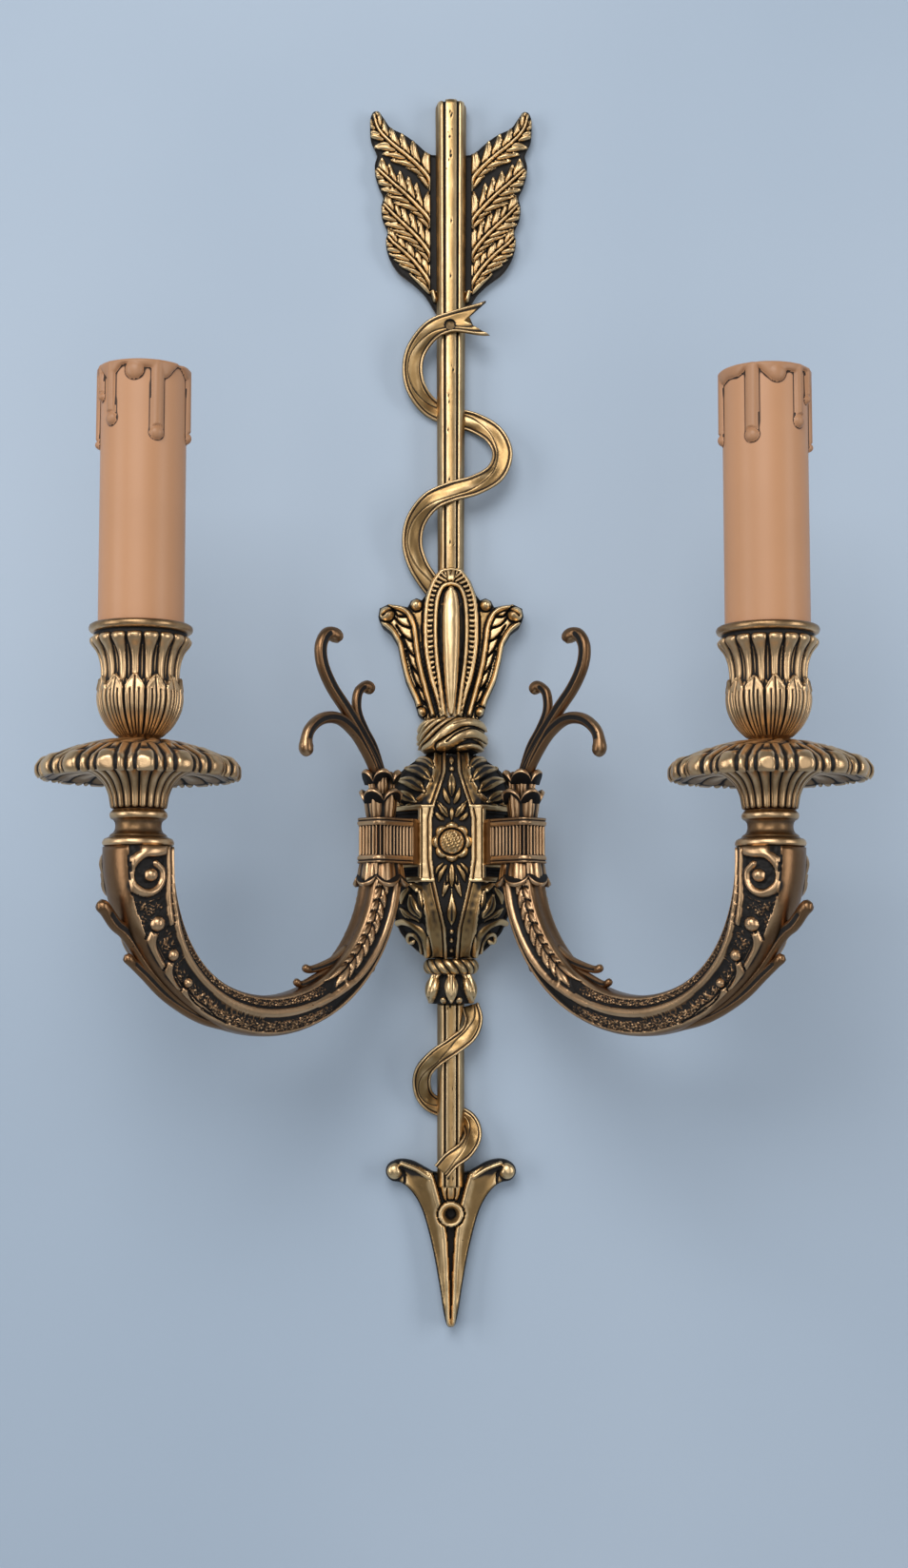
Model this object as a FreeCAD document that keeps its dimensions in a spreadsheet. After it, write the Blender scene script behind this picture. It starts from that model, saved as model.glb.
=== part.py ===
"""Neoclassical double arm wall light: arrow, ribbon, faceted body, two scroll arms, two candles.

Frame: millimetres, +X to the right as seen from the room, -Y out of the wall, +Z up.
The wall is the plane Y = 0.  The origin lies on the wall, midway between the two wall screws.
"""
import FreeCAD, Part
import math
import os

import Sketcher
from FreeCAD import Placement, Rotation, Vector

# ---------------------------------------------------------------------------
# Driving dimensions: name, size in mm (or degrees, or a count), meaning
# ---------------------------------------------------------------------------
SIZES = [
    # wall fixing
    ("screw_spacing", 322.8, "distance between the two wall screws, one above the other"),
    ("screw_hole_radius", 2.0, "clearance hole for a 3.5 mm wood screw"),
    ("screw_head_radius", 3.6, "countersink of the lower wall screw"),
    # arrow shaft
    ("nock_height", 248.6, "top of the arrow shaft above the origin"),
    ("nock_dome", 2.2, "height of the domed end of the shaft"),
    ("shaft_top_half", 5.8, "half width of the shaft at the nock"),
    ("shaft_foot_half", 4.7, "half width of the shaft at its foot"),
    ("shaft_foot", 42.0, "foot of the upper shaft, inside the tulip"),
    ("shaft_depth", 8.4, "how far the shaft stands off the wall"),
    ("shaft_side", 4.2, "depth of the flat side of the shaft"),
    ("lower_shaft_half", 4.9, "half width of the lower shaft"),
    ("lower_shaft_foot", -152.0, "foot of the lower shaft, inside the arrowhead"),
    # feather vanes
    ("vane_foot", 171.0, "where the vane leaves the shaft"),
    ("vane_root", 229.0, "top of the joint between vane and shaft"),
    ("vane_tip_x", 28.6, "tip of the vane, out from the centre line"),
    ("vane_tip_z", 245.0, "tip of the vane, above the origin"),
    ("vane_reach", 30.2, "widest point of the vane"),
    ("vane_depth", 5.2, "how far the vane stands off the wall"),
    ("vane_back", 0.8, "gap between the vane and the wall"),
    ("barb_gap", 1.3, "half width of the cuts between the tufts of a vane"),
    # ribbons
    ("ribbon_width", 7.4, "width of the ribbon"),
    ("ribbon_thick", 2.0, "thickness of the ribbon"),
    ("ribbon_air", 0.15, "air between a ribbon and what it crosses"),
    ("ribbon_reach", 18.9, "widest swing of the ribbon from the centre line"),
    ("ribbon_fork", 9.0, "length of the forked end"),
    # tulip finial
    ("tulip_height", 56.4, "height of the tulip finial"),
    ("tulip_reach", 26.6, "reach of the tulip's side leaves from the centre line"),
    ("tulip_leaf_depth", 9.5, "depth of the tulip's side leaves"),
    ("cartouche_depth", 12.6, "depth of the oval cartouche"),
    ("cartouche_half", 9.7, "half width of the oval cartouche"),
    ("cartouche_length", 49.0, "length of the oval cartouche"),
    ("cartouche_rim", 3.1, "width of the cartouche's rim"),
    ("cartouche_sink", 1.6, "depth of the sunk field inside the rim"),
    ("pod_half", 3.1, "half width of the pod in the cartouche"),
    ("pod_depth", 15.2, "how far the pod stands off the wall"),
    # column
    ("rod_depth", 8.0, "distance of the column's tie rod from the wall"),
    ("rod_radius", 2.5, "tie rod"),
    ("rod_play", 0.15, "clearance of a plain hole round the rod"),
    ("rod_bite", 12.0, "length of rod screwed into the tulip"),
    ("rod_short", 0.6, "how far the rod ends above the leaf collar's foot"),
    ("thread_play", 0.05, "clearance between a thread and its tapped hole"),
    ("knot_height", 13.0, "height of the knot collar"),
    ("knot_radius", 12.6, "radius of the knot collar"),
    ("knot_strands", 12, "slanting strands of the knot collar"),
    ("body_top", 2.6, "top of the body above the origin"),
    ("shoulder", -17.6, "upper edge of the body's prism"),
    ("prism_foot", -43.6, "lower edge of the body's prism"),
    ("body_foot", -70.8, "foot of the body"),
    ("body_half", 21.5, "half width of the body's prism"),
    ("body_depth", 30.0, "how far the body's front stands off the wall"),
    ("front_half", 10.6, "half width of the body's front facet"),
    ("neck_half", 8.6, "half width of the body at its top and foot"),
    ("neck_front_half", 3.8, "half width of the front facet at the top and foot"),
    ("body_wall", 2.6, "wall thickness of the hollow body"),
    ("strip_half", 7.3, "half width of the sunk strip down the body's front"),
    ("strip_sink", 1.0, "depth of the sunk strip"),
    ("rosette_z", -30.1, "height of the rosette"),
    ("rosette_radius", 5.2, "radius on which the petals sit"),
    ("petal_radius", 2.3, "radius of one petal"),
    ("petal_count", 8, "petals of the rosette"),
    ("rosette_depth", 2.6, "thickness of the rosette's petals"),
    ("rope_height", 5.6, "height of the rope ring"),
    ("rope_radius", 9.8, "radius of the rope ring"),
    ("rope_strands", 12, "strands of the rope ring"),
    ("leaf_collar_height", 10.6, "height of the leaf collar below the rope ring"),
    ("leaf_collar_radius", 10.2, "radius of the leaf collar"),
    ("collar_leaves", 8, "leaves of the leaf collar"),
    # arrowhead
    ("head_tip", -201.1, "point of the arrow below the origin"),
    ("head_half", 9.3, "half width of the arrowhead at its screw"),
    ("barb_x", 22.4, "reach of the barbs"),
    ("barb_z", -144.2, "height of the barbs"),
    ("head_depth", 8.6, "depth of the arrowhead"),
    ("head_groove_half", 1.7, "half width of the arrowhead's centre groove"),
    ("head_groove", 3.0, "depth of the arrowhead's centre groove"),
    # arms
    ("arm_span", 105.0, "from the arm root to the candle's axis"),
    ("arm_root_z", -38.2, "top of the arm at its root"),
    ("arm_top_z", -36.5, "top of the arm under the candle"),
    ("arm_depth_z", -89.8, "lowest point of the arm's centre line"),
    ("arm_root_radial", 13.6, "arm section in its own plane, at the root"),
    ("arm_root_across", 10.4, "arm section across its plane, at the root"),
    ("arm_mid_radial", 13.4, "arm section in its own plane, at the bottom"),
    ("arm_mid_across", 10.6, "arm section across its plane, at the bottom"),
    ("arm_end_width", 21.4, "width of the arm under the candle, both ways"),
    ("arm_stations", 17, "sections along an arm"),
    # arm socket and its leaves
    ("socket_reach", 6.7, "outer end of the socket, beyond the arm root"),
    ("socket_back", 12.2, "distance of the arm root from the body's facet"),
    ("socket_across", 12.0, "width of the socket across the arm's plane"),
    ("socket_top", -22.2, "top of the socket"),
    ("socket_foot", -38.0, "foot of the socket"),
    ("socket_rail", 2.5, "height of the plain rails of the socket"),
    ("socket_sink", 0.9, "depth of the fluted band between the rails"),
    ("socket_plate", 2.2, "thickness of the plate where the socket meets the body"),
    ("socket_corner", 3.0, "rounding of the socket's outer corners"),
    ("flute_count", 5, "flutes on each side of the socket"),
    ("flute_pitch", 2.0, "distance between flutes"),
    ("flute_half", 0.45, "half width of one flute"),
    ("upper_leaf_height", 17.0, "height of the two tiers of leaves above the socket"),
    ("upper_leaf_radius", 6.3, "radius of the upper leaves"),
    ("leaf_count", 6, "leaves in each tier"),
    ("lower_leaf_height", 8.0, "height of the leaves below the socket"),
    ("leaf_air", 0.2, "air between the lower leaves and the arm"),
    ("tendril_radius", 2.35, "radius of a tendril's stem"),
    ("bulb_radius", 2.7, "radius of a tendril's ball end"),
    # candle set
    ("bore_radius", 5.05, "bore for the threaded nipple"),
    ("collar_height", 11.9, "height of the turned collar"),
    ("collar_base_radius", 11.1, "lower bead of the collar"),
    ("collar_waist_radius", 7.2, "waist of the collar"),
    ("collar_bead_radius", 9.0, "upper bead of the collar"),
    ("dish_height", 21.2, "height of the drip dish with its stem"),
    ("dish_radius", 32.0, "radius of the drip dish"),
    ("dish_foot_radius", 8.6, "radius of the dish's stem at its foot"),
    ("dish_neck_radius", 11.6, "radius of the dish's stem under the dish"),
    ("dish_droop", 9.2, "how far the dish's rim hangs below its centre"),
    ("dish_wall", 1.9, "thickness of the dish at its rim"),
    ("scallop_count", 16, "scallops round the dish"),
    ("scallop_depth", 1.6, "depth of the notches between scallops"),
    ("flute_depth", 0.9, "depth of the flutes of dish and cup"),
    ("cup_height", 36.8, "height of the candle cup"),
    ("cup_foot_radius", 6.1, "radius of the cup's foot"),
    ("cup_belly_radius", 13.2, "radius of the cup's leafy belly"),
    ("cup_waist_radius", 12.4, "radius of the cup's waist"),
    ("cup_ring_radius", 15.8, "radius of the cup's fluted ring"),
    ("cup_rim_radius", 16.2, "radius of the cup's rim"),
    ("cup_floor", 5.6, "thickness of the cup's floor"),
    ("cup_step", 33.5, "height of the step that carries the candle sleeve"),
    ("cup_flutes", 16, "flutes round the cup"),
    ("cup_ledge", 0.3, "how far the cup's hollow stays inside the sleeve's bore"),
    ("cup_lip_gap", 0.45, "air between the sleeve and the cup's lip"),
    ("sleeve_length", 85.0, "length of the candle sleeve"),
    ("sleeve_radius", 13.5, "outer radius of the candle sleeve"),
    ("sleeve_bore", 12.0, "bore radius of the candle sleeve"),
    ("sleeve_rest", 0.3, "air between the sleeve's foot and its step"),
    ("drip_radius", 1.7, "radius of one drip"),
    ("drip_rise", 1.1, "how far a drip stands off the sleeve"),
    # lamp holding parts
    ("nipple_radius", 5.0, "outer radius of the hollow threaded nipple"),
    ("nipple_bore", 3.8, "bore radius of the nipple"),
    ("nipple_bite", 14.0, "length of the nipple inside the arm"),
    ("holder_bite", 7.0, "length of the nipple inside the lampholder's foot"),
    ("holder_radius", 11.6, "radius of the lampholder's head"),
    ("holder_foot_radius", 7.0, "radius of the lampholder's screwed foot"),
    ("holder_foot_height", 9.0, "height of the lampholder's screwed foot"),
    ("holder_strap", 1.4, "thickness of the lampholder's two straps"),
    ("holder_head", 32.0, "height of the lampholder's head"),
    ("holder_below_top", 4.0, "top of the lampholder below the sleeve's top"),
    ("lamp_bore", 6.95, "bore radius of the lamp's socket, for a small screw cap"),
    ("lamp_depth", 21.6, "depth of the lamp's socket"),
    ("contact_recess", 5.0, "radius of the recess that holds the centre contact"),
    ("contact_radius", 3.2, "radius of the centre contact"),
    ("contact_height", 2.4, "height of the centre contact"),
    # inner pieces of the body
    ("block_half", 8.0, "half width of the terminal block"),
    ("block_height", 17.0, "height of the terminal block"),
    ("block_depth", 12.0, "depth of the terminal block"),
    ("tie_nut_height", 4.0, "height of a tie nut"),
    ("tie_nut_flats", 8.0, "width across flats of a tie nut"),
    ("tag_radius", 5.0, "radius of the earth tag"),
    ("tag_thick", 0.8, "thickness of the earth tag"),
    ("arm_screw_radius", 1.5, "screws that hold an arm socket"),
    ("arm_screw_head", 2.7, "radius of those screws' heads"),
    ("arm_screw_head_height", 2.4, "height of those screws' heads"),
    ("arm_screw_length", 10.0, "length of those screws under the head"),
    ("arm_screw_pitch", 8.4, "distance between the two screws of one arm"),
]

SMALL = 1e-6

doc = FreeCAD.newDocument("WallLight")
sheet = doc.addObject("Spreadsheet::Sheet", "Sizes")
for row, (alias, number, meaning) in enumerate(SIZES, start=1):
    sheet.set("A%d" % row, alias)
    sheet.set("B%d" % row, str(number))
    sheet.set("C%d" % row, meaning)
    sheet.setAlias("B%d" % row, alias)
doc.recompute()


class Size:
    """A size: the text of its formula in the sheet, and its present value."""

    def __init__(self, text, value):
        self.text = text
        self.value = float(value)

    def __float__(self):
        return self.value

    def __add__(self, other):
        return combine(self, "+", other)

    def __radd__(self, other):
        return combine(other, "+", self)

    def __sub__(self, other):
        return combine(self, "-", other)

    def __rsub__(self, other):
        return combine(other, "-", self)

    def __mul__(self, other):
        return combine(self, "*", other)

    def __rmul__(self, other):
        return combine(other, "*", self)

    def __truediv__(self, other):
        return combine(self, "/", other)

    def __neg__(self):
        return combine(-1.0, "*", self)


def as_size(thing):
    """A plain number as a Size, or the Size itself."""
    if isinstance(thing, Size):
        return thing
    return Size("%.6g" % thing, thing)


def combine(left, sign, right):
    """The Size that two sizes make with one arithmetic sign."""
    left = as_size(left)
    right = as_size(right)
    results = {
        "+": left.value + right.value,
        "-": left.value - right.value,
        "*": left.value * right.value,
    }
    result = left.value / right.value if sign == "/" else results[sign]
    return Size("(%s %s %s)" % (left.text, sign, right.text), result)


def size(alias):
    """The driving size with this name."""
    return Size("Sizes." + alias, sheet.get(alias))


# ---------------------------------------------------------------------------
# Modelling helpers
# ---------------------------------------------------------------------------
def origin_feature(body, role):
    """The plane or axis of a body's own origin."""
    for feature in body.Origin.OriginFeatures:
        if feature.Role == role:
            return feature
    raise RuntimeError("no origin feature " + role)


def new_body(name):
    """A sub-part made of sketches and features."""
    body = doc.addObject("PartDesign::Body", name)
    body.Label = name
    return body


def solid(name, shape):
    """A sub-part whose shape is worked out here."""
    feature = doc.addObject("Part::Feature", name)
    feature.Label = name
    feature.Shape = shape
    return feature


def place(thing, x=0.0, y=0.0, z=0.0, turn=0.0):
    """Put a sub-part at x, y, z, turned about the upright axis; sizes stay bound to the sheet."""
    x, y, z = as_size(x), as_size(y), as_size(z)
    turning = Rotation(Vector(0, 0, 1), float(turn))
    thing.Placement = Placement(Vector(x.value, y.value, z.value), turning)
    for axis, amount in (("x", x), ("y", y), ("z", z)):
        thing.setExpression("Placement.Base." + axis, amount.text)
    if isinstance(turn, Size):
        thing.setExpression("Placement.Rotation.Angle", turn.text)


def fix_point(sketch, geometry, end, x, y):
    """Tie a point of a sketch to its formulas."""
    for kind, amount in (("DistanceX", x), ("DistanceY", y)):
        amount = as_size(amount)
        number = sketch.addConstraint(Sketcher.Constraint(kind, -1, 1, geometry, end, amount.value))
        sketch.setExpression("Constraints[%d]" % number, amount.text)


def draw(body, name, role, outline, lift=None):
    """A closed, fully fixed outline on one origin plane.

    Each point is (x, y).  A point (x, y, "arc") lies on the arc between its neighbours.
    """
    sketch = body.newObject("Sketcher::SketchObject", name)
    sketch.AttachmentSupport = [(origin_feature(body, role), "")]
    sketch.MapMode = "FlatFace"
    if lift is not None:
        sketch.AttachmentOffset = Placement(Vector(0, 0, float(lift)), Rotation())
        sketch.setExpression("AttachmentOffset.Base.z", as_size(lift).text)
    corners = [index for index, point in enumerate(outline) if len(point) == 2]
    edges = []
    for order, index in enumerate(corners):
        following = corners[(order + 1) % len(corners)]
        start = Vector(float(outline[index][0]), float(outline[index][1]), 0)
        stop = Vector(float(outline[following][0]), float(outline[following][1]), 0)
        between = (index + 1) % len(outline)
        if between == following:
            geometry = sketch.addGeometry(Part.LineSegment(start, stop), False)
            edges.append((geometry, 1, 2))
            continue
        via = Vector(float(outline[between][0]), float(outline[between][1]), 0)
        geometry = sketch.addGeometry(Part.Arc(start, via, stop), False)
        near = sketch.getPoint(geometry, 1).distanceToPoint(start)
        far = sketch.getPoint(geometry, 2).distanceToPoint(start)
        edges.append((geometry, 1, 2) if near < far else (geometry, 2, 1))
        marker = sketch.addGeometry(Part.Point(via), True)
        fix_point(sketch, marker, 1, outline[between][0], outline[between][1])
        sketch.addConstraint(Sketcher.Constraint("PointOnObject", marker, 1, geometry))
    for order, index in enumerate(corners):
        geometry, start_end, stop_end = edges[order]
        previous, _, previous_end = edges[order - 1]
        sketch.addConstraint(Sketcher.Constraint("Coincident", previous, previous_end, geometry, start_end))
        fix_point(sketch, geometry, start_end, outline[index][0], outline[index][1])
    return sketch


def turn_feature(body, sketch, kind="PartDesign::Revolution"):
    """Turn an outline once round the upright axis of its sketch."""
    feature = body.newObject(kind, sketch.Name + "_turned")
    feature.Profile = sketch
    feature.ReferenceAxis = (sketch, ["V_Axis"])
    feature.Angle = 360
    return feature


def extrude_feature(body, sketch, length, kind="PartDesign::Pad", reverse=False):
    """Pad or pocket an outline by a bound length."""
    length = as_size(length)
    feature = body.newObject(kind, sketch.Name + "_run")
    feature.Profile = sketch
    feature.Length = length.value
    feature.setExpression("Length", length.text)
    feature.Reversed = reverse
    return feature


def discard(body):
    """Remove a blank with its features once its shape has been taken over."""
    body.removeObjectsFromDocument()
    doc.removeObject(body.Name)


def turned(name, outline):
    """A turned sub-part: its half profile as (radius, height) points."""
    body = new_body(name)
    turn_feature(body, draw(body, name + "_profile", "XZ_Plane", outline))
    return body


def flat_pieces(corners):
    """A four-sided patch as one flat face, or as two triangles where it is not flat."""
    corners = [corner for index, corner in enumerate(corners)
               if corner.distanceToPoint(corners[index - 1]) > SMALL]
    if len(corners) < 3:
        return []
    if len(corners) == 4:
        normal = (corners[1] - corners[0]).cross(corners[2] - corners[0])
        lift = abs(normal.normalize().dot(corners[3] - corners[0])) if normal.Length > SMALL else 1.0
        if lift > SMALL:
            return flat_pieces(corners[:3]) + flat_pieces([corners[0], corners[2], corners[3]])
    return [Part.Face(Part.makePolygon(corners + corners[:1]))]


def skin(sections, flat_ends=True):
    """A solid of flat faces between closed rings that have equal numbers of corners."""
    faces = []
    for lower, upper in zip(sections, sections[1:]):
        for index in range(len(lower)):
            faces += flat_pieces([lower[index - 1], lower[index], upper[index], upper[index - 1]])
    if flat_ends:
        for ring in (sections[0], sections[-1]):
            faces.append(Part.Face(Part.makePolygon(list(ring) + [ring[0]])))
    shell = Part.makeCompound(faces)
    shell.sewShape()
    made = Part.makeSolid(shell.Shells[0] if shell.Shells else shell)
    if made.Volume < 0:
        made.reverse()
    return made


def ring_at(height, radii, phase=0.0, stretch=1.0):
    """A level ring of corners; the list of radii repeats round it."""
    count = len(radii)
    corners = []
    for index, radius in enumerate(radii):
        angle = 2.0 * math.pi * (index + phase) / count
        corners.append(Vector(radius * math.cos(angle), stretch * radius * math.sin(angle), height))
    return corners


def mixed(low, high, share):
    """The Size at a share of the way between two sizes."""
    return (1.0 - share) * low + share * high


def facet(x, y, z):
    """A corner as a vector of plain numbers."""
    return Vector(float(x), float(y), float(z))


def rod_along(start, direction, radius, length):
    """A plain cylinder."""
    return Part.makeCylinder(float(radius), float(length), start, direction)


def flats_ring(radius, height, sides=16):
    """A level ring whose flats lie at the radius: a rod clears a hole of this plan all round."""
    return ring_at(height, [float(radius) / math.cos(math.pi / sides)] * sides)


def flats_bore(radius, low, high, depth=0.0, sides=12):
    """The cutter for an upright many-sided hole at a distance from the wall."""
    bore = skin([flats_ring(radius, float(level), sides) for level in (low, high)])
    bore.translate(Vector(0, -float(depth), 0))
    return bore


def nipple_bore(low, high):
    """The cutter for the nipple's hole between two heights."""
    return flats_bore(size("bore_radius"), low, high, sides=16)


def level_prism(radii, depths, height, sides=16):
    """A many-sided boss or countersink about a level line square to the wall."""
    rings = []
    for radius, depth in zip(radii, depths):
        plan = flats_ring(radius, 0.0, sides)
        rings.append([Vector(corner.x, -depth, height + corner.y) for corner in plan])
    return skin(rings)


# ---------------------------------------------------------------------------
# Column: the arrow's upper shaft
# ---------------------------------------------------------------------------
WALL_OUT = Vector(0, -1, 0)
UPPER_SCREW = size("screw_spacing") / 2.0
LOWER_SCREW = size("screw_spacing") / -2.0
KNOT_FOOT = size("body_top")
TULIP_FOOT = KNOT_FOOT + size("knot_height")
ROPE_FOOT = size("body_foot") - size("rope_height")
LEAF_COLLAR_FOOT = ROPE_FOOT - size("leaf_collar_height")
TAPPED = size("rod_radius") + size("thread_play")


def shaft_half(height):
    """Half width of the tapered upper shaft at one height."""
    rise = (height - float(size("shaft_foot"))) / float(size("nock_height") - size("shaft_foot"))
    return float(size("shaft_foot_half")) + rise * float(size("shaft_top_half") - size("shaft_foot_half"))


# One side of the reeded section: share of the half width, share of the depth beyond the flat side.
REEDS = [(1.0, 0.0), (0.93, 0.55), (0.74, 0.80), (0.52, 0.72), (0.40, 0.38), (0.33, 0.80), (0.14, 1.0)]


def shaft_section(half, height, swell=1.0):
    """Reeded half-round section with a flat back on the wall."""
    side = float(size("shaft_side")) * swell
    crown = float(size("shaft_depth")) * swell - side
    right = [Vector(half * share, -side - crown * rise, height) for share, rise in REEDS]
    left = [Vector(-corner.x, corner.y, height) for corner in reversed(right)]
    return [Vector(half, 0, height)] + right + left + [Vector(-half, 0, height)]


def screw_hole(height):
    """The wall screw's hole, along the wall's normal."""
    start = facet(0, 1, height)
    return rod_along(start, WALL_OUT, size("screw_hole_radius"), size("body_depth"))


def make_upper_shaft():
    foot = float(size("shaft_foot"))
    top = float(size("nock_height"))
    dome = float(size("nock_dome"))
    sections = [
        shaft_section(shaft_half(foot), foot),
        shaft_section(shaft_half(top - dome), top - dome),
        shaft_section(shaft_half(top) * 0.9, top - 0.35 * dome, 0.93),
        shaft_section(shaft_half(top) * 0.62, top, 0.72),
    ]
    shape = skin(sections)
    shape = shape.cut(ribbon_behind(UPPER_TRAIL, shaft_half(foot)))
    shape = shape.cut(screw_hole(UPPER_SCREW))
    return solid("upper_shaft", shape)


# ---------------------------------------------------------------------------
# Ribbons: a flat band along a route of stops.  Layer 0 passes behind the shaft, 1 swings free
# beside it, 2 crosses its front.
# ---------------------------------------------------------------------------
def trail(stops, low, high):
    """A route in mm from its shares: x of the ribbon's reach, rise between two heights, and layer."""
    reach = float(size("ribbon_reach"))
    foot, tall = float(low), float(high - low)
    return [(x * reach, foot + rise * tall, layer) for x, rise, layer in stops]


UPPER_TRAIL = trail([
    (0.762, 1.0391, 1.7), (0.392, 1.0201, 2), (-0.042, 1.0089, 2), (-0.402, 0.9754, 1.8),
    (-0.683, 0.9016, 1.2), (-0.751, 0.821, 0.9), (-0.656, 0.7405, 0.6), (-0.402, 0.6779, 0.1),
    (0, 0.6398, 0), (0.444, 0.613, 0.2), (0.825, 0.557, 0.8), (1, 0.4743, 1.2), (0.868, 0.387, 1.6),
    (0.476, 0.3311, 2), (0, 0.302, 2), (-0.413, 0.2595, 1.9), (-0.688, 0.1834, 1.3),
    (-0.751, 0.0962, 0.9), (-0.646, 0.0157, 0.7), (-0.519, -0.038, 0.6),
], TULIP_FOOT + size("tulip_height"), UPPER_SCREW)
LOWER_TRAIL = trail([
    (0.423, 0.9274, 1.2), (0.328, 0.8575, 1.7), (0.032, 0.793, 2), (-0.296, 0.7419, 1.9),
    (-0.524, 0.672, 1.2), (-0.54, 0.586, 0.7), (-0.381, 0.5242, 0.2), (0, 0.4812, 0),
    (0.328, 0.4409, 0.4), (0.418, 0.3737, 1.1), (0.265, 0.3065, 1.8), (0, 0.2527, 2),
    (-0.138, 0.1855, 2),
], LOWER_SCREW, LEAF_COLLAR_FOOT)


def ribbon_layer(layer):
    """Distance of the ribbon's middle from the wall, from its layer number."""
    thick = float(size("ribbon_thick"))
    behind = 0.5 * thick + 0.1
    front = float(size("shaft_depth") + size("ribbon_air")) + 0.5 * thick
    beside = 0.5 * (behind + front)
    if layer <= 1.0:
        return behind + (beside - behind) * layer
    return beside + (front - beside) * (layer - 1.0)


def band(trail, width, thick, narrow_ends=True):
    """A flat strip with raised edges that follows a trail on the wall."""
    sections = []
    last = len(trail) - 1
    for index, (x, height, layer) in enumerate(trail):
        before = trail[max(index - 1, 0)]
        after = trail[min(index + 1, last)]
        along = Vector(after[0] - before[0], 0, after[1] - before[1]).normalize()
        across = Vector(along.z, 0, -along.x)
        middle = Vector(x, -ribbon_layer(layer), height)
        half = 0.5 * width * (0.72 if narrow_ends and index in (0, last) else 1.0)
        rim = 0.5 * thick
        field = 0.2 * thick
        profile = [(-half, -rim), (-half, rim), (-0.64 * half, field),
                   (0.64 * half, field), (half, rim), (half, -rim)]
        sections.append([middle + across * a + WALL_OUT * b for a, b in profile])
    return skin(sections)


def ribbon_behind(trail, half):
    """The notch that the shaft needs for the ribbon's stretch behind it."""
    width = float(size("ribbon_width"))
    air = float(size("ribbon_air"))
    hidden = [stop for stop in trail if stop[2] < 0.5 and abs(stop[0]) < half + width]
    top = max(stop[1] for stop in hidden) + 0.62 * width
    foot = min(stop[1] for stop in hidden) - 0.62 * width
    deep = ribbon_layer(0.25) + 0.5 * float(size("ribbon_thick")) + air
    return Part.makeBox(4.0 * half, deep, top - foot, Vector(-2.0 * half, -deep, foot))


def make_upper_ribbon(tulip_shape):
    width = float(size("ribbon_width"))
    thick = float(size("ribbon_thick"))
    shape = band(UPPER_TRAIL, width, thick)
    # forked end: two tongues that spread from the first stop
    x, height, layer = UPPER_TRAIL[0]
    run = float(size("ribbon_fork"))
    for spread in (1, -1):
        tongue = [
            (x - 2.0, height - 0.3, layer),
            (x + 0.45 * run, height + spread * 2.1 - 1.2, 1.5),
            (x + 0.4 * run - 1.6, height + spread * 6.2 - 2.0, 1.3),
        ]
        shape = shape.fuse(band(tongue, 0.52 * width, thick, False))
    shape = shape.cut(screw_hole(UPPER_SCREW))
    shape = shape.cut(tulip_shape)
    return solid("upper_ribbon", largest(shape))


def largest(shape):
    """The biggest solid of a cut shape."""
    return max(shape.Solids, key=lambda piece: piece.Volume)


def make_lower_ribbon(others):
    width = float(size("ribbon_width")) * 0.86
    thick = float(size("ribbon_thick"))
    shape = band(LOWER_TRAIL, width, thick)
    for other in others:
        shape = shape.cut(other)
    return solid("lower_ribbon", largest(shape))


# ---------------------------------------------------------------------------
# Feather vanes: four overlapping tufts, one vane each side of the shaft
# ---------------------------------------------------------------------------
def make_vane(name, side):
    body = new_body(name)
    foot = size("vane_foot")
    root = size("vane_root")
    tip_x = size("vane_tip_x")
    tip_z = size("vane_tip_z")
    reach = size("vane_reach")
    slope = (size("shaft_top_half") - size("shaft_foot_half")) / (size("nock_height") - size("shaft_foot"))
    inner_foot = size("shaft_foot_half") + (foot - size("shaft_foot")) * slope
    inner_root = size("shaft_foot_half") + (root - size("shaft_foot")) * slope
    tall = tip_z - foot
    right = [
        (inner_foot, foot), (0.47 * reach, foot + 0.12 * tall), (0.76 * reach, foot + 0.28 * tall),
        (0.84 * reach, foot + 0.36 * tall), (0.93 * reach, foot + 0.47 * tall, "arc"),
        (0.86 * reach, foot + 0.56 * tall), (0.97 * reach, foot + 0.66 * tall, "arc"),
        (0.91 * reach, foot + 0.74 * tall), (reach, foot + 0.88 * tall, "arc"),
        (tip_x, tip_z), (0.52 * tip_x, root + 0.42 * (tip_z - root)), (inner_root, root),
    ]
    outline = [(point[0] * side,) + point[1:] for point in right]
    depth = size("vane_depth")
    plate = draw(body, name + "_outline", "XZ_Plane", outline, size("vane_back"))
    extrude_feature(body, plate, depth)
    # sloping cuts between the tufts, from the outer edge in towards the shaft
    gap = size("barb_gap")
    for number, share in enumerate((0.28, 0.52, 0.76)):
        level = foot + share * tall
        outer = (reach * side, level + 4.0)
        inner = (0.42 * reach * side, level - 14.0)
        cut = draw(body, "%s_cut%d" % (name, number), "XZ_Plane", [
            (outer[0], outer[1] - gap),
            (outer[0], outer[1] + gap),
            inner,
        ], size("vane_back") + 0.45 * depth)
        extrude_feature(body, cut, depth, "PartDesign::Pocket", reverse=True)
    return body


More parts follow.
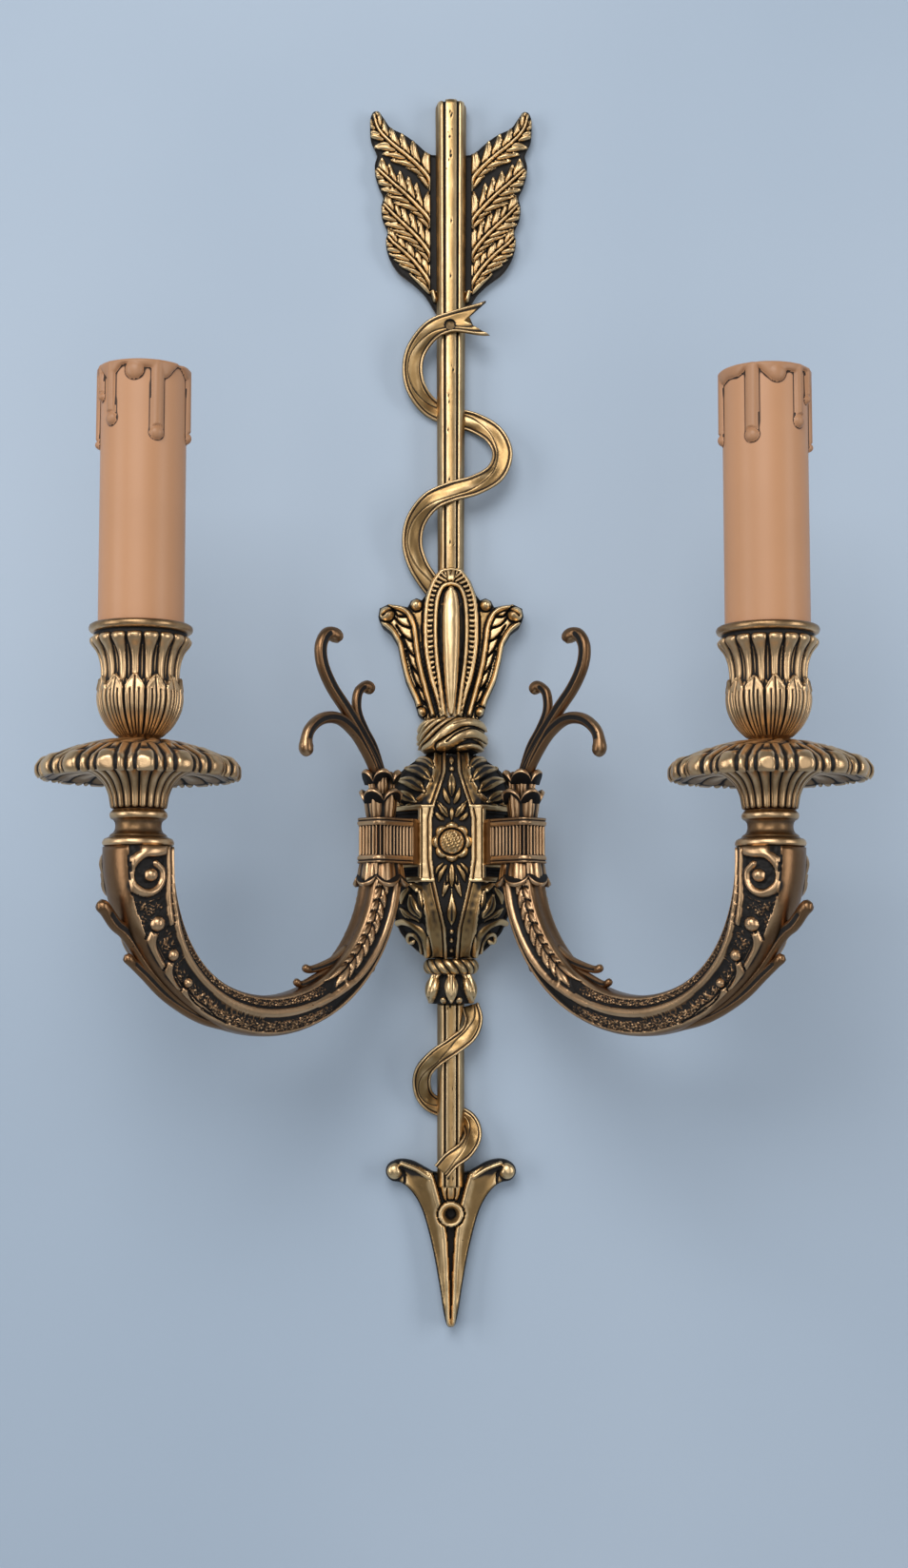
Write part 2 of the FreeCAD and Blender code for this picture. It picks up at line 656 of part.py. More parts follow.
# ---------------------------------------------------------------------------
# Tulip finial
# ---------------------------------------------------------------------------
def make_tulip():
    body = new_body("tulip_blank")
    foot = TULIP_FOOT
    tall = size("tulip_height")
    oval = size("cartouche_half")
    reach = size("tulip_reach")
    leaf = [(share * reach, foot + rise * tall) for share, rise in (
        (0.323, 0.0), (0.447, 0.04), (0.511, 0.14), (0.594, 0.30), (0.737, 0.47), (0.955, 0.57),
        (1.0, 0.65), (0.925, 0.72), (0.692, 0.72), (0.504, 0.68), (0.368, 0.60))]
    mirrored = [(-1.0 * x, height) for x, height in reversed(leaf)]
    leaves = draw(body, "tulip_leaves", "XZ_Plane", leaf + mirrored)
    extrude_feature(body, leaves, size("tulip_leaf_depth"))
    top = foot + tall
    low = top - size("cartouche_length")
    middle = top - 0.42 * size("cartouche_length")
    long = size("cartouche_length")

    def oval_outline(half, high, low_end):
        """An oval that narrows downwards, drawn in straight runs."""
        right = [
            (0.3 * half, low_end), (0.78 * half, low_end + 0.3 * long), (half, middle),
            (0.93 * half, high - 0.2 * long), (0.68 * half, high - 0.07 * long), (0.28 * half, high),
        ]
        return right + [(-1.0 * x, height) for x, height in reversed(right)]

    cartouche = draw(body, "cartouche", "XZ_Plane", oval_outline(oval, top, low))
    extrude_feature(body, cartouche, size("cartouche_depth"))
    rim = size("cartouche_rim")
    field_top = top - rim
    field_low = low + 1.6 * rim
    field = draw(body, "cartouche_field", "XZ_Plane", oval_outline(oval - rim, field_top, field_low),
                 size("cartouche_depth") - size("cartouche_sink"))
    extrude_feature(body, field, size("cartouche_depth"), "PartDesign::Pocket", reverse=True)
    pod_half = size("pod_half")
    pod_top = field_top - 1.2
    pod_low = field_low + 2.0
    right = [(0.3 * pod_half, pod_low), (0.8 * pod_half, mixed(pod_low, middle, 0.4)), (pod_half, middle),
             (0.8 * pod_half, mixed(middle, pod_top, 0.6)), (0.3 * pod_half, pod_top)]
    pod = draw(body, "pod", "XZ_Plane", right + [(-1.0 * x, height) for x, height in reversed(right)])
    extrude_feature(body, pod, size("pod_depth"))
    doc.recompute()
    return body


def finish_tulip(blank):
    """The tulip with its slot for the arrow shaft and its tapped hole for the tie rod."""
    foot = float(size("shaft_foot"))
    air = float(size("ribbon_air"))
    half = shaft_half(foot) + 0.6 + air
    deep = float(size("shaft_depth")) + air
    top = float(TULIP_FOOT + size("tulip_height")) + 1.0
    slot = Part.makeBox(2.0 * half, deep + 1.0, top - foot, Vector(-half, -deep, foot))
    bore = flats_bore(TAPPED, TULIP_FOOT - 1.0, TULIP_FOOT + size("rod_bite") + 0.5, size("rod_depth"))
    return solid("tulip_finial", blank.Shape.cut(slot).cut(bore))


# ---------------------------------------------------------------------------
# Column rings round the tie rod, each sliced flat where it meets the wall
# ---------------------------------------------------------------------------
def column_ring(name, rings, foot):
    """A cast ring with the rod's hole and a flat back; its rings stand round the rod's axis."""
    depth = float(size("rod_depth"))
    wide = 4.0 * float(size("knot_radius"))
    tall = rings[-1][0].z
    shape = skin(rings)
    bore = flats_bore(size("rod_radius") + size("rod_play"), -1.0, tall + 1.0)
    wall = Part.makeBox(wide, wide, wide, Vector(-0.5 * wide, depth, -0.5 * wide))
    ring = solid(name, shape.cut(bore).cut(wall))
    place(ring, 0.0, -1.0 * size("rod_depth"), foot)
    return ring


def make_knot():
    """A turban of slanting strands: the lobes of each level are turned against the last."""
    wide = float(size("knot_radius"))
    tall = float(size("knot_height"))
    levels = [(0.0, 0.70, 0.0), (0.10, 0.86, 0.4), (0.28, 0.98, 1.1), (0.45, 0.90, 1.8),
              (0.62, 1.0, 2.5), (0.84, 0.90, 3.3), (1.0, 0.66, 4.0)]
    rings = []
    for rise, reach, turn in levels:
        lobe = wide * reach
        rings.append(ring_at(rise * tall, [lobe, 0.9 * lobe] * int(float(size("knot_strands"))), turn))
    return column_ring("knot_collar", rings, KNOT_FOOT)


def make_rope_ring():
    """A twisted rope: bulging strands that lean."""
    wide = float(size("rope_radius"))
    tall = float(size("rope_height"))
    rings = []
    for rise, reach, turn in (
            (0.0, 0.84, 0.0), (0.2, 0.95, 0.3), (0.5, 1.0, 0.8), (0.8, 0.95, 1.3), (1.0, 0.84, 1.6)):
        lobe = wide * reach
        rings.append(ring_at(rise * tall, [lobe, 0.92 * lobe] * int(float(size("rope_strands"))), turn))
    return column_ring("rope_ring", rings, ROPE_FOOT)


def make_leaf_collar():
    """Leaves that hang from the rope ring and curl out at their tips."""
    wide = float(size("leaf_collar_radius"))
    tall = float(size("leaf_collar_height"))
    rings = []
    for rise, reach, groove in (
            (0.0, 0.58, 1.0), (0.24, 0.76, 0.96), (0.30, 0.98, 0.78), (0.58, 1.0, 0.86),
            (0.86, 0.84, 0.94), (1.0, 0.80, 1.0)):
        leaf = wide * reach
        rings.append(ring_at(rise * tall, [leaf, groove * leaf] * int(float(size("collar_leaves")))))
    return column_ring("leaf_collar", rings, LEAF_COLLAR_FOOT)


# ---------------------------------------------------------------------------
# Wall body: a hollow casting with a half-octagon plan, open at the back
# ---------------------------------------------------------------------------
# share of the way from neck to prism, and share of the height between them
FLARE = [(0.0, 0.0), (0.36, 0.13), (0.74, 0.33), (0.97, 0.60), (1.0, 1.0)]


def body_levels():
    """Heights down the body, each with its share between neck (0) and prism (1)."""
    top, shoulder = float(size("body_top")), float(size("shoulder"))
    prism_foot, foot = float(size("prism_foot")), float(size("body_foot"))
    upper = [(top + (shoulder - top) * fall, share) for share, fall in FLARE]
    lower = [(foot + (prism_foot - foot) * rise, share) for share, rise in reversed(FLARE)]
    return upper + lower


def body_section(height, share, inset=0.0):
    """Half-octagon plan of the body, or of its hollow when inset by the wall."""
    neck_depth = float(size("rod_depth") + size("neck_half"))
    half = float(size("neck_half")) * (1 - share) + float(size("body_half")) * share - inset
    front = float(size("neck_front_half")) * (1 - share) + float(size("front_half")) * share
    depth = neck_depth * (1 - share) + float(size("body_depth")) * share - inset
    front -= inset * math.tan(math.radians(22.5))
    side = depth - (half - front)
    right = [Vector(half, 0, height), Vector(half, -side, height), Vector(front, -depth, height)]
    return right + [Vector(-corner.x, corner.y, height) for corner in reversed(right)]


def make_wall_body(cutters):
    wall = float(size("body_wall"))
    levels = body_levels()
    shape = skin([body_section(height, share) for height, share in levels])
    hollow_levels = [
        (float(size("body_top")) - wall, 0.0),
        (float(size("shoulder")) - 0.4 * wall, 1.0),
        (float(size("prism_foot")) + 0.4 * wall, 1.0),
        (float(size("body_foot")) + wall, 0.0),
    ]
    hollow = skin([body_section(height, share, wall) for height, share in hollow_levels])
    inner_half = float(size("neck_half")) - wall
    rise = float(size("body_top") - size("body_foot")) - 2.0 * wall
    back = Part.makeBox(2.0 * inner_half, 6.0 * wall, rise,
                        Vector(-inner_half, -5.0 * wall, float(size("body_foot")) + wall))
    shape = shape.cut(hollow).cut(back)
    # sunk strip down the front for the relief, and the hole for the tie rod
    strip_half = float(size("strip_half"))
    sink = float(size("strip_sink"))
    depth = float(size("body_depth"))
    strip = Part.makeBox(2.0 * strip_half, 2.0 * sink, float(size("shoulder") - size("prism_foot")) - 2.0,
                         Vector(-strip_half, -depth - sink, float(size("prism_foot")) + 1.0))
    bore = flats_bore(size("rod_radius") + size("rod_play"), size("body_foot") - 1.0,
                      size("body_top") + 1.0, size("rod_depth"))
    shape = shape.cut(strip).cut(bore)
    for cutter in cutters:
        shape = shape.cut(cutter)
    return solid("wall_body", shape)


def make_rosette():
    """Round petals about a domed eye, on a flat back."""
    thick = float(size("rosette_depth"))
    reach = float(size("rosette_radius") + size("petal_radius"))
    count = int(float(size("petal_count")))
    petals = [0.80 * reach, 0.98 * reach, 0.98 * reach]
    rings = [
        ring_at(0.0, petals * count),
        ring_at(0.7 * thick, petals * count),
        ring_at(thick, [0.74 * radius for radius in petals] * count),
        ring_at(0.55 * thick, [0.52 * reach] * (3 * count)),
        ring_at(1.15 * thick, [0.42 * reach] * (3 * count)),
        ring_at(1.4 * thick, [0.16 * reach] * (3 * count)),
    ]
    rosette = solid("rosette", skin(rings))
    seat = size("strip_sink") - size("body_depth")
    rosette.Placement = Placement(facet(0, seat, size("rosette_z")), Rotation(Vector(1, 0, 0), 90))
    rosette.setExpression("Placement.Base.y", seat.text)
    rosette.setExpression("Placement.Base.z", size("rosette_z").text)
    return rosette


# ---------------------------------------------------------------------------
# Lower shaft and arrowhead
# ---------------------------------------------------------------------------
def make_lower_shaft():
    half = float(size("lower_shaft_half"))
    top = float(LEAF_COLLAR_FOOT)
    foot = float(size("lower_shaft_foot"))
    shape = skin([shaft_section(half, foot), shaft_section(half, top)])
    shape = shape.cut(ribbon_behind(LOWER_TRAIL, half))
    return solid("lower_shaft", shape)


def head_outline(side):
    """One side of the arrowhead, from the top notch round the barb to the point."""
    barb_x, barb_z = size("barb_x"), size("barb_z")
    half = size("head_half")
    tip = size("head_tip")
    reach = barb_z - tip
    right = [
        (0.0, barb_z - 0.06 * reach), (0.34 * barb_x, barb_z - 0.06 * reach),
        (0.62 * barb_x, barb_z + 0.02 * reach), (0.9 * barb_x, barb_z + 0.02 * reach),
        (1.04 * barb_x, barb_z - 0.04 * reach), (0.96 * barb_x, barb_z - 0.1 * reach),
        (0.7 * barb_x, barb_z - 0.12 * reach), (half, barb_z - 0.3 * reach),
        (0.66 * half, barb_z - 0.55 * reach), (0.34 * half, barb_z - 0.8 * reach),
        (0.09 * half, tip),
    ]
    return [(side * x, height) for x, height in right]


def make_arrowhead():
    body = new_body("arrowhead_blank")
    right = head_outline(1.0)
    left = head_outline(-1.0)
    outline = right + list(reversed(left))[:-1]
    plate = draw(body, "head_outline", "XZ_Plane", outline)
    extrude_feature(body, plate, size("head_depth"))
    doc.recompute()
    shape = body.Shape
    # centre groove, slot for the lower shaft, countersunk screw hole
    depth = float(size("head_depth"))
    half = float(size("head_groove_half"))
    floor = depth - float(size("head_groove"))
    tip = float(size("head_tip"))
    top = float(size("barb_z"))
    groove = skin([
        [Vector(-half, -depth - 0.5, level), Vector(0, -floor, level), Vector(half, -depth - 0.5, level)]
        for level in (tip + 4.0, top + 4.0)])
    slot_half = float(size("lower_shaft_half")) + float(size("ribbon_air"))
    slot_foot = float(size("lower_shaft_foot"))
    slot = Part.makeBox(2.0 * slot_half, depth + 2.0, top + depth - slot_foot,
                        Vector(-slot_half, -depth - 1.0, slot_foot))
    shape = shape.cut(groove).cut(slot)
    head_radius = float(size("screw_head_radius"))
    hole_radius = float(size("screw_hole_radius"))
    rim = 1.0
    fall = head_radius - hole_radius
    boss = level_prism([head_radius + rim] * 2, [0.0, depth], float(LOWER_SCREW))
    sink = level_prism([hole_radius, head_radius + rim], [depth - fall, depth + rim], float(LOWER_SCREW))
    shape = shape.fuse(boss).cut(sink).cut(screw_hole(LOWER_SCREW))
    discard(body)
    return solid("arrowhead", shape)


# ---------------------------------------------------------------------------
# Arms.  Each is drawn in its own upright plane: x outwards, y across, z up.
# ---------------------------------------------------------------------------
# Half of the moulded section: share of the radial size (outside positive), share of the width.
MOULDING = [
    (0.50, 0.20), (0.40, 0.44), (0.18, 0.38), (0.04, 0.50), (-0.14, 0.47), (-0.40, 0.38), (-0.50, 0.18),
]
# The body's plan is half an octagon, so each arm stands out from the wall at this angle.
ARM_TURN = 45.0
DIAGONAL = math.cos(math.radians(ARM_TURN))
ROOT_X = 0.5 * (size("front_half") + size("body_half")) + DIAGONAL * size("socket_back")
ROOT_Y = size("body_depth") - 0.5 * (size("body_half") - size("front_half")) + DIAGONAL * size("socket_back")


def mix(low, high, share):
    """Between two numbers."""
    return low + (high - low) * share


def smooth(share):
    """Ease in and out between 0 and 1."""
    share = min(max(share, 0.0), 1.0)
    return share * share * (3.0 - 2.0 * share)


def arm_line(share):
    """Centre line of an arm: place and outward direction; 0 at the root, 1 under the candle."""
    radius_x = 0.5 * float(size("arm_span"))
    root_z = float(size("arm_root_z"))
    radius_z = root_z - float(size("arm_depth_z"))
    angle = math.pi * (1.0 + share)
    centre = Vector(radius_x, 0, root_z)
    place_on = Vector(centre.x + radius_x * math.cos(angle), 0, centre.z + radius_z * math.sin(angle))
    outward = Vector(math.cos(angle), 0, math.sin(angle)).normalize()
    return place_on, outward


def arm_section(share, extra=0.0):
    """Corners of the arm's moulded section at one share of its length."""
    swell = smooth((share - 0.62) / 0.38)
    if share < 0.5:
        radial = mix(float(size("arm_root_radial")), float(size("arm_mid_radial")), 2.0 * share)
        across = mix(float(size("arm_root_across")), float(size("arm_mid_across")), 2.0 * share)
    else:
        radial = mix(float(size("arm_mid_radial")), float(size("arm_end_width")), swell)
        across = mix(float(size("arm_mid_across")), float(size("arm_end_width")), swell)
    middle, outward = arm_line(share)
    half = []
    for out_share, width_share in MOULDING:
        round_angle = math.acos(max(-1.0, min(1.0, 2.0 * out_share)))
        out_share = mix(out_share, 0.5 * math.cos(round_angle), swell * 0.6)
        width_share = mix(width_share, max(0.5 * math.sin(round_angle), 0.18), swell * 0.6)
        out = out_share * radial + math.copysign(extra, out_share)
        half.append((out, width_share * across + extra))
    corners = [middle + outward * out + Vector(0, wide, 0) for out, wide in half]
    corners += [middle + outward * out + Vector(0, -wide, 0) for out, wide in reversed(half)]
    return corners


def arm_shape(extra=0.0):
    count = int(float(size("arm_stations")))
    sections = [arm_section(index / (count - 1.0), extra) for index in range(count)]
    lift = float(size("arm_top_z") - size("arm_root_z"))
    sections.append([corner + Vector(0, 0, lift) for corner in sections[-1]])
    return skin(sections)


def arm_turn(side):
    """Angle of an arm's plane about the upright axis: 1 for the right arm, -1 for the left."""
    return -ARM_TURN if side > 0 else ARM_TURN - 180.0


def arm_place(thing, side):
    """Turn an arm's own plane out from the wall and set it on its root."""
    place(thing, side * ROOT_X, -1.0 * ROOT_Y, 0.0, arm_turn(side))


def candle_seat(side):
    """The candle's axis on the wall's plan: x and y as sizes."""
    run = DIAGONAL * size("arm_span")
    return side * (ROOT_X + run), -1.0 * (ROOT_Y + run)


def make_arm(name, side, blank):
    span = float(size("arm_span"))
    top = float(size("arm_top_z"))
    bore = nipple_bore(top - float(size("nipple_bite")) - 6.0, top + 1.0).translated(Vector(span, 0, 0))
    arm = solid(name, blank.cut(bore))
    arm_place(arm, side)
    return arm


def socket_screws(grow=0.0):
    """The two screws that hold one socket from inside the body, as (shank, head) pairs."""
    seat = -float(size("socket_back") + size("body_wall"))
    middle = 0.5 * float(size("socket_top") + size("socket_foot"))
    pitch = float(size("arm_screw_pitch"))
    length = float(size("arm_screw_length"))
    thick = float(size("arm_screw_head_height"))

    def prism(radius, sides, level, low, high):
        plan = ring_at(0.0, [radius] * sides)
        return skin([[Vector(x, corner.x, level + corner.y) for corner in plan] for x in (low, high)])

    pieces = []
    for level in (middle - 0.5 * pitch, middle + 0.5 * pitch):
        shank = prism(float(size("arm_screw_radius")) + grow, 8, level, seat, seat + length + grow)
        head = prism(float(size("arm_screw_head")), 6, level, seat - thick, seat)
        pieces.append((shank, head))
    return pieces


def make_socket(name, side):
    """A block with plain rails, a sunk fluted band and rounded outer corners."""
    back = float(size("socket_back"))
    reach = float(size("socket_reach"))
    half = 0.5 * float(size("socket_across"))
    corner = float(size("socket_corner"))
    foot, top = float(size("socket_foot")), float(size("socket_top"))
    rail = float(size("socket_rail"))
    sink = float(size("socket_sink"))

    def block(inset, low, high):
        """A slab with bevelled outer corners, drawn in from the rails by the inset."""
        wide, out = half - inset, reach - inset
        cut = corner - inset
        plan = [(-back, -wide), (out - cut, -wide), (out - 0.3 * cut, -wide + 0.3 * cut),
                (out, -wide + cut), (out, wide - cut), (out - 0.3 * cut, wide - 0.3 * cut),
                (out - cut, wide), (-back, wide)]
        return skin([[Vector(x, y, level) for x, y in plan] for level in (low, high)])

    shape = block(0.0, foot, foot + rail)
    shape = shape.fuse(block(0.0, top - rail, top))
    shape = shape.fuse(block(sink, foot + rail, top - rail))
    plate = Part.makeBox(float(size("socket_plate")), 2.0 * half, top - foot, Vector(-back, -half, foot))
    shape = shape.fuse(plate).removeSplitter()
    count = int(float(size("flute_count")))
    pitch = float(size("flute_pitch"))
    wide = float(size("flute_half"))
    flutes = []
    for index in range(count):
        x = reach - corner - 0.6 - index * pitch
        for sign in (1, -1):
            y = sign * (half - sink)
            flutes.append(Part.makeBox(2.0 * wide, 1.2, top - foot - 2.0 * rail,
                                       Vector(x - wide, y - 0.6, foot + rail)))
    for y in (-pitch, 0.0, pitch):
        flutes.append(Part.makeBox(1.2, 2.0 * wide, top - foot - 2.0 * rail,
                                   Vector(reach - sink - 0.6, y - wide, foot + rail)))
    shape = shape.cut(Part.makeCompound(flutes))
    for shank, _ in socket_screws(0.06):
        shape = shape.cut(shank)
    socket = solid(name, shape)
    arm_place(socket, side)
    return socket


def leaf_tier(foot, height, base, waist, tip, count, across=1.0):
    """A cup of leaves: a flaring ring whose edge rises to a tip at each leaf."""
    rings = []
    for rise, radius, drop in ((0.0, base, 0.0), (0.45, waist, 0.0), (0.88, tip, 0.18), (1.0, 0.8 * tip, 0.18)):
        ring = []
        for index in range(2 * count):
            angle = math.pi * index / count
            valley = index % 2
            reach = radius * (0.84 if valley else 1.0)
            ring.append(Vector(reach * math.cos(angle), across * reach * math.sin(angle),
                               foot + (rise - drop * valley) * height))
        rings.append(ring)
    return skin_with_fans(rings)


def skin_with_fans(rings):
    """A solid whose end rings need not be flat: each end is closed by a fan to its middle."""
    fans = []
    for ring in (rings[0], rings[-1]):
        middle = Vector(0, 0, 0)
        for corner in ring:
            middle = middle + corner * (1.0 / len(ring))
        fans.append([middle] * len(ring))
    return skin([fans[0]] + rings + [fans[1]], False)


def make_upper_leaves(name, side):
    radius = float(size("upper_leaf_radius"))
    foot = float(size("socket_top"))
    tall = float(size("upper_leaf_height"))
    count = int(float(size("leaf_count")))
    lower = leaf_tier(foot, 0.58 * tall, 0.82 * radius, 0.84 * radius, radius, count, 0.92)
    upper = leaf_tier(foot + 0.42 * tall, 0.58 * tall, 0.66 * radius, 0.66 * radius, 0.94 * radius,
                      count, 0.92)
    leaves = solid(name, lower.fuse(upper))
    arm_place(leaves, side)
    return leaves


def make_lower_leaves(name, side, fat_arm):
    """Leaves that hang from the socket round the arm's root."""
    foot = float(size("socket_foot"))
    tall = float(size("lower_leaf_height"))
    wide = 0.5 * float(size("arm_root_radial")) + 2.4
    across = (0.5 * float(size("arm_root_across")) + 2.2) / wide
    rings = []
    count = int(float(size("leaf_count")))
    for level, reach in ((0.0, 0.86), (0.24, 0.96), (0.66, 1.06), (1.0, 0.94)):
        ring = []
        for index in range(2 * count):
            angle = math.pi * index / count
            valley = index % 2
            radius = wide * reach * (0.9 if valley else 1.0)
            rise = 0.3 * tall if valley and level > 0.9 else 0.0
            ring.append(Vector(radius * math.cos(angle), across * radius * math.sin(angle),
                               foot - level * tall + rise))
        rings.append(ring)
    shape = skin_with_fans(rings).cut(fat_arm)
    leaves = solid(name, largest(shape))
    arm_place(leaves, side)
    return leaves


# Tendrils: x outwards and height above the top of the leaves, each from the stem to its ball.
TENDRIL_SIDES = 6
TENDRILS = [
    [(1.4, -0.6), (4.2, 4.2), (9.4, 11.4), (16.6, 19.6), (23.6, 27.0), (27.9, 34.2), (28.7, 40.6),
     (26.0, 45.0), (22.2, 44.9), (20.9, 42.6)],
    [(0.2, 0.0), (4.0, 7.6), (8.6, 13.8), (11.8, 20.0), (11.2, 26.2), (7.4, 28.7), (4.6, 27.2)],
    [(2.0, -0.4), (6.6, 5.4), (12.6, 12.0), (20.2, 16.2), (28.0, 15.6), (33.8, 11.2), (35.2, 5.4),
     (32.8, 3.6)],
]


def tendril(points, foot, root, tip, bulb, sides=TENDRIL_SIDES):
    """A round rod that follows points in the arm's plane and ends in a ball."""
    sections = []
    end = len(points) - 1
    for index, (x, height) in enumerate(points):
        before, after = points[max(index - 1, 0)], points[min(index + 1, end)]
        along = Vector(after[0] - before[0], 0, after[1] - before[1]).normalize()
        radius = mix(root, tip, index / float(end))
        sections.append(rod_ring(Vector(x, 0, foot + height), along, radius, sides))
    middle = Vector(points[end][0], 0, foot + points[end][1])
    for reach, share in ((0.4, 0.96), (1.1, 1.0), (1.9, 0.5)):
        sections.append(rod_ring(middle + along * (reach * bulb), along, share * bulb, sides))
    return skin(sections)


def rod_ring(middle, along, radius, sides):
    """A regular polygon square to a direction in the arm's plane."""
    across = Vector(0, 1, 0)
    up = along.cross(across)
    ring = []
    for index in range(sides):
        angle = 2.0 * math.pi * (index + 0.5) / sides
        ring.append(middle + across * (radius * math.cos(angle)) + up * (radius * math.sin(angle)))
    return ring


def make_tendrils(name, side, leaves_shape):
    foot = float(size("socket_top") + size("upper_leaf_height"))
    root = float(size("tendril_radius"))
    bulb = float(size("bulb_radius"))
    shape = None
    for points in TENDRILS:
        stem = tendril(points, foot, root, 0.82 * root, bulb)
        shape = stem if shape is None else shape.fuse(stem)
    shape = shape.cut(leaves_shape)
    spray = solid(name, largest(shape))
    arm_place(spray, side)
    return spray


# ---------------------------------------------------------------------------
# Candle sets
# ---------------------------------------------------------------------------
COLLAR_FOOT = size("arm_top_z")
DISH_FOOT = COLLAR_FOOT + size("collar_height")
CUP_FOOT = DISH_FOOT + size("dish_height")
SLEEVE_FOOT = CUP_FOOT + size("cup_step") + size("sleeve_rest")
HOLDER_TOP = SLEEVE_FOOT + size("sleeve_length") - size("holder_below_top")
HOLDER_FOOT = CUP_FOOT + size("cup_floor")


# flats round the small turned pieces
TURNED_SIDES = 20


def make_collar(name):
    """A bead at the foot, a waist and a smaller bead."""
    tall = float(size("collar_height"))
    base = float(size("collar_base_radius"))
    waist = float(size("collar_waist_radius"))
    bead = float(size("collar_bead_radius"))
    rings = []
    for rise, radius in ((0.0, 0.93 * base), (0.08, base), (0.20, base), (0.30, 0.84 * base),
                         (0.42, waist), (0.62, waist), (0.80, bead), (1.0, 0.88 * bead)):
        rings.append(ring_at(rise * tall, [radius] * TURNED_SIDES))
    return bored(name, skin(rings), tall)


def bored(name, shape, tall):
    """A candle piece with the nipple's bore through it."""
    return solid(name, shape.cut(nipple_bore(-1.0, float(tall) + 1.0)))


def make_dish(name):
    """A drooping scalloped dish on a fluted stem."""
    tall = float(size("dish_height"))
    rim = float(size("dish_radius"))
    droop = float(size("dish_droop"))
    wall = float(size("dish_wall"))
    neck = float(size("dish_neck_radius"))
    foot = float(size("dish_foot_radius"))
    count = int(float(size("scallop_count")))
    notch = 1.0 - float(size("scallop_depth")) / rim
    flute = 1.0 - float(size("flute_depth")) / neck
    under = tall - droop
    rings = []
    # going up the outside: stem, underside of the dish, rim, then back over the top
    for height, radius, valley in (
            (0.0, foot, flute), (0.32 * tall, 0.94 * neck, flute), (0.48 * tall, 1.12 * neck, flute),
            (under + 0.1 * droop, 0.68 * rim, 0.99), (under - 0.6 * wall, 0.96 * rim, notch),
            (under + 0.4 * wall, rim, notch), (under + 0.62 * droop, 0.74 * rim, 0.98),
            (tall, 0.3 * rim, 1.0)):
        rings.append(ring_at(height, [radius * valley, radius] * count))
    return bored(name, skin(rings), tall)


def make_cup(name):
    """A fluted cup with a leafy belly, a ring of rounded flutes and a plain rim."""
    tall = float(size("cup_height"))
    foot = float(size("cup_foot_radius"))
    belly = float(size("cup_belly_radius"))
    waist = float(size("cup_waist_radius"))
    ring = float(size("cup_ring_radius"))
    rim = float(size("cup_rim_radius"))
    count = int(float(size("cup_flutes")))
    groove = float(size("flute_depth"))
    step = float(size("cup_step")) / tall
    lip = (float(size("sleeve_radius") + size("cup_lip_gap"))) / math.cos(0.5 * math.pi / count)
    hollow = float(size("sleeve_bore") - size("cup_ledge"))
    floor = float(size("cup_floor")) / tall
    rings = []
    # up the outside, over the rim and down the inside to the floor
    for rise, radius, depth in (
            (0.0, foot, 0.0), (0.16, 0.9 * belly, 1.0), (0.33, belly, 1.0), (0.48, waist, 1.0),
            (0.84, ring, 1.0), (0.935, rim, 0.0),
            (1.0, rim, 0.0), (1.0, lip, 0.0), (step, lip, 0.0), (step, hollow, 0.0),
            (floor, 0.62 * belly, 0.0)):
        rings.append(ring_at(rise * tall, [radius, radius - depth * groove] * count))
    return bored(name, skin(rings), size("cup_floor"))


# Drips on the sleeve: share of a full turn from the front, and length as a share of the sleeve.
DRIPS = [(0.03, 0.26), (0.19, 0.20), (0.36, 0.31), (0.58, 0.24), (0.82, 0.29)]
SLEEVE_SIDES = 40


def make_sleeve(name, side):
    """A plain tube with drips of several lengths down from its top."""
    outer = float(size("sleeve_radius"))
    bore = float(size("sleeve_bore"))
    tall = float(size("sleeve_length"))
    rise = float(size("drip_rise"))
    wide = float(size("drip_radius"))
    shape = skin([ring_at(0.0, [outer] * SLEEVE_SIDES), ring_at(tall, [outer] * SLEEVE_SIDES)])
    for turn, length in DRIPS:
        angle = 2.0 * math.pi * turn * side - 0.5 * math.pi
        out = Vector(math.cos(angle), math.sin(angle), 0)
        run = length * tall
        sections = []
        for level, share in ((tall - 0.3, 0.9), (tall - 0.72 * run, 0.78), (tall - run + wide, 1.0),
                             (tall - run, 0.45)):
            middle = out * (outer - wide + rise * share) + Vector(0, 0, level)
            sections.append([middle + corner for corner in ring_at(0.0, [wide * share] * 6)])
        shape = shape.fuse(skin(sections))
    shape = shape.cut(flats_bore(bore, -1.0, tall + 1.0, sides=SLEEVE_SIDES))
    return solid(name, shape)


def make_nipple(name):
    """The hollow threaded tube that clamps collar, dish and cup to the arm."""
    run = size("nipple_bite") + size("collar_height") + size("dish_height") + size("cup_floor")
    high = float(run + size("holder_bite"))
    rings = [flats_ring(size("nipple_radius"), 0.0), flats_ring(size("nipple_radius"), high),
             flats_ring(size("nipple_bore"), high), flats_ring(size("nipple_bore"), 0.0)]
    return solid(name, skin(rings + rings[:1], False))


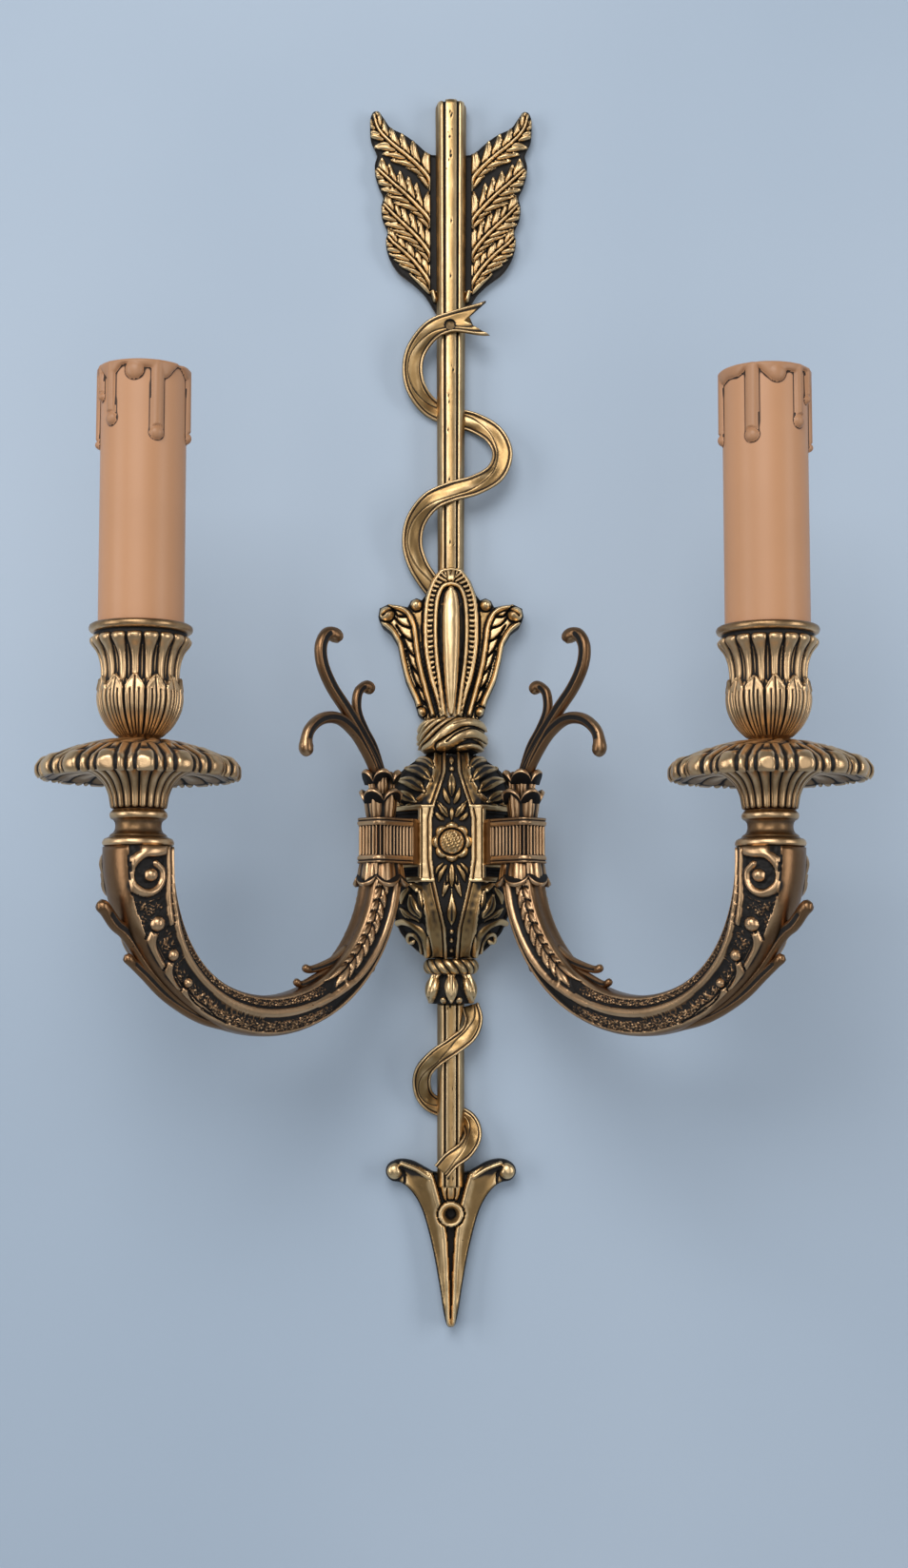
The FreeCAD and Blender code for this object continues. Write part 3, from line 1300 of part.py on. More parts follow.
def make_holder(name):
    """Lampholder: a screwed foot, two upright straps and a round head with the lamp's socket."""
    foot_radius = float(size("holder_foot_radius"))
    foot_tall = float(size("holder_foot_height"))
    head = float(size("holder_radius"))
    strap = float(size("holder_strap"))
    tall = float(HOLDER_TOP - HOLDER_FOOT)
    head_foot = tall - float(size("holder_head"))
    foot = skin([ring_at(level, [foot_radius] * TURNED_SIDES) for level in (0.0, foot_tall)])
    shape = foot.cut(nipple_bore(-1.0, foot_tall + 1.0))
    for sign in (1, -1):
        low_corner = Vector(sign * (foot_radius - 0.5 * strap) - 0.5 * strap, -2.4 * strap, 0.5 * foot_tall)
        shape = shape.fuse(Part.makeBox(strap, 4.8 * strap, head_foot - 0.5 * foot_tall + 1.0, low_corner))
    rings = [ring_at(level, [radius] * TURNED_SIDES)
             for level, radius in ((head_foot, 0.94 * head), (head_foot + 1.0, head), (tall, head))]
    floor = tall - float(size("lamp_depth"))
    socket = Part.makeCylinder(float(size("lamp_bore")), float(size("lamp_depth")) + 1.0, Vector(0, 0, floor))
    recess = [ring_at(level, [float(size("contact_recess"))] * 12)
              for level in (floor - float(size("contact_height")), floor + 1.0)]
    return solid(name, shape.fuse(skin(rings).cut(socket).cut(skin(recess))))


def make_contact(name):
    """The sprung centre contact on the floor of the lamp's socket."""
    radius = float(size("contact_radius"))
    tall = float(size("contact_height"))
    rings = [ring_at(0.0, [radius] * 8), ring_at(0.5 * tall, [radius] * 8), ring_at(tall, [0.5 * radius] * 8)]
    return solid(name, skin(rings))


# ---------------------------------------------------------------------------
# Inner pieces of the column
# ---------------------------------------------------------------------------
def make_tie_rod():
    """A threaded rod from the tulip down into the leaf collar."""
    low = LEAF_COLLAR_FOOT + size("rod_short")
    high = TULIP_FOOT + size("rod_bite")
    rod = turned("tie_rod", [
        (0.0, 0.0), (size("rod_radius"), 0.0), (size("rod_radius"), high - low), (0.0, high - low),
    ])
    place(rod, 0.0, -1.0 * size("rod_depth"), low)
    return rod


def make_tie_nuts():
    """Two nuts that clamp the body's top and foot from inside, one node."""
    radius = float(size("tie_nut_flats")) / math.sqrt(3.0)
    height = float(size("tie_nut_height"))
    wall = float(size("body_wall"))
    prism = skin([ring_at(0.0, [radius] * 6), ring_at(height, [radius] * 6)])
    nut = prism.cut(flats_bore(TAPPED, -1.0, height + 1.0))
    depth = -float(size("rod_depth"))
    upper = nut.translated(Vector(0, depth, float(size("body_top")) - wall - height))
    lift = float(size("tag_thick"))
    lower = nut.translated(Vector(0, depth, float(size("body_foot")) + wall + lift))
    return solid("tie_nuts", Part.makeCompound([upper, lower]))


def make_earth_tag():
    """A ring terminal under the lower nut, with its wire tongue turned up."""
    radius = float(size("tag_radius"))
    thick = float(size("tag_thick"))
    level = float(size("body_foot") + size("body_wall"))
    depth = -float(size("rod_depth"))
    plate = [corner + Vector(0, depth, 0) for corner in ring_at(level, [radius] * 8, 0.5)]
    ring = skin([plate, [corner + Vector(0, 0, thick) for corner in plate]])
    tongue = Part.makeBox(3.0, thick, 7.0, Vector(-1.5, depth - radius, level))
    bore = flats_bore(size("rod_radius") + size("rod_play"), level - 1.0, level + 2.0 * thick + 1.0, -depth)
    return solid("earth_tag", ring.fuse(tongue).cut(bore))


def make_terminal_block():
    """A two-way block against the inside of the front wall, with wire holes and screw wells."""
    body = new_body("terminal_block")
    half = size("block_half")
    tall = size("block_height")
    deep = size("block_depth")
    outline = draw(body, "block_outline", "XZ_Plane", [
        (-1.0 * half, 0.0), (half, 0.0), (half, tall), (-1.0 * half, tall),
    ])
    extrude_feature(body, outline, deep)
    for number, sign in enumerate((1.0, -1.0)):
        left, right = sign * half * 0.5 - 1.3, sign * half * 0.5 + 1.3
        wire = draw(body, "wire_way%d" % number, "XY_Plane", [
            (left, -0.5 * deep - 1.3), (right, -0.5 * deep - 1.3),
            (right, -0.5 * deep + 1.3), (left, -0.5 * deep + 1.3),
        ])
        extrude_feature(body, wire, tall, "PartDesign::Pocket", reverse=True)
        for order, level in enumerate((0.25 * tall, 0.75 * tall)):
            well = draw(body, "well%d_%d" % (number, order), "XZ_Plane", [
                (left, level - 1.3), (right, level - 1.3), (right, level + 1.3), (left, level + 1.3),
            ])
            extrude_feature(body, well, 0.4 * deep, "PartDesign::Pocket", reverse=True)
    inner = size("body_depth") - size("body_wall") - deep
    middle = 0.5 * (size("shoulder") + size("prism_foot")) - 0.5 * tall
    place(body, 0.0, -1.0 * inner, middle)
    return body


# ---------------------------------------------------------------------------
# The whole light
# ---------------------------------------------------------------------------
def world_shape(local, side):
    """A shape drawn in an arm's plane, moved to where that arm stands."""
    moved = local.copy()
    moved.Placement = Placement(
        facet(side * ROOT_X, -1.0 * ROOT_Y, 0), Rotation(Vector(0, 0, 1), arm_turn(side)))
    return moved


def build_column():
    """Everything that hangs on the tie rod, and what stands on the wall in line with it."""
    blank = make_tulip()
    parts = [make_upper_ribbon(blank.Shape), finish_tulip(blank), make_upper_shaft()]
    discard(blank)
    parts.append(make_vane("fletching_right", 1.0))
    parts.append(make_vane("fletching_left", -1.0))
    parts.append(make_knot())
    cutters = []
    for side in (1.0, -1.0):
        for shank, _ in socket_screws(0.3):
            cutters.append(world_shape(shank, side))
    parts.append(make_wall_body(cutters))
    parts.append(make_rosette())
    parts.append(make_rope_ring())
    leaf_collar = make_leaf_collar()
    lower_shaft = make_lower_shaft()
    arrowhead = make_arrowhead()
    doc.recompute()
    lower_ribbon = make_lower_ribbon([arrowhead.Shape, leaf_collar.Shape, lower_shaft.Shape])
    parts += [leaf_collar, lower_ribbon, lower_shaft, arrowhead, make_tie_rod(), make_tie_nuts()]
    parts += [make_earth_tag(), make_terminal_block()]
    return parts


def build_side(word, side, blank_arm, fat_arm):
    """One arm with its candle."""
    x, y = candle_seat(side)
    parts = [make_arm(word + "_arm", side, blank_arm), make_socket(word + "_arm_socket", side)]
    leaves = make_upper_leaves(word + "_upper_leaves", side)
    parts.append(leaves)
    own_leaves = leaves.Shape.copy()
    own_leaves.Placement = Placement()
    parts.append(make_tendrils(word + "_tendril_spray", side, own_leaves))
    parts.append(make_lower_leaves(word + "_lower_leaves", side, fat_arm))
    stack = [
        (make_collar(word + "_collar"), COLLAR_FOOT),
        (make_dish(word + "_drip_dish"), DISH_FOOT),
        (make_cup(word + "_candle_cup"), CUP_FOOT),
        (make_sleeve(word + "_candle_sleeve", side), SLEEVE_FOOT),
        (make_nipple(word + "_nipple"), COLLAR_FOOT - size("nipple_bite")),
        (make_holder(word + "_lampholder"), HOLDER_FOOT),
        (make_contact(word + "_lamp_contact"), HOLDER_TOP - size("lamp_depth") - size("contact_height")),
    ]
    for thing, height in stack:
        place(thing, x, y, height)
        parts.append(thing)
    return parts


def build_arm_screws():
    """Four alike screws, two in each socket."""
    pieces = []
    for side in (1.0, -1.0):
        for shank, head in socket_screws():
            pieces.append(world_shape(shank.fuse(head), side))
    return solid("arm_screws", Part.makeCompound(pieces))


def main():
    parts = build_column()
    blank_arm = arm_shape()
    fat_arm = arm_shape(float(size("leaf_air")))
    for word, side in (("right", 1.0), ("left", -1.0)):
        parts += build_side(word, side, blank_arm, fat_arm)
    parts.append(build_arm_screws())
    doc.recompute()
    faults = [thing.Name for thing in doc.Objects if "Invalid" in thing.State or "Error" in thing.State]
    for part in parts:
        if part.Shape.isNull() or not part.Shape.isValid() or not part.Shape.Solids:
            faults.append(part.Label + " shape")
    if faults:
        raise RuntimeError("failed: " + ", ".join(faults))
    os.makedirs("parts", exist_ok=True)
    for part in parts:
        part.Shape.exportStep("parts/%s.step" % part.Label)
        print("%-22s %9.1f mm3  solids %d" % (part.Label, part.Shape.Volume, len(part.Shape.Solids)))


main()
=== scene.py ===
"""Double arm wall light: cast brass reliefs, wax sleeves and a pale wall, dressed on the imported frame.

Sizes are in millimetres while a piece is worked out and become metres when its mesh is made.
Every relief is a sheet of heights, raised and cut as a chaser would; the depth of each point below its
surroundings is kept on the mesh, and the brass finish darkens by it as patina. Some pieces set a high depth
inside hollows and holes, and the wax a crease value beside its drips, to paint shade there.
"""
import math

import bmesh
import bpy
import numpy as np
from bpy.props import FloatProperty, FloatVectorProperty, PointerProperty
from bpy.types import Operator, Panel, PropertyGroup
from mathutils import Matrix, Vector


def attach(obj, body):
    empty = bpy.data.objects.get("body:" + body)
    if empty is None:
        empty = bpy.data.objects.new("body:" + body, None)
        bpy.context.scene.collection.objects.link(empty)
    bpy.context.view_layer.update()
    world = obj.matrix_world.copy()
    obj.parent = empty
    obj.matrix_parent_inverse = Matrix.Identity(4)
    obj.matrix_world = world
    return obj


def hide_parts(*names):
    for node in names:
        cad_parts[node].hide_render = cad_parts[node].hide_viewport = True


bl_info = {
    "name": "Double arm wall light",
    "version": (1, 0, 0),
    "blender": (4, 5, 0),
    "location": "3D View > Sidebar > Wall Light",
    "description": "Cast brass wall light with two candle arms, built piece by piece on its frame",
    "category": "Object",
}

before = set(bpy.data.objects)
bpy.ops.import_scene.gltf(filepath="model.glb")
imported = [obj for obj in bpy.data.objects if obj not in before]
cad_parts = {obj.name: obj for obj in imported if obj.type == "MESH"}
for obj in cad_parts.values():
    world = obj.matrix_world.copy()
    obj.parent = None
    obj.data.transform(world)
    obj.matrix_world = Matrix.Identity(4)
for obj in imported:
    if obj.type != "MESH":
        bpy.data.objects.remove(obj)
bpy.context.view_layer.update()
MM = 0.001
FRAME_BODY = "light_frame"


# ---------------------------------------------------------------------------
# Curves and sheets of heights
# ---------------------------------------------------------------------------
def spline(points, count):
    """Evenly spaced points on a smooth curve through the given ones."""
    knots = np.asarray(points, float)
    ends = np.vstack([2 * knots[0] - knots[1], knots, 2 * knots[-1] - knots[-2]])
    share = np.linspace(0, 1, 10, endpoint=False)[:, None]
    runs = []
    for index in range(len(knots) - 1):
        a, b, c, d = ends[index:index + 4]
        runs.append(0.5 * (2 * b + (c - a) * share + (2 * a - 5 * b + 4 * c - d) * share ** 2
                           + (3 * b - a - 3 * c + d) * share ** 3))
    line = np.vstack(runs + [knots[-1:]])
    travelled = np.r_[0, np.cumsum(np.linalg.norm(np.diff(line, axis=0), axis=1))]
    wanted = np.linspace(0, travelled[-1], count)
    return np.stack([np.interp(wanted, travelled, line[:, axis]) for axis in range(line.shape[1])], 1)


def along(x, z, line):
    """Share along a line of points, signed distance from it, and plain distance, for each x and z."""
    lengths = np.linalg.norm(np.diff(line, axis=0), axis=1)
    starts = np.r_[0, np.cumsum(lengths)]
    best = np.full(x.shape, 1e9)
    share = np.zeros(x.shape)
    side = np.zeros(x.shape)
    for index, length in enumerate(lengths):
        if length < 1e-9:
            continue
        ax, az = line[index]
        dx, dz = (line[index + 1] - line[index]) / length
        run = np.clip((x - ax) * dx + (z - az) * dz, 0, length)
        px, pz = x - ax - run * dx, z - az - run * dz
        gap = px * px + pz * pz
        closer = gap < best
        best = np.where(closer, gap, best)
        share = np.where(closer, (starts[index] + run) / starts[-1], share)
        side = np.where(closer, np.sign(dx * pz - dz * px), side)
    distance = np.sqrt(best)
    return share, side * distance, distance


def ease(value, low, high):
    """Smooth step from 0 at low to 1 at high."""
    share = np.clip((value - low) / (high - low), 0, 1)
    return share * share * (3 - 2 * share)


def dome(share):
    """Quarter round: 1 at 0, falling to 0 at 1."""
    return np.sqrt(np.clip(1 - share * share, 0, 1))


def blur(values, cells, wrap):
    """Box blur over rows and columns; wrap says which of them close on themselves."""
    for axis in (0, 1):
        reach = min(cells, values.shape[axis] - 1)
        pad = [(0, 0), (0, 0)]
        pad[axis] = (reach, reach)
        padded = np.pad(values, pad, mode="wrap" if wrap[axis] else "edge")
        sums = np.cumsum(padded, axis=axis)
        sums = np.concatenate([np.zeros_like(np.take(sums, [0], axis=axis)), sums], axis=axis)
        count = values.shape[axis]
        upper = np.take(sums, np.arange(count) + 2 * reach + 1, axis=axis)
        lower = np.take(sums, np.arange(count), axis=axis)
        values = (upper - lower) / (2 * reach + 1)
    return values


def recess(height, near, wide, wrap=(False, False), weight=None):
    """Depth of each point below its surroundings in mm; negative on ridges."""
    weight = np.ones_like(height) if weight is None else weight
    depth = np.zeros_like(height)
    for cells, share in ((near, 0.6), (wide, 0.6)):
        mean = blur(blur(height * weight, cells, wrap), cells, wrap)
        mean = mean / np.maximum(blur(blur(weight, cells, wrap), cells, wrap), 1e-3)
        depth += share * (mean - height)
    return depth


def ripple(x, z, scale, seed):
    """Gentle unevenness of a casting, between -1 and 1."""
    chance = np.random.default_rng(seed)
    total = np.zeros_like(x)
    for _ in range(6):
        angle, phase, pace = chance.uniform(0, math.tau), chance.uniform(0, math.tau), chance.uniform(0.6,
                1.7)
        total += np.sin((x * math.cos(angle) + z * math.sin(angle)) * pace * math.tau / scale + phase)
    return total / 6


class Carving:
    """Heights in mm over a sheet of points."""

    def __init__(self, x, z, ground=0.0):
        self.x = x
        self.z = z
        self.height = np.zeros_like(x) + ground
        self.patina_and_hole_shade = np.zeros_like(x)

    def near(self, line, reach):
        low = line.min(axis=0) - reach
        high = line.max(axis=0) + reach
        return (self.x > low[0]) & (self.x < high[0]) & (self.z > low[1]) & (self.z < high[1])

    def lay(self, spot, rise, inside, moat_zone, floor):
        """Put a raised form down: its moat is sunk to the floor, then it stands up from there."""
        level = self.height[spot]
        level = np.where(moat_zone, np.minimum(level, floor), level)
        self.height[spot] = np.where(inside, np.maximum(level, rise), level)

    def ridge(self, points, half, height, base=0.0, tip=1.0, moat=0.0, count=26):
        """A round rib; tip is the share of its width left at the far end."""
        line = spline(points, count)
        spot = self.near(line, half * max(1, tip) + moat + 0.5)
        share, _, distance = along(self.x[spot], self.z[spot], line)
        width = half * (1 + (tip - 1) * share)
        part = distance / width
        rise = base + height * (0.4 + 0.6
                                * width / half) * dome(part) if tip < 1 else base + height * dome(part)
        self.lay(spot, rise, part < 1, distance < width + moat, base)

    def groove(self, points, half, depth, count=26):
        """A round-bottomed cut."""
        line = spline(points, count)
        spot = self.near(line, half + 0.5)
        distance = along(self.x[spot], self.z[spot], line)[2]
        self.height[spot] -= depth * dome(distance / half)

    def ball(self, x, z, radius, height, base=0.0, moat=0.0):
        """A round boss."""
        distance = np.hypot(self.x - x, self.z - z)
        spot = distance < radius + moat + 0.2
        part = distance[spot] / radius
        self.lay(spot, base + height * dome(part), part < 1, distance[spot] < radius + moat, base)

    def leaf(self, points, half, height, base=0.0, peak=0.42, vein=0.35, moat=0.4, lobes=0, ribs=0, foot=0.0,
             blunt=0.75):
        """A leaf on a curved spine, with a centre vein and, when asked, a lobed edge and side ribs."""
        line = spline(points, 22)
        spot = self.near(line, half + moat + 0.5)
        share, side, distance = along(self.x[spot], self.z[spot], line)
        bend = math.log(0.5) / math.log(peak)
        width = np.sin(math.pi * np.clip(share, 1e-4, 1) ** bend) ** blunt
        width = np.maximum(width, foot * (1 - share / peak))
        if lobes:
            saw = (share * lobes) % 1.0
            width = width * (1 - 0.30 * saw ** 2.2 * (share < 0.94))
        width = half * width + 1e-3
        part = distance / width
        rise = height * dome(part) ** 0.5 * (0.62 + 0.38 * np.sin(math.pi * np.clip(share, 0.08, 0.92)))
        if vein > 0:
            rise = rise - vein * np.exp(-(side / (0.16 * half + 0.12)) ** 2) * (share < 0.9) * (height > 0)
        elif vein < 0:
            rise = rise - vein * np.exp(-(side / (0.16 * half + 0.12)) ** 2)
        if ribs:
            wave = np.cos(math.tau * (ribs * share - 0.9 * part))
            rise = rise - 0.22 * height * np.clip(wave, 0, 1) ** 2 * (part > 0.15)
        self.lay(spot, base + rise, part < 1, distance < width + moat, base)

    def darken(self, amount, where):
        """Patina, or painted shade in a screw hole, that stays whatever the depth."""
        self.patina_and_hole_shade = np.maximum(self.patina_and_hole_shade, amount * where)


# ---------------------------------------------------------------------------
# Meshes
# ---------------------------------------------------------------------------
def make_object(name, points, faces, depth):
    """A smooth mesh object with its depth attribute; points in mm."""
    mesh = bpy.data.meshes.new(name)
    mesh.from_pydata((np.asarray(points) * MM).tolist(), [], faces)
    mesh.validate()
    mesh.polygons.foreach_set("use_smooth", [True] * len(mesh.polygons))
    kept = mesh.attributes.new("depth", "FLOAT", "POINT")
    kept.data.foreach_set("value", np.clip(np.asarray(depth, np.float32), -1.5, 1.5))
    mesh.update()
    piece = bpy.data.objects.new(name, mesh)
    bpy.context.scene.collection.objects.link(piece)
    return piece


def grid_faces(rows, columns, wrap_rows, wrap_columns, start=0):
    """Four-sided faces between the points of a sheet."""
    row = np.arange(rows if wrap_rows else rows - 1)[:, None]
    column = np.arange(columns if wrap_columns else columns - 1)[None, :]
    next_row, next_column = (row + 1) % rows, (column + 1) % columns
    quads = np.stack([row * columns + column, row * columns + next_column,
                      next_row * columns + next_column, next_row * columns + column], -1)
    return (quads.reshape(-1, 4) + start).tolist()


def volume_of(points, faces):
    """Signed volume, to tell whether the faces look outwards."""
    total = 0.0
    quads = np.array([face for face in faces if len(face) == 4])
    if len(quads):
        a, b, c, d = (points[quads[:, corner]] for corner in range(4))
        total += np.einsum("ij,ij->i", a, np.cross(b, c)).sum() + np.einsum("ij,ij->i", a,
                np.cross(c, d)).sum()
    for face in faces:
        if len(face) != 4:
            hub = points[face].mean(axis=0)
            for first, second in zip(face, face[1:] + face[:1]):
                total += hub @ np.cross(points[first], points[second])
    return total


def tube(name, points, depth, wrap_rows=False, caps=True):
    """A sheet closed round its columns: a bar, a ring or a turned piece."""
    rows, columns = points.shape[:2]
    flat = points.reshape(-1, 3)
    faces = grid_faces(rows, columns, wrap_rows, True)
    if caps and not wrap_rows:
        faces.append(list(range(columns))[::-1])
        faces.append(list(range((rows - 1) * columns, rows * columns)))
    if volume_of(flat, faces) < 0:
        faces = [face[::-1] for face in faces]
    return make_object(name, flat, faces, depth.reshape(-1))


def push_out(points, height, wrap=(False, True)):
    """Move each point of a sheet along its outward normal by its height."""
    def slope(axis):
        pad = [(0, 0), (0, 0), (0, 0)]
        pad[axis] = (1, 1)
        padded = np.pad(points, pad, mode="wrap" if wrap[axis] else "edge")
        count = points.shape[axis]
        return np.take(padded, np.arange(count) + 2, axis=axis) - np.take(padded, np.arange(count),
                axis=axis)
    normal = np.cross(slope(1), slope(0))
    normal /= np.maximum(np.linalg.norm(normal, axis=2, keepdims=True), 1e-9)
    if (normal * (points - points.reshape(-1, 3).mean(axis=0))).sum() < 0:
        normal = -normal
    return points + normal * height[..., None]


def inside_of(x, z, ring):
    """Distance inside a closed outline; negative outside."""
    closed = np.vstack([ring, ring[:1]])
    distance = along(x, z, closed)[2]
    within = np.zeros(x.shape, bool)
    for (ax, az), (bx, bz) in zip(closed, closed[1:]):
        if abs(bz - az) < 1e-12:
            continue
        crosses = (az > z) != (bz > z)
        within ^= crosses & (x < (bx - ax) * (z - az) / (bz - az) + ax)
    return np.where(within, distance, -distance)


def plate(name, outline, pitch, carve, back, edge, rolled=1.2):
    """A casting that lies on the wall: carved front, side walls and a flat back.

    carve(carving, inside) raises the heights; edge is the height left at the outline.
    """
    low = outline.min(axis=0) - 2 * pitch
    high = outline.max(axis=0) + 2 * pitch
    x, z = np.meshgrid(np.arange(low[0], high[0], pitch), np.arange(low[1], high[1], pitch))
    inside = inside_of(x, z, outline)
    keep = inside > -0.45 * pitch
    cells = keep[:-1, :-1] & keep[1:, :-1] & keep[:-1, 1:] & keep[1:, 1:]
    used = np.zeros(x.shape, int)
    for rows, columns in ((slice(None, -1), slice(None, -1)), (slice(1, None), slice(None, -1)),
                          (slice(None, -1), slice(1, None)), (slice(1, None), slice(1, None))):
        used[rows, columns] += cells
    slope_z, slope_x = np.gradient(inside, pitch)
    steep = np.maximum(slope_x ** 2 + slope_z ** 2, 0.3)
    rim = (used > 0) & (used < 4)
    move = np.clip(inside, -pitch, pitch)
    x = np.where(rim, x - move * slope_x / steep, x)
    z = np.where(rim, z - move * slope_z / steep, z)
    inside = np.where(rim, 0, np.maximum(inside, 0))
    carving = Carving(x, z, edge)
    carve(carving, inside)
    roll = dome(1 - np.clip(inside / rolled, 0, 1))
    height = edge + (carving.height - edge) * (0.25 + 0.75 * roll)
    weight = (used > 0).astype(float)
    depth = recess(height, 2, 6, weight=weight) + carving.patina_and_hole_shade
    number = np.full(x.shape, -1)
    number[used > 0] = np.arange((used > 0).sum())
    front = np.stack([x, -height, z], -1)[used > 0]
    row, column = np.nonzero(cells)
    corners = [number[row, column], number[row, column + 1], number[row + 1, column + 1],
               number[row + 1, column]]
    quads = np.stack(corners, 1).tolist()
    directed = {(a, b) for quad in quads for a, b in zip(quad, quad[1:] + quad[:1])}
    border = {a: b for a, b in directed if (b, a) not in directed}
    behind = {}
    points = front.tolist()
    values = depth[used > 0].tolist()
    for index in sorted(border):
        behind[index] = len(points)
        points.append([front[index][0], -back, front[index][2]])
        values.append(0.1)
    walls = [[b, a, behind[a], behind[b]] for a, b in border.items()]
    faces = quads + walls
    waiting = set(border)
    while waiting:
        start = min(waiting)
        loop = []
        step = start
        while step in waiting:
            waiting.discard(step)
            loop.append(behind[step])
            step = border[step]
        if len(loop) > 2:
            faces.append(loop[::-1])
    return make_object(name, points, faces, values)


# ---------------------------------------------------------------------------
# Finishes
# ---------------------------------------------------------------------------
class Tone:
    """A shader value in an expression: + - and * add Math nodes."""

    def __init__(self, finish, socket):
        self.finish = finish
        self.socket = socket

    def join(self, operation, first, second):
        return self.finish.node("ShaderNodeMath", {"operation": operation}, {0: first, 1: second})

    def __add__(self, other):
        return self.join("ADD", self, other)

    def __radd__(self, other):
        return self.join("ADD", other, self)

    def __sub__(self, other):
        return self.join("SUBTRACT", self, other)

    def __rsub__(self, other):
        return self.join("SUBTRACT", other, self)

    def __mul__(self, other):
        return self.join("MULTIPLY", self, other)

    def __rmul__(self, other):
        return self.join("MULTIPLY", other, self)


# The Mix node's sockets when it blends colours.
MIX_FACTOR, MIX_LOW, MIX_HIGH, MIX_RESULT = 0, 6, 7, 2


class Finish:
    """One material, built from expressions."""

    def __init__(self, name):
        self.material = bpy.data.materials.new(name)
        self.material.use_nodes = True
        self.tree = self.material.node_tree
        self.tree.nodes.clear()
        self.surface = self.tree.nodes.new("ShaderNodeBsdfPrincipled")
        output = self.tree.nodes.new("ShaderNodeOutputMaterial")
        self.tree.links.new(self.surface.outputs[0], output.inputs["Surface"])

    def put(self, socket, value):
        if isinstance(value, Tone):
            self.tree.links.new(value.socket, socket)
        else:
            socket.default_value = value

    def node(self, kind, settings=None, values=None, result=0):
        """Any node: its settings first, then the values or links of its sockets."""
        made = self.tree.nodes.new(kind)
        for key, value in (settings or {}).items():
            setattr(made, key, value)
        for key, value in (values or {}).items():
            self.put(made.inputs[key], value)
        return Tone(self, made.outputs[result])

    def set(self, **values):
        """Sockets of the surface shader, with _ for a space."""
        for key, value in values.items():
            self.put(self.surface.inputs[key.replace("_", " ")], value)

    def step(self, value, low, high):
        """Smooth step from 0 at low to 1 at high."""
        return self.node("ShaderNodeMapRange", {"interpolation_type": "SMOOTHSTEP"},
                         {"Value": value, "From Min": low, "From Max": high})

    def blend(self, factor, low, high):
        """A colour between two colours."""
        sockets = {MIX_FACTOR: factor, MIX_LOW: low, MIX_HIGH: high}
        return self.node("ShaderNodeMix", {"data_type": "RGBA"}, sockets, MIX_RESULT)

    def place(self):
        return self.node("ShaderNodeTexCoord", result="Object")

    def noise(self, scale, detail=3.0, rough=0.55, stretch=None):
        where = self.place()
        if stretch:
            where = self.node("ShaderNodeMapping", None, {"Vector": where, "Scale": stretch})
        return self.node("ShaderNodeTexNoise", None,
                         {"Vector": where, "Scale": scale, "Detail": detail, "Roughness": rough})

    def cells(self, scale, chance=1.0):
        return self.node("ShaderNodeTexVoronoi", None,
                         {"Vector": self.place(), "Scale": scale, "Randomness": chance})

    def bump(self, height, strength, distance):
        return self.node("ShaderNodeBump", None,
                         {"Strength": strength, "Distance": distance, "Height": height})


def shade(colour, share):
    """The same colour, darker."""
    return [channel * share for channel in colour[:3]] + [1]


def brass(name, bright, middle, dark, patina_start=0.035):
    """Cast brass, rubbed bright on its ridges and near black with patina in its recesses; the same darkening
    paints shade inside hollows and holes.
    """
    made = Finish(name)
    depth = made.node("ShaderNodeAttribute", {"attribute_name": "depth"}, result="Fac")
    cloud = made.noise(90.0, 4.0, 0.6)
    fine = made.noise(900.0, 3.0, 0.6)
    pits = made.step(made.cells(420.0), 0.16, 0.05)
    rare = made.step(made.noise(160.0, 2.0, 0.5), 0.60, 0.68)
    patina_shade_and_wear_level = depth + (cloud - 0.5) * 0.10 + (fine - 0.5) * 0.06
    # patina in the recesses, and painted shade where a piece sets a high depth inside a hollow or hole
    patina_and_shade = made.step(patina_shade_and_wear_level, patina_start, patina_start + 0.20)
    worn = made.step(patina_shade_and_wear_level, -0.02, -0.22)
    colour = made.blend(worn, middle, bright)
    colour = made.blend(made.step(cloud, 0.35, 0.75) * 0.35, colour, shade(middle, 0.72))
    colour = made.blend(pits * rare * 0.8, colour, dark)
    colour = made.blend(patina_and_shade, colour, dark)
    made.set(Base_Color=colour, Metallic=1.0 - patina_and_shade * 0.55,
             Roughness=0.27 + fine * 0.10 + cloud * 0.06 + patina_and_shade * 0.26,
             Normal=made.bump(fine * 0.5 + cloud - pits * rare * 1.4, 0.35, 0.00025))
    return made.material


def wax(name, colour, dark):
    """Satin moulded sleeve with darker runs of wax, and painted shade in the creases beside the runs and
    inside the bore.
    """
    made = Finish(name)
    depth = made.node("ShaderNodeAttribute", {"attribute_name": "depth"}, result="Fac")
    cloud = made.noise(45.0, 3.0, 0.5)
    speck = made.noise(700.0, 2.0, 0.5)
    raised = made.step(depth, -0.03, -0.5)
    # painted shade: the creases beside the drips and the bore take the dark crease colour
    crease_shade = made.step(depth + (cloud - 0.5) * 0.05, 0.14, 0.42)
    run = shade(colour, 0.74)
    tint = made.blend(made.step(cloud, 0.3, 0.7) * 0.25, colour, shade(colour, 0.86))
    tint = made.blend(raised * 0.8, tint, run)
    tint = made.blend(crease_shade, tint, dark)
    made.set(Base_Color=tint, Roughness=0.36 + cloud * 0.10 + crease_shade * 0.2, Specular_IOR_Level=0.45,
             Normal=made.bump(cloud + speck * 0.25, 0.18, 0.0004))
    return made.material


def plain_metal(name, colour, rough, metallic=1.0):
    """Machined or pressed metal with fine handling marks."""
    made = Finish(name)
    cloud = made.noise(120.0, 4.0, 0.6)
    fine = made.noise(1500.0, 2.0, 0.6, (1, 1, 8))
    tint = made.blend(made.step(cloud, 0.4, 0.8) * 0.5, colour, shade(colour, 0.6))
    made.set(Base_Color=tint, Metallic=metallic, Roughness=rough + fine * 0.12 + cloud * 0.08,
             Normal=made.bump(fine, 0.12, 0.0002))
    return made.material


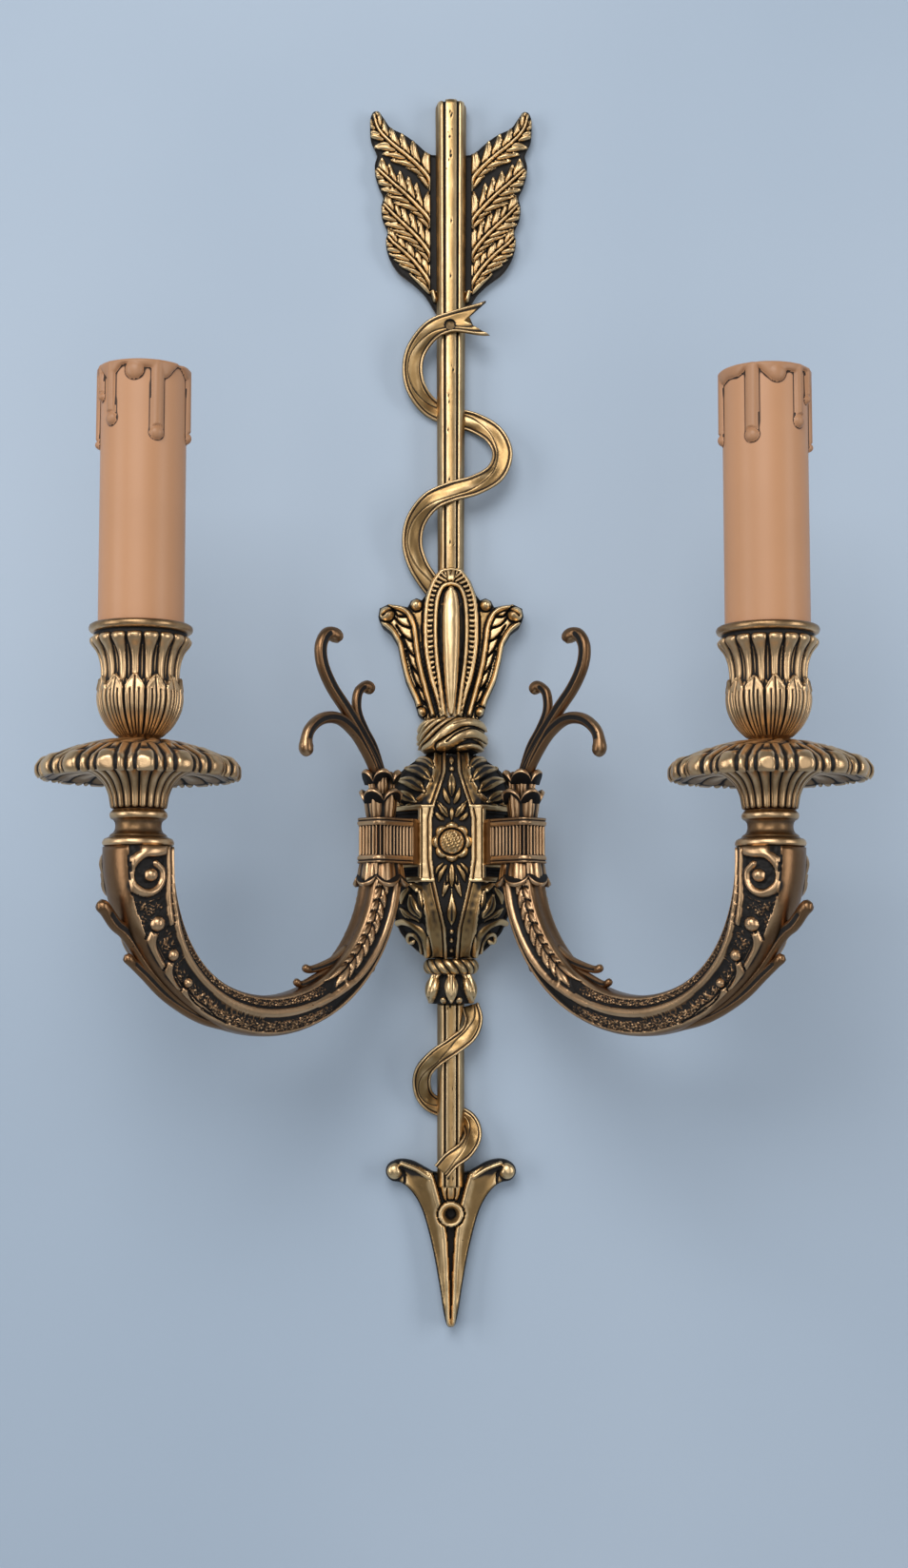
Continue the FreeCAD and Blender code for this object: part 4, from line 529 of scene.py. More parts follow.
def moulded(name, colour, rough=0.45):
    """Moulded insulating plastic."""
    made = Finish(name)
    cloud = made.noise(150.0, 3.0, 0.6)
    grain = made.noise(1800.0, 2.0, 0.5)
    tint = made.blend(made.step(cloud, 0.35, 0.75) * 0.4, colour, shade(colour, 0.8))
    made.set(Base_Color=tint, Roughness=rough + cloud * 0.12, Normal=made.bump(grain, 0.1, 0.0002))
    return made.material


def painted_wall(name, colour, shade):
    """Matt wall paint, faintly uneven."""
    made = Finish(name)
    cloud = made.noise(2.2, 3.0, 0.5)
    grain = made.noise(260.0, 3.0, 0.6)
    tint = made.blend(made.step(cloud, 0.3, 0.72), colour, shade)
    made.set(Base_Color=tint, Roughness=0.82 + grain * 0.1, Specular_IOR_Level=0.2,
             Normal=made.bump(grain, 0.06, 0.0005))
    return made.material


# ---------------------------------------------------------------------------
# Sizes and colours that a user may change
# ---------------------------------------------------------------------------
class BrassSettings(PropertyGroup):
    """Colours of the cast brass, its patina and the shade painted inside its hollows."""

    bright: FloatVectorProperty(name="Rubbed brass", description="Colour of the worn ridges",
                                subtype="COLOR",
                                size=4, min=0, max=1, default=(0.88, 0.63, 0.34, 1.0))
    middle: FloatVectorProperty(name="Aged brass", description="Colour of the open surfaces",
                                subtype="COLOR",
                                size=4, min=0, max=1, default=(0.40, 0.25, 0.105, 1.0))
    brown_bright: FloatVectorProperty(name="Rubbed arm brass", description="Worn ridges of the browner arms",
                                      subtype="COLOR", size=4, min=0, max=1, default=(0.70, 0.45, 0.25, 1.0))
    brown_middle: FloatVectorProperty(name="Aged arm brass", description="Open surfaces of the browner arms",
                                      subtype="COLOR", size=4, min=0, max=1, default=(0.25, 0.14, 0.07, 1.0))
    # patina, and painted shade inside hollows and holes
    patina_and_shade: FloatVectorProperty(name="Patina", description="Colour of the recesses", subtype="COLOR",
                                size=4, min=0, max=1, default=(0.012, 0.010, 0.009, 1.0))


class CandleSettings(PropertyGroup):
    """The candle sleeves."""

    colour: FloatVectorProperty(name="Wax", description="Colour of the sleeve", subtype="COLOR",
                                size=4, min=0, max=1, default=(0.60, 0.305, 0.155, 1.0))
    # painted shade: colour of the shade painted in the creases beside the drips and inside the bore
    crease_shade: FloatVectorProperty(name="Crease", description="Colour of the lines beside the drips",
                                subtype="COLOR",
                                size=4, min=0, max=1, default=(0.045, 0.022, 0.012, 1.0))
    drip_height: FloatProperty(name="Drip height", description="How far the drips stand off the sleeve",
                               subtype="DISTANCE", unit="LENGTH", default=0.0015)


class StageSettings(PropertyGroup):
    """Wall, floor, lamps and camera."""

    wall: FloatVectorProperty(name="Wall", description="Colour of the wall", subtype="COLOR",
                              size=4, min=0, max=1, default=(0.50, 0.59, 0.70, 1.0))
    wall_shade: FloatVectorProperty(name="Wall shade", description="Slightly darker patches of the wall",
                                    subtype="COLOR", size=4, min=0, max=1, default=(0.42, 0.51, 0.62, 1.0))
    floor: FloatVectorProperty(name="Floor", description="Colour of the floor", subtype="COLOR",
                               size=4, min=0, max=1, default=(0.62, 0.66, 0.70, 1.0))
    lens: FloatProperty(name="Lens", description="Focal length of the camera", unit="CAMERA", default=48.06)
    key_power: FloatProperty(name="Key lamp", description="Power of the main softbox", subtype="POWER",
                             default=18.0)
    fill_power: FloatProperty(name="Fill lamps", description="Power of the side softboxes", subtype="POWER",
                              default=8.0)


FINISHES = {}


def finishes():
    """The materials, made once."""
    if FINISHES:
        return FINISHES
    look = bpy.context.scene.wall_light_brass
    candle = bpy.context.scene.wall_light_candle
    dark = list(look.patina_and_shade)
    FINISHES["golden"] = brass("golden_brass", list(look.bright), list(look.middle), dark)
    FINISHES["brown"] = brass("brown_brass", list(look.brown_bright), list(look.brown_middle), dark)
    cup_bright = [0.35 * a + 0.65 * b for a, b in zip(look.bright, look.brown_bright)]
    cup_middle = [0.25 * a + 0.75 * b for a, b in zip(look.middle, look.brown_middle)]
    FINISHES["cup"] = brass("cup_brass", cup_bright, cup_middle, dark)
    FINISHES["wax"] = wax("candle_wax", list(candle.colour), list(candle.crease_shade))
    FINISHES["steel"] = plain_metal("plated_steel", [0.55, 0.54, 0.50, 1], 0.32)
    FINISHES["contact"] = plain_metal("bright_brass", [0.78, 0.58, 0.28, 1], 0.25)
    FINISHES["holder"] = moulded("holder_plastic", [0.045, 0.038, 0.034, 1])
    FINISHES["block"] = moulded("block_plastic", [0.78, 0.77, 0.72, 1], 0.5)
    return FINISHES


def settle(piece, finish, node, body=FRAME_BODY):
    """Give a piece its finish and the body that carries it, and hide the CAD node it stands in for."""
    piece.data.materials.clear()
    piece.data.materials.append(finishes()[finish])
    if node:
        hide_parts(node)
    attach(piece, body)
    return piece


# ---------------------------------------------------------------------------
# Arrow shaft
# ---------------------------------------------------------------------------
SHAFT_FOOT, NOCK = 42.0, 248.6
SHAFT_FOOT_HALF, NOCK_HALF = 4.7, 5.8
SCREW_HEIGHT = 161.4
BAR_COLUMNS = 71
REED_CUT, REED_CUT_HALF, REED_CUT_DEPTH = 2.42, 0.55, 1.25


def reeded_bar(name, low, high, half_low, half_high, depth, dome_top, seed):
    """A half-round bar on the wall with two deep grooves beside a middle reed."""
    share = np.linspace(0, 1, int((high - low) / 0.8))[:, None]
    turn = np.linspace(0, math.pi, BAR_COLUMNS)[None, :]
    z = low + (high - low) * share + 0 * turn
    half = half_low + (half_high - half_low) * share
    top = np.ones_like(share)
    if dome_top:
        rise = np.clip((z[:, :1] - (high - 2.6)) / 2.6, 0, 1)
        top = 0.62 + 0.38 * dome(rise)
    x = half * np.cos(turn) * top
    side = 0.4 * depth
    y = -(side + (depth - side) * np.sin(turn) * top)
    points = np.stack([x, y + 0 * share, z], -1)
    wall_right = points[:, :1].copy()
    wall_left = points[:, -1:].copy()
    wall_right[..., 1] = 0
    wall_left[..., 1] = 0
    carving = Carving(x + 0 * z, z)
    across = np.abs(x / half) * 5.3
    from_cut = np.abs(across - REED_CUT)
    carving.height -= REED_CUT_DEPTH * dome(from_cut / REED_CUT_HALF) * (from_cut < REED_CUT_HALF)
    carving.height += 0.054 * ripple(x * 3, z, 16, seed)
    carving.height -= 0.30 * np.exp(-((across - 4.9) / 0.35) ** 2)
    chance = np.random.default_rng(seed)
    for _ in range(int((high - low) / 5.5)):
        spot_x, spot_z = chance.uniform(-1.3, 1.3), chance.uniform(low, high)
        radius = chance.uniform(0.22, 0.42)
        near = np.hypot(x - spot_x, z - spot_z) / radius
        carving.height -= 0.3 * dome(near) * (near < 1)
        carving.darken(0.25, near < 1)
    depth_of = recess(carving.height, 2, 5, (False, False)) + carving.patina_and_hole_shade
    moved = push_out(points, carving.height, (False, False))
    moved[..., 2] = np.clip(moved[..., 2], low, high)
    sheet = np.concatenate([wall_right, moved, wall_left], axis=1)
    depths = np.concatenate([depth_of[:, :1], depth_of, depth_of[:, -1:]], axis=1)
    return tube(name, sheet, depths)


# ---------------------------------------------------------------------------
# Feather vanes
# ---------------------------------------------------------------------------
VANE_OUTLINE = [
    (5.0, 228.2), (8.6, 228.9), (13.0, 232.8), (17.5, 236.1), (22.4, 238.6), (24.9, 242.0), (27.0, 244.8),
    (29.0, 244.7), (30.1, 242.0), (30.2, 238.0), (29.8, 233.6), (27.6, 228.4), (28.4, 224.4), (28.2, 220.6),
    (26.9, 216.2), (25.2, 212.2), (25.9, 208.4), (25.6, 204.0), (23.6, 199.0), (24.2, 195.6), (23.8, 192.0),
    (22.2, 187.6), (19.0, 183.0), (14.0, 179.2), (9.6, 174.8), (6.4, 169.4), (4.4, 166.0),
]
VEINS = [
    [(6.6, 212.6), (8.0, 218.6), (11.8, 223.4), (16.9, 228.1), (22.6, 232.8), (27.1, 238.0), (28.7, 243.4)],
    [(6.2, 197.4), (8.0, 203.0), (12.4, 208.3), (17.4, 213.4), (22.5, 218.0), (27.3, 222.6)],
    [(6.2, 185.0), (8.0, 190.3), (12.3, 196.1), (16.9, 200.8), (21.2, 205.0), (24.9, 209.0)],
    [(5.8, 172.6), (8.0, 179.4), (12.9, 186.3), (17.4, 190.9), (21.4, 194.4), (23.3, 196.8)],
]


def carve_vane(carving, inside):
    """Four tufts: each vein carries overlapping leaflets above it and below it."""
    carving.height[:] = 2.5
    for number in (3, 2, 1, 0):
        vein = spline(VEINS[number], 40)
        for side in (-1, 1):
            for step in range(7):
                index = 2 + int(5.2 * step)
                x, z = vein[index]
                dx, dz = vein[min(index + 2, 39)] - vein[max(index - 2, 0)]
                heading = math.atan2(dz, dx) + side * math.radians(22)
                bend = heading + side * math.radians(20)
                length = 12.5 - 0.75 * step
                middle = (x + 0.55 * length * math.cos(heading), z + 0.55 * length * math.sin(heading))
                tip = (middle[0] + 0.5 * length * math.cos(bend), middle[1] + 0.5 * length * math.sin(bend))
                carving.leaf([(x, z), middle, tip], 1.8, 2.5, base=2.5, peak=0.45, vein=0.7, moat=0.3,
                             foot=0.6)
        carving.ridge(VEINS[number], 1.0, 3.1, base=2.5, tip=0.6, moat=0.25)
    carving.height += 0.10 * ripple(carving.x, carving.z, 5, 11)
    root = (carving.x < 7.6) & (carving.z > 176)
    carving.height = np.where(root, np.minimum(carving.height, 2.2), carving.height)
    carving.darken(0.5, carving.height < 2.62)


# ---------------------------------------------------------------------------
# Ribbons
# ---------------------------------------------------------------------------
UPPER_TRAIL = [
    (7.4, 163.2, 2.0), (-0.8, 162.2, 2.0), (-7.6, 159.2, 1.8), (-12.9, 152.6, 1.2), (-14.2, 145.4, 0.9),
    (-12.4, 138.2, 0.6), (-7.6, 132.6, 0.1), (0.0, 129.2, 0.0), (8.4, 126.8, 0.2), (15.6, 121.8, 0.8),
    (18.9, 114.4, 1.2), (16.4, 106.6, 1.6), (9.0, 101.6, 2.0), (0.0, 99.0, 2.0), (-7.8, 95.2, 1.9),
    (-13.0, 88.4, 1.3), (-14.2, 80.6, 0.9), (-12.2, 73.4, 0.7), (-8.6, 67.4, 0.6), (-5.0, 63.0, 0.5),
]
LOWER_TRAIL = [
    (7.0, -87.6, 0.9), (8.2, -92.4, 1.3), (6.2, -97.6, 1.8), (0.6, -102.0, 2.0), (-5.6, -106.2, 1.9),
    (-9.9, -111.4, 1.2), (-10.2, -117.8, 0.7), (-7.2, -122.4, 0.2), (0.0, -125.6, 0.0), (6.2, -128.6, 0.4),
    (7.9, -133.6, 1.1), (5.0, -138.6, 1.8), (0.0, -142.2, 2.0), (-3.4, -146.0, 2.0),
]


def ribbon_depth(layer):
    """Distance of the ribbon's middle from the wall: layer 0 behind the shaft, 2 over its front."""
    behind, front = 1.1, 9.55
    return behind + (front - behind) * np.clip(layer, 0, 2) / 2


def ribbon_strip(name, trail, width, forked, seed):
    """A flat strip with raised rims and a dark line inside each rim."""
    stops = np.array([(x, -ribbon_depth(layer), z) for x, z, layer in trail])
    rows = 330 if forked else 220
    line = spline(stops, rows)
    ahead = np.gradient(line, axis=0)
    ahead /= np.linalg.norm(ahead, axis=1, keepdims=True)
    flat = ahead.copy()
    flat[:, 1] = 0
    flat /= np.linalg.norm(flat, axis=1, keepdims=True)
    across = np.stack([flat[:, 2], np.zeros(rows), -flat[:, 0]], 1)
    bank = np.clip(np.gradient(line[:, 1]) / np.maximum(np.linalg.norm(np.gradient(line, axis=0), axis=1),
                                                        1e-6),
                   -0.6, 0.6)
    tilt = blur(np.repeat((-bank * 0.55)[:, None], 3, 1), 6, (False, False))[:, 1]
    across = across * np.cos(tilt)[:, None] + np.array([0, 1, 0]) * np.sin(tilt)[:, None]
    out = np.cross(across, ahead)
    out /= np.linalg.norm(out, axis=1, keepdims=True)
    out *= np.where(out[:, 1:2] > 0, -1, 1)
    share = np.linspace(0, 1, rows)
    half = 0.5 * width * np.ones(rows)
    if forked:
        half *= 1 + 0.75 * ease(-share, -0.055, 0.0)
    place = np.linspace(-1, 1, 31)
    front = np.sqrt(np.clip(1 - np.abs(place) ** 8, 0, 1)) * 0.55 + 0.12
    rim = 0.52 * np.exp(-((np.abs(place) - 0.86) / 0.085) ** 2)
    line_cut = -0.34 * np.exp(-((np.abs(place) - 0.66) / 0.055) ** 2)
    crown = 0.16 * np.cos(place * math.pi / 2)
    relief = (rim + line_cut + crown)[None, :] * np.ones((rows, 1))
    x_across = place[None, :] * half[:, None]
    wander = 0.10 * ripple(x_across * 2, share[:, None] * 120 + 0 * x_across, 9, seed)
    sway = np.sin(place[None, :] * 2.4 + share[:, None] * 24 + seed)
    relief = relief + wander + 0.24 * sway
    relief -= 0.30 * np.exp(-((place[None, :] - 0.45 * np.sin(share[:, None] * 19 + seed)) / 0.05) ** 2)
    forward = np.zeros((rows, len(place)))
    if forked:
        reach = ease(-share, -0.055, 0.0)[:, None]
        forward = -reach * (8.6 * np.abs(place)[None, :] - 2.4)
    sheet = (line[:, None, :] + across[:, None, :] * x_across[..., None]
             + out[:, None, :] * (front[None, :] + relief)[..., None] + ahead[:, None, :]
             * forward[..., None])
    under = (line[:, None, :] + across[:, None, :] * (0.94 * x_across[:, ::-1])[..., None]
             - out[:, None, :] * 0.85 + ahead[:, None, :] * forward[:, ::-1, None])
    depth = recess(relief, 1, 4) * 1.5
    if forked:
        hole = np.hypot(sheet[..., 0] + 0.4, sheet[..., 2] - SCREW_HEIGHT)
        sunk = hole < 1.7
        sheet = sheet + (out[:, None, :] * np.where(sunk, -2.2, 0)[..., None])
        # painted shade: the sunk screw hole is painted fully dark
        depth = np.where(hole < 2.0, 1.0, depth)
    points = np.concatenate([sheet, under], axis=1)
    depths = np.concatenate([depth, np.full_like(depth, 0.15)], axis=1)
    points[..., 1] = np.minimum(points[..., 1], -0.05)
    return tube(name, points, depths)


# ---------------------------------------------------------------------------
# Tulip finial
# ---------------------------------------------------------------------------
CARTOUCHE = [
    (0.0, 71.7), (3.6, 71.0), (6.6, 67.4), (8.8, 61.8), (9.8, 55.2), (10.0, 46.8), (9.4, 39.0), (7.8, 30.7),
    (5.6, 23.4), (3.6, 15.8),
]
INNER_RIM = [(0.0, 65.0), (3.0, 63.8), (4.9, 59.4), (5.5, 52.6), (5.5, 44.8), (5.0, 37.0), (3.9, 28.3),
             (2.4, 16.0)]


def mirrored(points):
    """The same points on the other side of the centre line."""
    return [(-point[0],) + tuple(point[1:]) for point in points]


def tulip_outline():
    right = [(0.0, 71.8), (4.2, 71.0), (7.2, 66.8), (9.2, 61.6), (10.6, 59.6), (12.6, 60.4), (14.6, 59.4),
             (15.8, 57.0)]
    right += [(18.6, 57.6), (22.6, 58.2), (26.0, 56.6), (26.5, 53.4), (25.0, 50.0), (21.8, 47.4),
              (19.4, 43.2),
              (18.2, 36.8), (16.4, 29.6), (13.4, 22.9), (12.6, 20.2), (11.8, 17.4), (9.6, 15.7)]
    loop = right + mirrored(right[1:])[::-1]
    return np.asarray(loop, float)


def carve_tulip(carving, inside):
    """Two curling leaves behind an oval shield with a pod."""
    carving.height[:] = 6.2
    for flip in (1, -1):
        def on(points):
            return [(flip * x, z) for x, z in points]
        outer = [(10.4, 17.0), (12.6, 22.6), (15.8, 29.8), (17.7, 37.0), (19.0, 43.4), (21.8, 48.2),
                 (25.0, 51.2)]
        inner = [(6.6, 17.5), (8.8, 25.6), (11.2, 35.0), (12.5, 42.7), (13.4, 49.6), (15.4, 54.4),
                 (18.8, 56.8),
                 (22.4, 57.0)]
        for start, stop in (((8.6, 20.6), (12.4, 28.2)), ((9.8, 25.6), (14.6, 35.0)),
                            ((11.2, 31.6), (16.2, 41.0)),
                            ((12.3, 38.0), (17.8, 46.4)), ((13.2, 44.0), (19.8, 50.2)),
                            ((14.2, 49.2), (20.6, 53.4)),
                            ((16.4, 53.6), (20.8, 55.4))):
            middle = ((start[0] + stop[0]) / 2 + 0.7, (start[1] + stop[1]) / 2 - 0.7)
            carving.groove(on([start, middle, stop]), 0.5, 2.4)
        carving.ridge(on(outer), 1.45, 3.0, base=5.4, moat=0.4)
        carving.ridge(on(inner), 0.95, 2.7, base=5.4, moat=0.5)
        carving.ball(flip * 23.6, 54.4, 2.9, 3.9, base=5.2, moat=0.5)
        carving.groove(on([(21.2, 55.8), (23.2, 55.2), (24.8, 53.8)]), 0.6, 1.6)
        carving.ball(flip * 12.7, 57.8, 2.3, 3.4, base=5.0, moat=0.5)
        carving.ball(flip * 10.8, 18.4, 2.0, 3.4, base=5.0, moat=0.45)
    ring = np.vstack([spline(CARTOUCHE, 60), spline(mirrored(CARTOUCHE)[::-1], 60)])
    inward = inside_of(carving.x, carving.z, ring)
    run = along(np.abs(carving.x), carving.z, spline(CARTOUCHE, 60))[0]
    base = 8.4 + 1.5 * ease(inward, 0, 5.0)
    rim = 0.9 * dome((inward - 0.8) / 0.8)
    band = ease(inward, 1.5, 1.9) * (run < 0.9)
    cuts = 0.5 + 0.5 * np.cos(math.tau * run * 31)
    surface = base + rim + band * (0.5 - 1.5 * ease(cuts, 0.45, 0.8))
    carving.height = np.where(inward > 0, surface, carving.height)
    carving.height = np.where((inward > -0.8) & (inward <= 0), np.minimum(carving.height, 4.2),
                              carving.height)
    inner = np.vstack([spline(INNER_RIM, 60), spline(mirrored(INNER_RIM)[::-1], 60)])
    deeper = inside_of(carving.x, carving.z, inner)
    carving.height = np.where(deeper > 0, 8.6, carving.height)
    edge = np.abs(deeper)
    carving.height = np.where(edge < 1.15, np.minimum(carving.height, 8.6), carving.height)
    carving.height = np.where(edge < 0.75, 10.4 + 1.1 * dome(edge / 0.75), carving.height)
    second = np.abs(deeper - 1.95)
    lower = (carving.z < 58) & (deeper > 0)
    carving.height = np.where((second < 0.45) & lower, 9.8 + 0.9 * dome(second / 0.45), carving.height)
    carving.leaf([(0.0, 62.6), (0.0, 54.0), (0.0, 40.0), (0.0, 16.0)], 3.2, 4.6, base=10.2, peak=0.30,
                 vein=0.0,
                 moat=0.5, blunt=0.45, foot=0.35)
    carving.height += 0.08 * ripple(carving.x, carving.z, 6, 5)


# ---------------------------------------------------------------------------
# Rings round the column
# ---------------------------------------------------------------------------
COLUMN_DEPTH = 8.0


def column_ring(name, low, high, radius_at, relief, columns=220, rows=60):
    """A turned ring about the column, cut flat at the wall; relief(carving, angle) raises its heights."""
    share = np.linspace(0, 1, rows)[:, None]
    angle = np.linspace(0, math.tau, columns, endpoint=False)[None, :]
    radius = radius_at(share) + 0 * angle
    z = low + (high - low) * share + 0 * angle
    front_x = radius * np.sin(angle)
    carving = Carving(np.where(np.cos(angle) > -0.1, front_x, 99.0), z)
    relief(carving, angle + 0 * share, share + 0 * angle)
    spread = radius + carving.height
    x = spread * np.sin(angle)
    y = -COLUMN_DEPTH - spread * np.cos(angle)
    y = np.minimum(y, -0.05)
    depth = recess(carving.height, 2, 6, (False, True)) + carving.patina_and_hole_shade
    return tube(name, np.stack([x, y, z], -1), depth)


def carve_knot(carving, angle, share):
    """A turban of cloth: broad folds over finer slanting strands."""
    slant = angle * 4.2 + share * 5.0
    carving.height[:] = 0.55 * np.abs(np.sin(slant)) - 0.5
    front = np.cos(angle) > -0.05
    carving.height = np.where(front, -0.9, carving.height)
    strands = [
        ([(-12.4, 5.4), (-10.6, 8.6), (-7.0, 12.4), (-3.0, 15.2)], 0.85, 0.9),
        ([(-12.4, 7.8), (-10.8, 11.0), (-7.6, 14.2), (-5.6, 15.4)], 0.8, 0.8),
        ([(-12.2, 10.8), (-10.8, 13.0), (-8.8, 14.8)], 0.8, 0.7),
        ([(-11.6, 3.6), (-9.4, 6.8), (-5.6, 10.6), (-1.0, 14.0), (3.6, 15.4)], 0.95, 1.1),
        ([(3.0, 3.8), (7.2, 4.9), (11.4, 4.2)], 1.15, 1.1),
        ([(-8.8, 3.8), (-5.6, 6.4), (-1.2, 10.6), (4.0, 13.6), (9.4, 13.4), (12.2, 11.2)], 2.1, 1.5),
        ([(-3.4, 4.4), (0.6, 6.8), (5.8, 9.4), (10.4, 8.8), (12.4, 6.8)], 2.3, 1.7),
    ]
    for points, half, rise in strands:
        carving.ridge(points, half, rise + 0.6, base=-0.9, moat=0.35)
    carving.groove([(-1.6, 6.2), (2.4, 9.4), (7.6, 11.2), (12.0, 9.6)], 0.4, 0.9)
    carving.groove([(4.4, 7.2), (8.4, 7.6), (11.6, 6.4)], 0.28, 0.6)
    carving.groove([(1.0, 12.6), (5.6, 14.2), (9.6, 14.0)], 0.25, 0.4)
    carving.height += 0.12 * ripple(angle * 12, carving.z, 5, 8)
    edge = np.minimum(share, 1 - share)
    carving.height -= 1.2 * (1 - ease(edge, 0, 0.10))


def carve_rope(carving, angle, share):
    """A twisted rope."""
    turns = angle * 16 / 2 + share * 3.4
    strand = np.abs(np.sin(turns))
    carving.height[:] = 0.9 * strand ** 0.55 - 0.55
    carving.darken(0.35, strand < 0.22)


def carve_leaf_collar(carving, angle, share):
    """Pointed leaves that hang from the rope, with small buds between their tips."""
    carving.height[:] = -2.4
    carving.darken(0.25, np.ones_like(angle))
    for x in (-3.3, 3.3):
        carving.ball(x, -85.6, 1.3, 1.9, base=-2.0, moat=0.3)
    for x, lean, half in ((0.0, 0.0, 2.6), (-6.6, -1.4, 2.2), (6.6, 1.4, 2.2)):
        points = [(x * 0.9, -76.0), (x + lean * 0.2, -79.6), (x + lean * 0.8, -84.0), (x + lean, -86.8)]
        carving.leaf(points, half, 3.0, base=-2.0, peak=0.45, vein=0.5, moat=0.5, foot=0.8, ribs=0)
        carving.ridge([(points[0][0], -76.4), (points[1][0], -79.6), (points[2][0], -84.0)], 0.35, 0.7,
                      base=0.6)
    carving.height = np.where(np.cos(angle) < 0.05, 0.4 * np.sin(angle * 9) - 1.0, carving.height)
    carving.patina_and_hole_shade = np.where(carving.height > -1.0, 0, carving.patina_and_hole_shade)


# ---------------------------------------------------------------------------
# Wall body
# ---------------------------------------------------------------------------
BODY_TOP, SHOULDER, PRISM_FOOT, BODY_FOOT = 2.6, -17.6, -43.6, -70.8
BODY_SIZES = {"neck": 8.6, "prism": 21.5, "front_neck": 3.8, "front_prism": 10.6, "deep_neck": 16.6,
              "deep": 30.0}
FLARE_SHARE, FLARE_FALL = [0.0, 0.36, 0.74, 0.97, 1.0], [0.0, 0.13, 0.33, 0.60, 1.0]


def body_share(z):
    """How far the body has swelled from neck to prism at each height."""
    upper = np.interp((BODY_TOP - z) / (BODY_TOP - SHOULDER), FLARE_FALL, FLARE_SHARE)
    lower = np.interp((z - BODY_FOOT) / (PRISM_FOOT - BODY_FOOT), FLARE_FALL, FLARE_SHARE)
    return np.where(z > SHOULDER, upper, np.where(z < PRISM_FOOT, lower, 1.0))


def strip_half(z):
    """Half width of the dark strip down the front."""
    return np.interp(z, [-70, -66, -60, -55, -48, -43.8, -36, -22, -17, -11.4, -5, 2.6],
                     [1.5, 1.7, 2.2, 3.4, 5.0, 5.9, 6.9, 6.9, 5.9, 4.0, 2.2, 2.0])


def moulding_half(z):
    """Outer edge of the smooth mouldings beside the strip."""
    return np.interp(z, [-70, -68, -56.7, -52, -48.6, -44.6, -44, -17.4, -16.9, -15.0, -12.9, -9.0, -6.3,
                         2.6],
                     [8.0, 8.2, 9.2, 10.2, 11.6, 15.6, 10.6, 10.6, 16.4, 13.0, 10.2, 8.0, 6.9, 6.0])


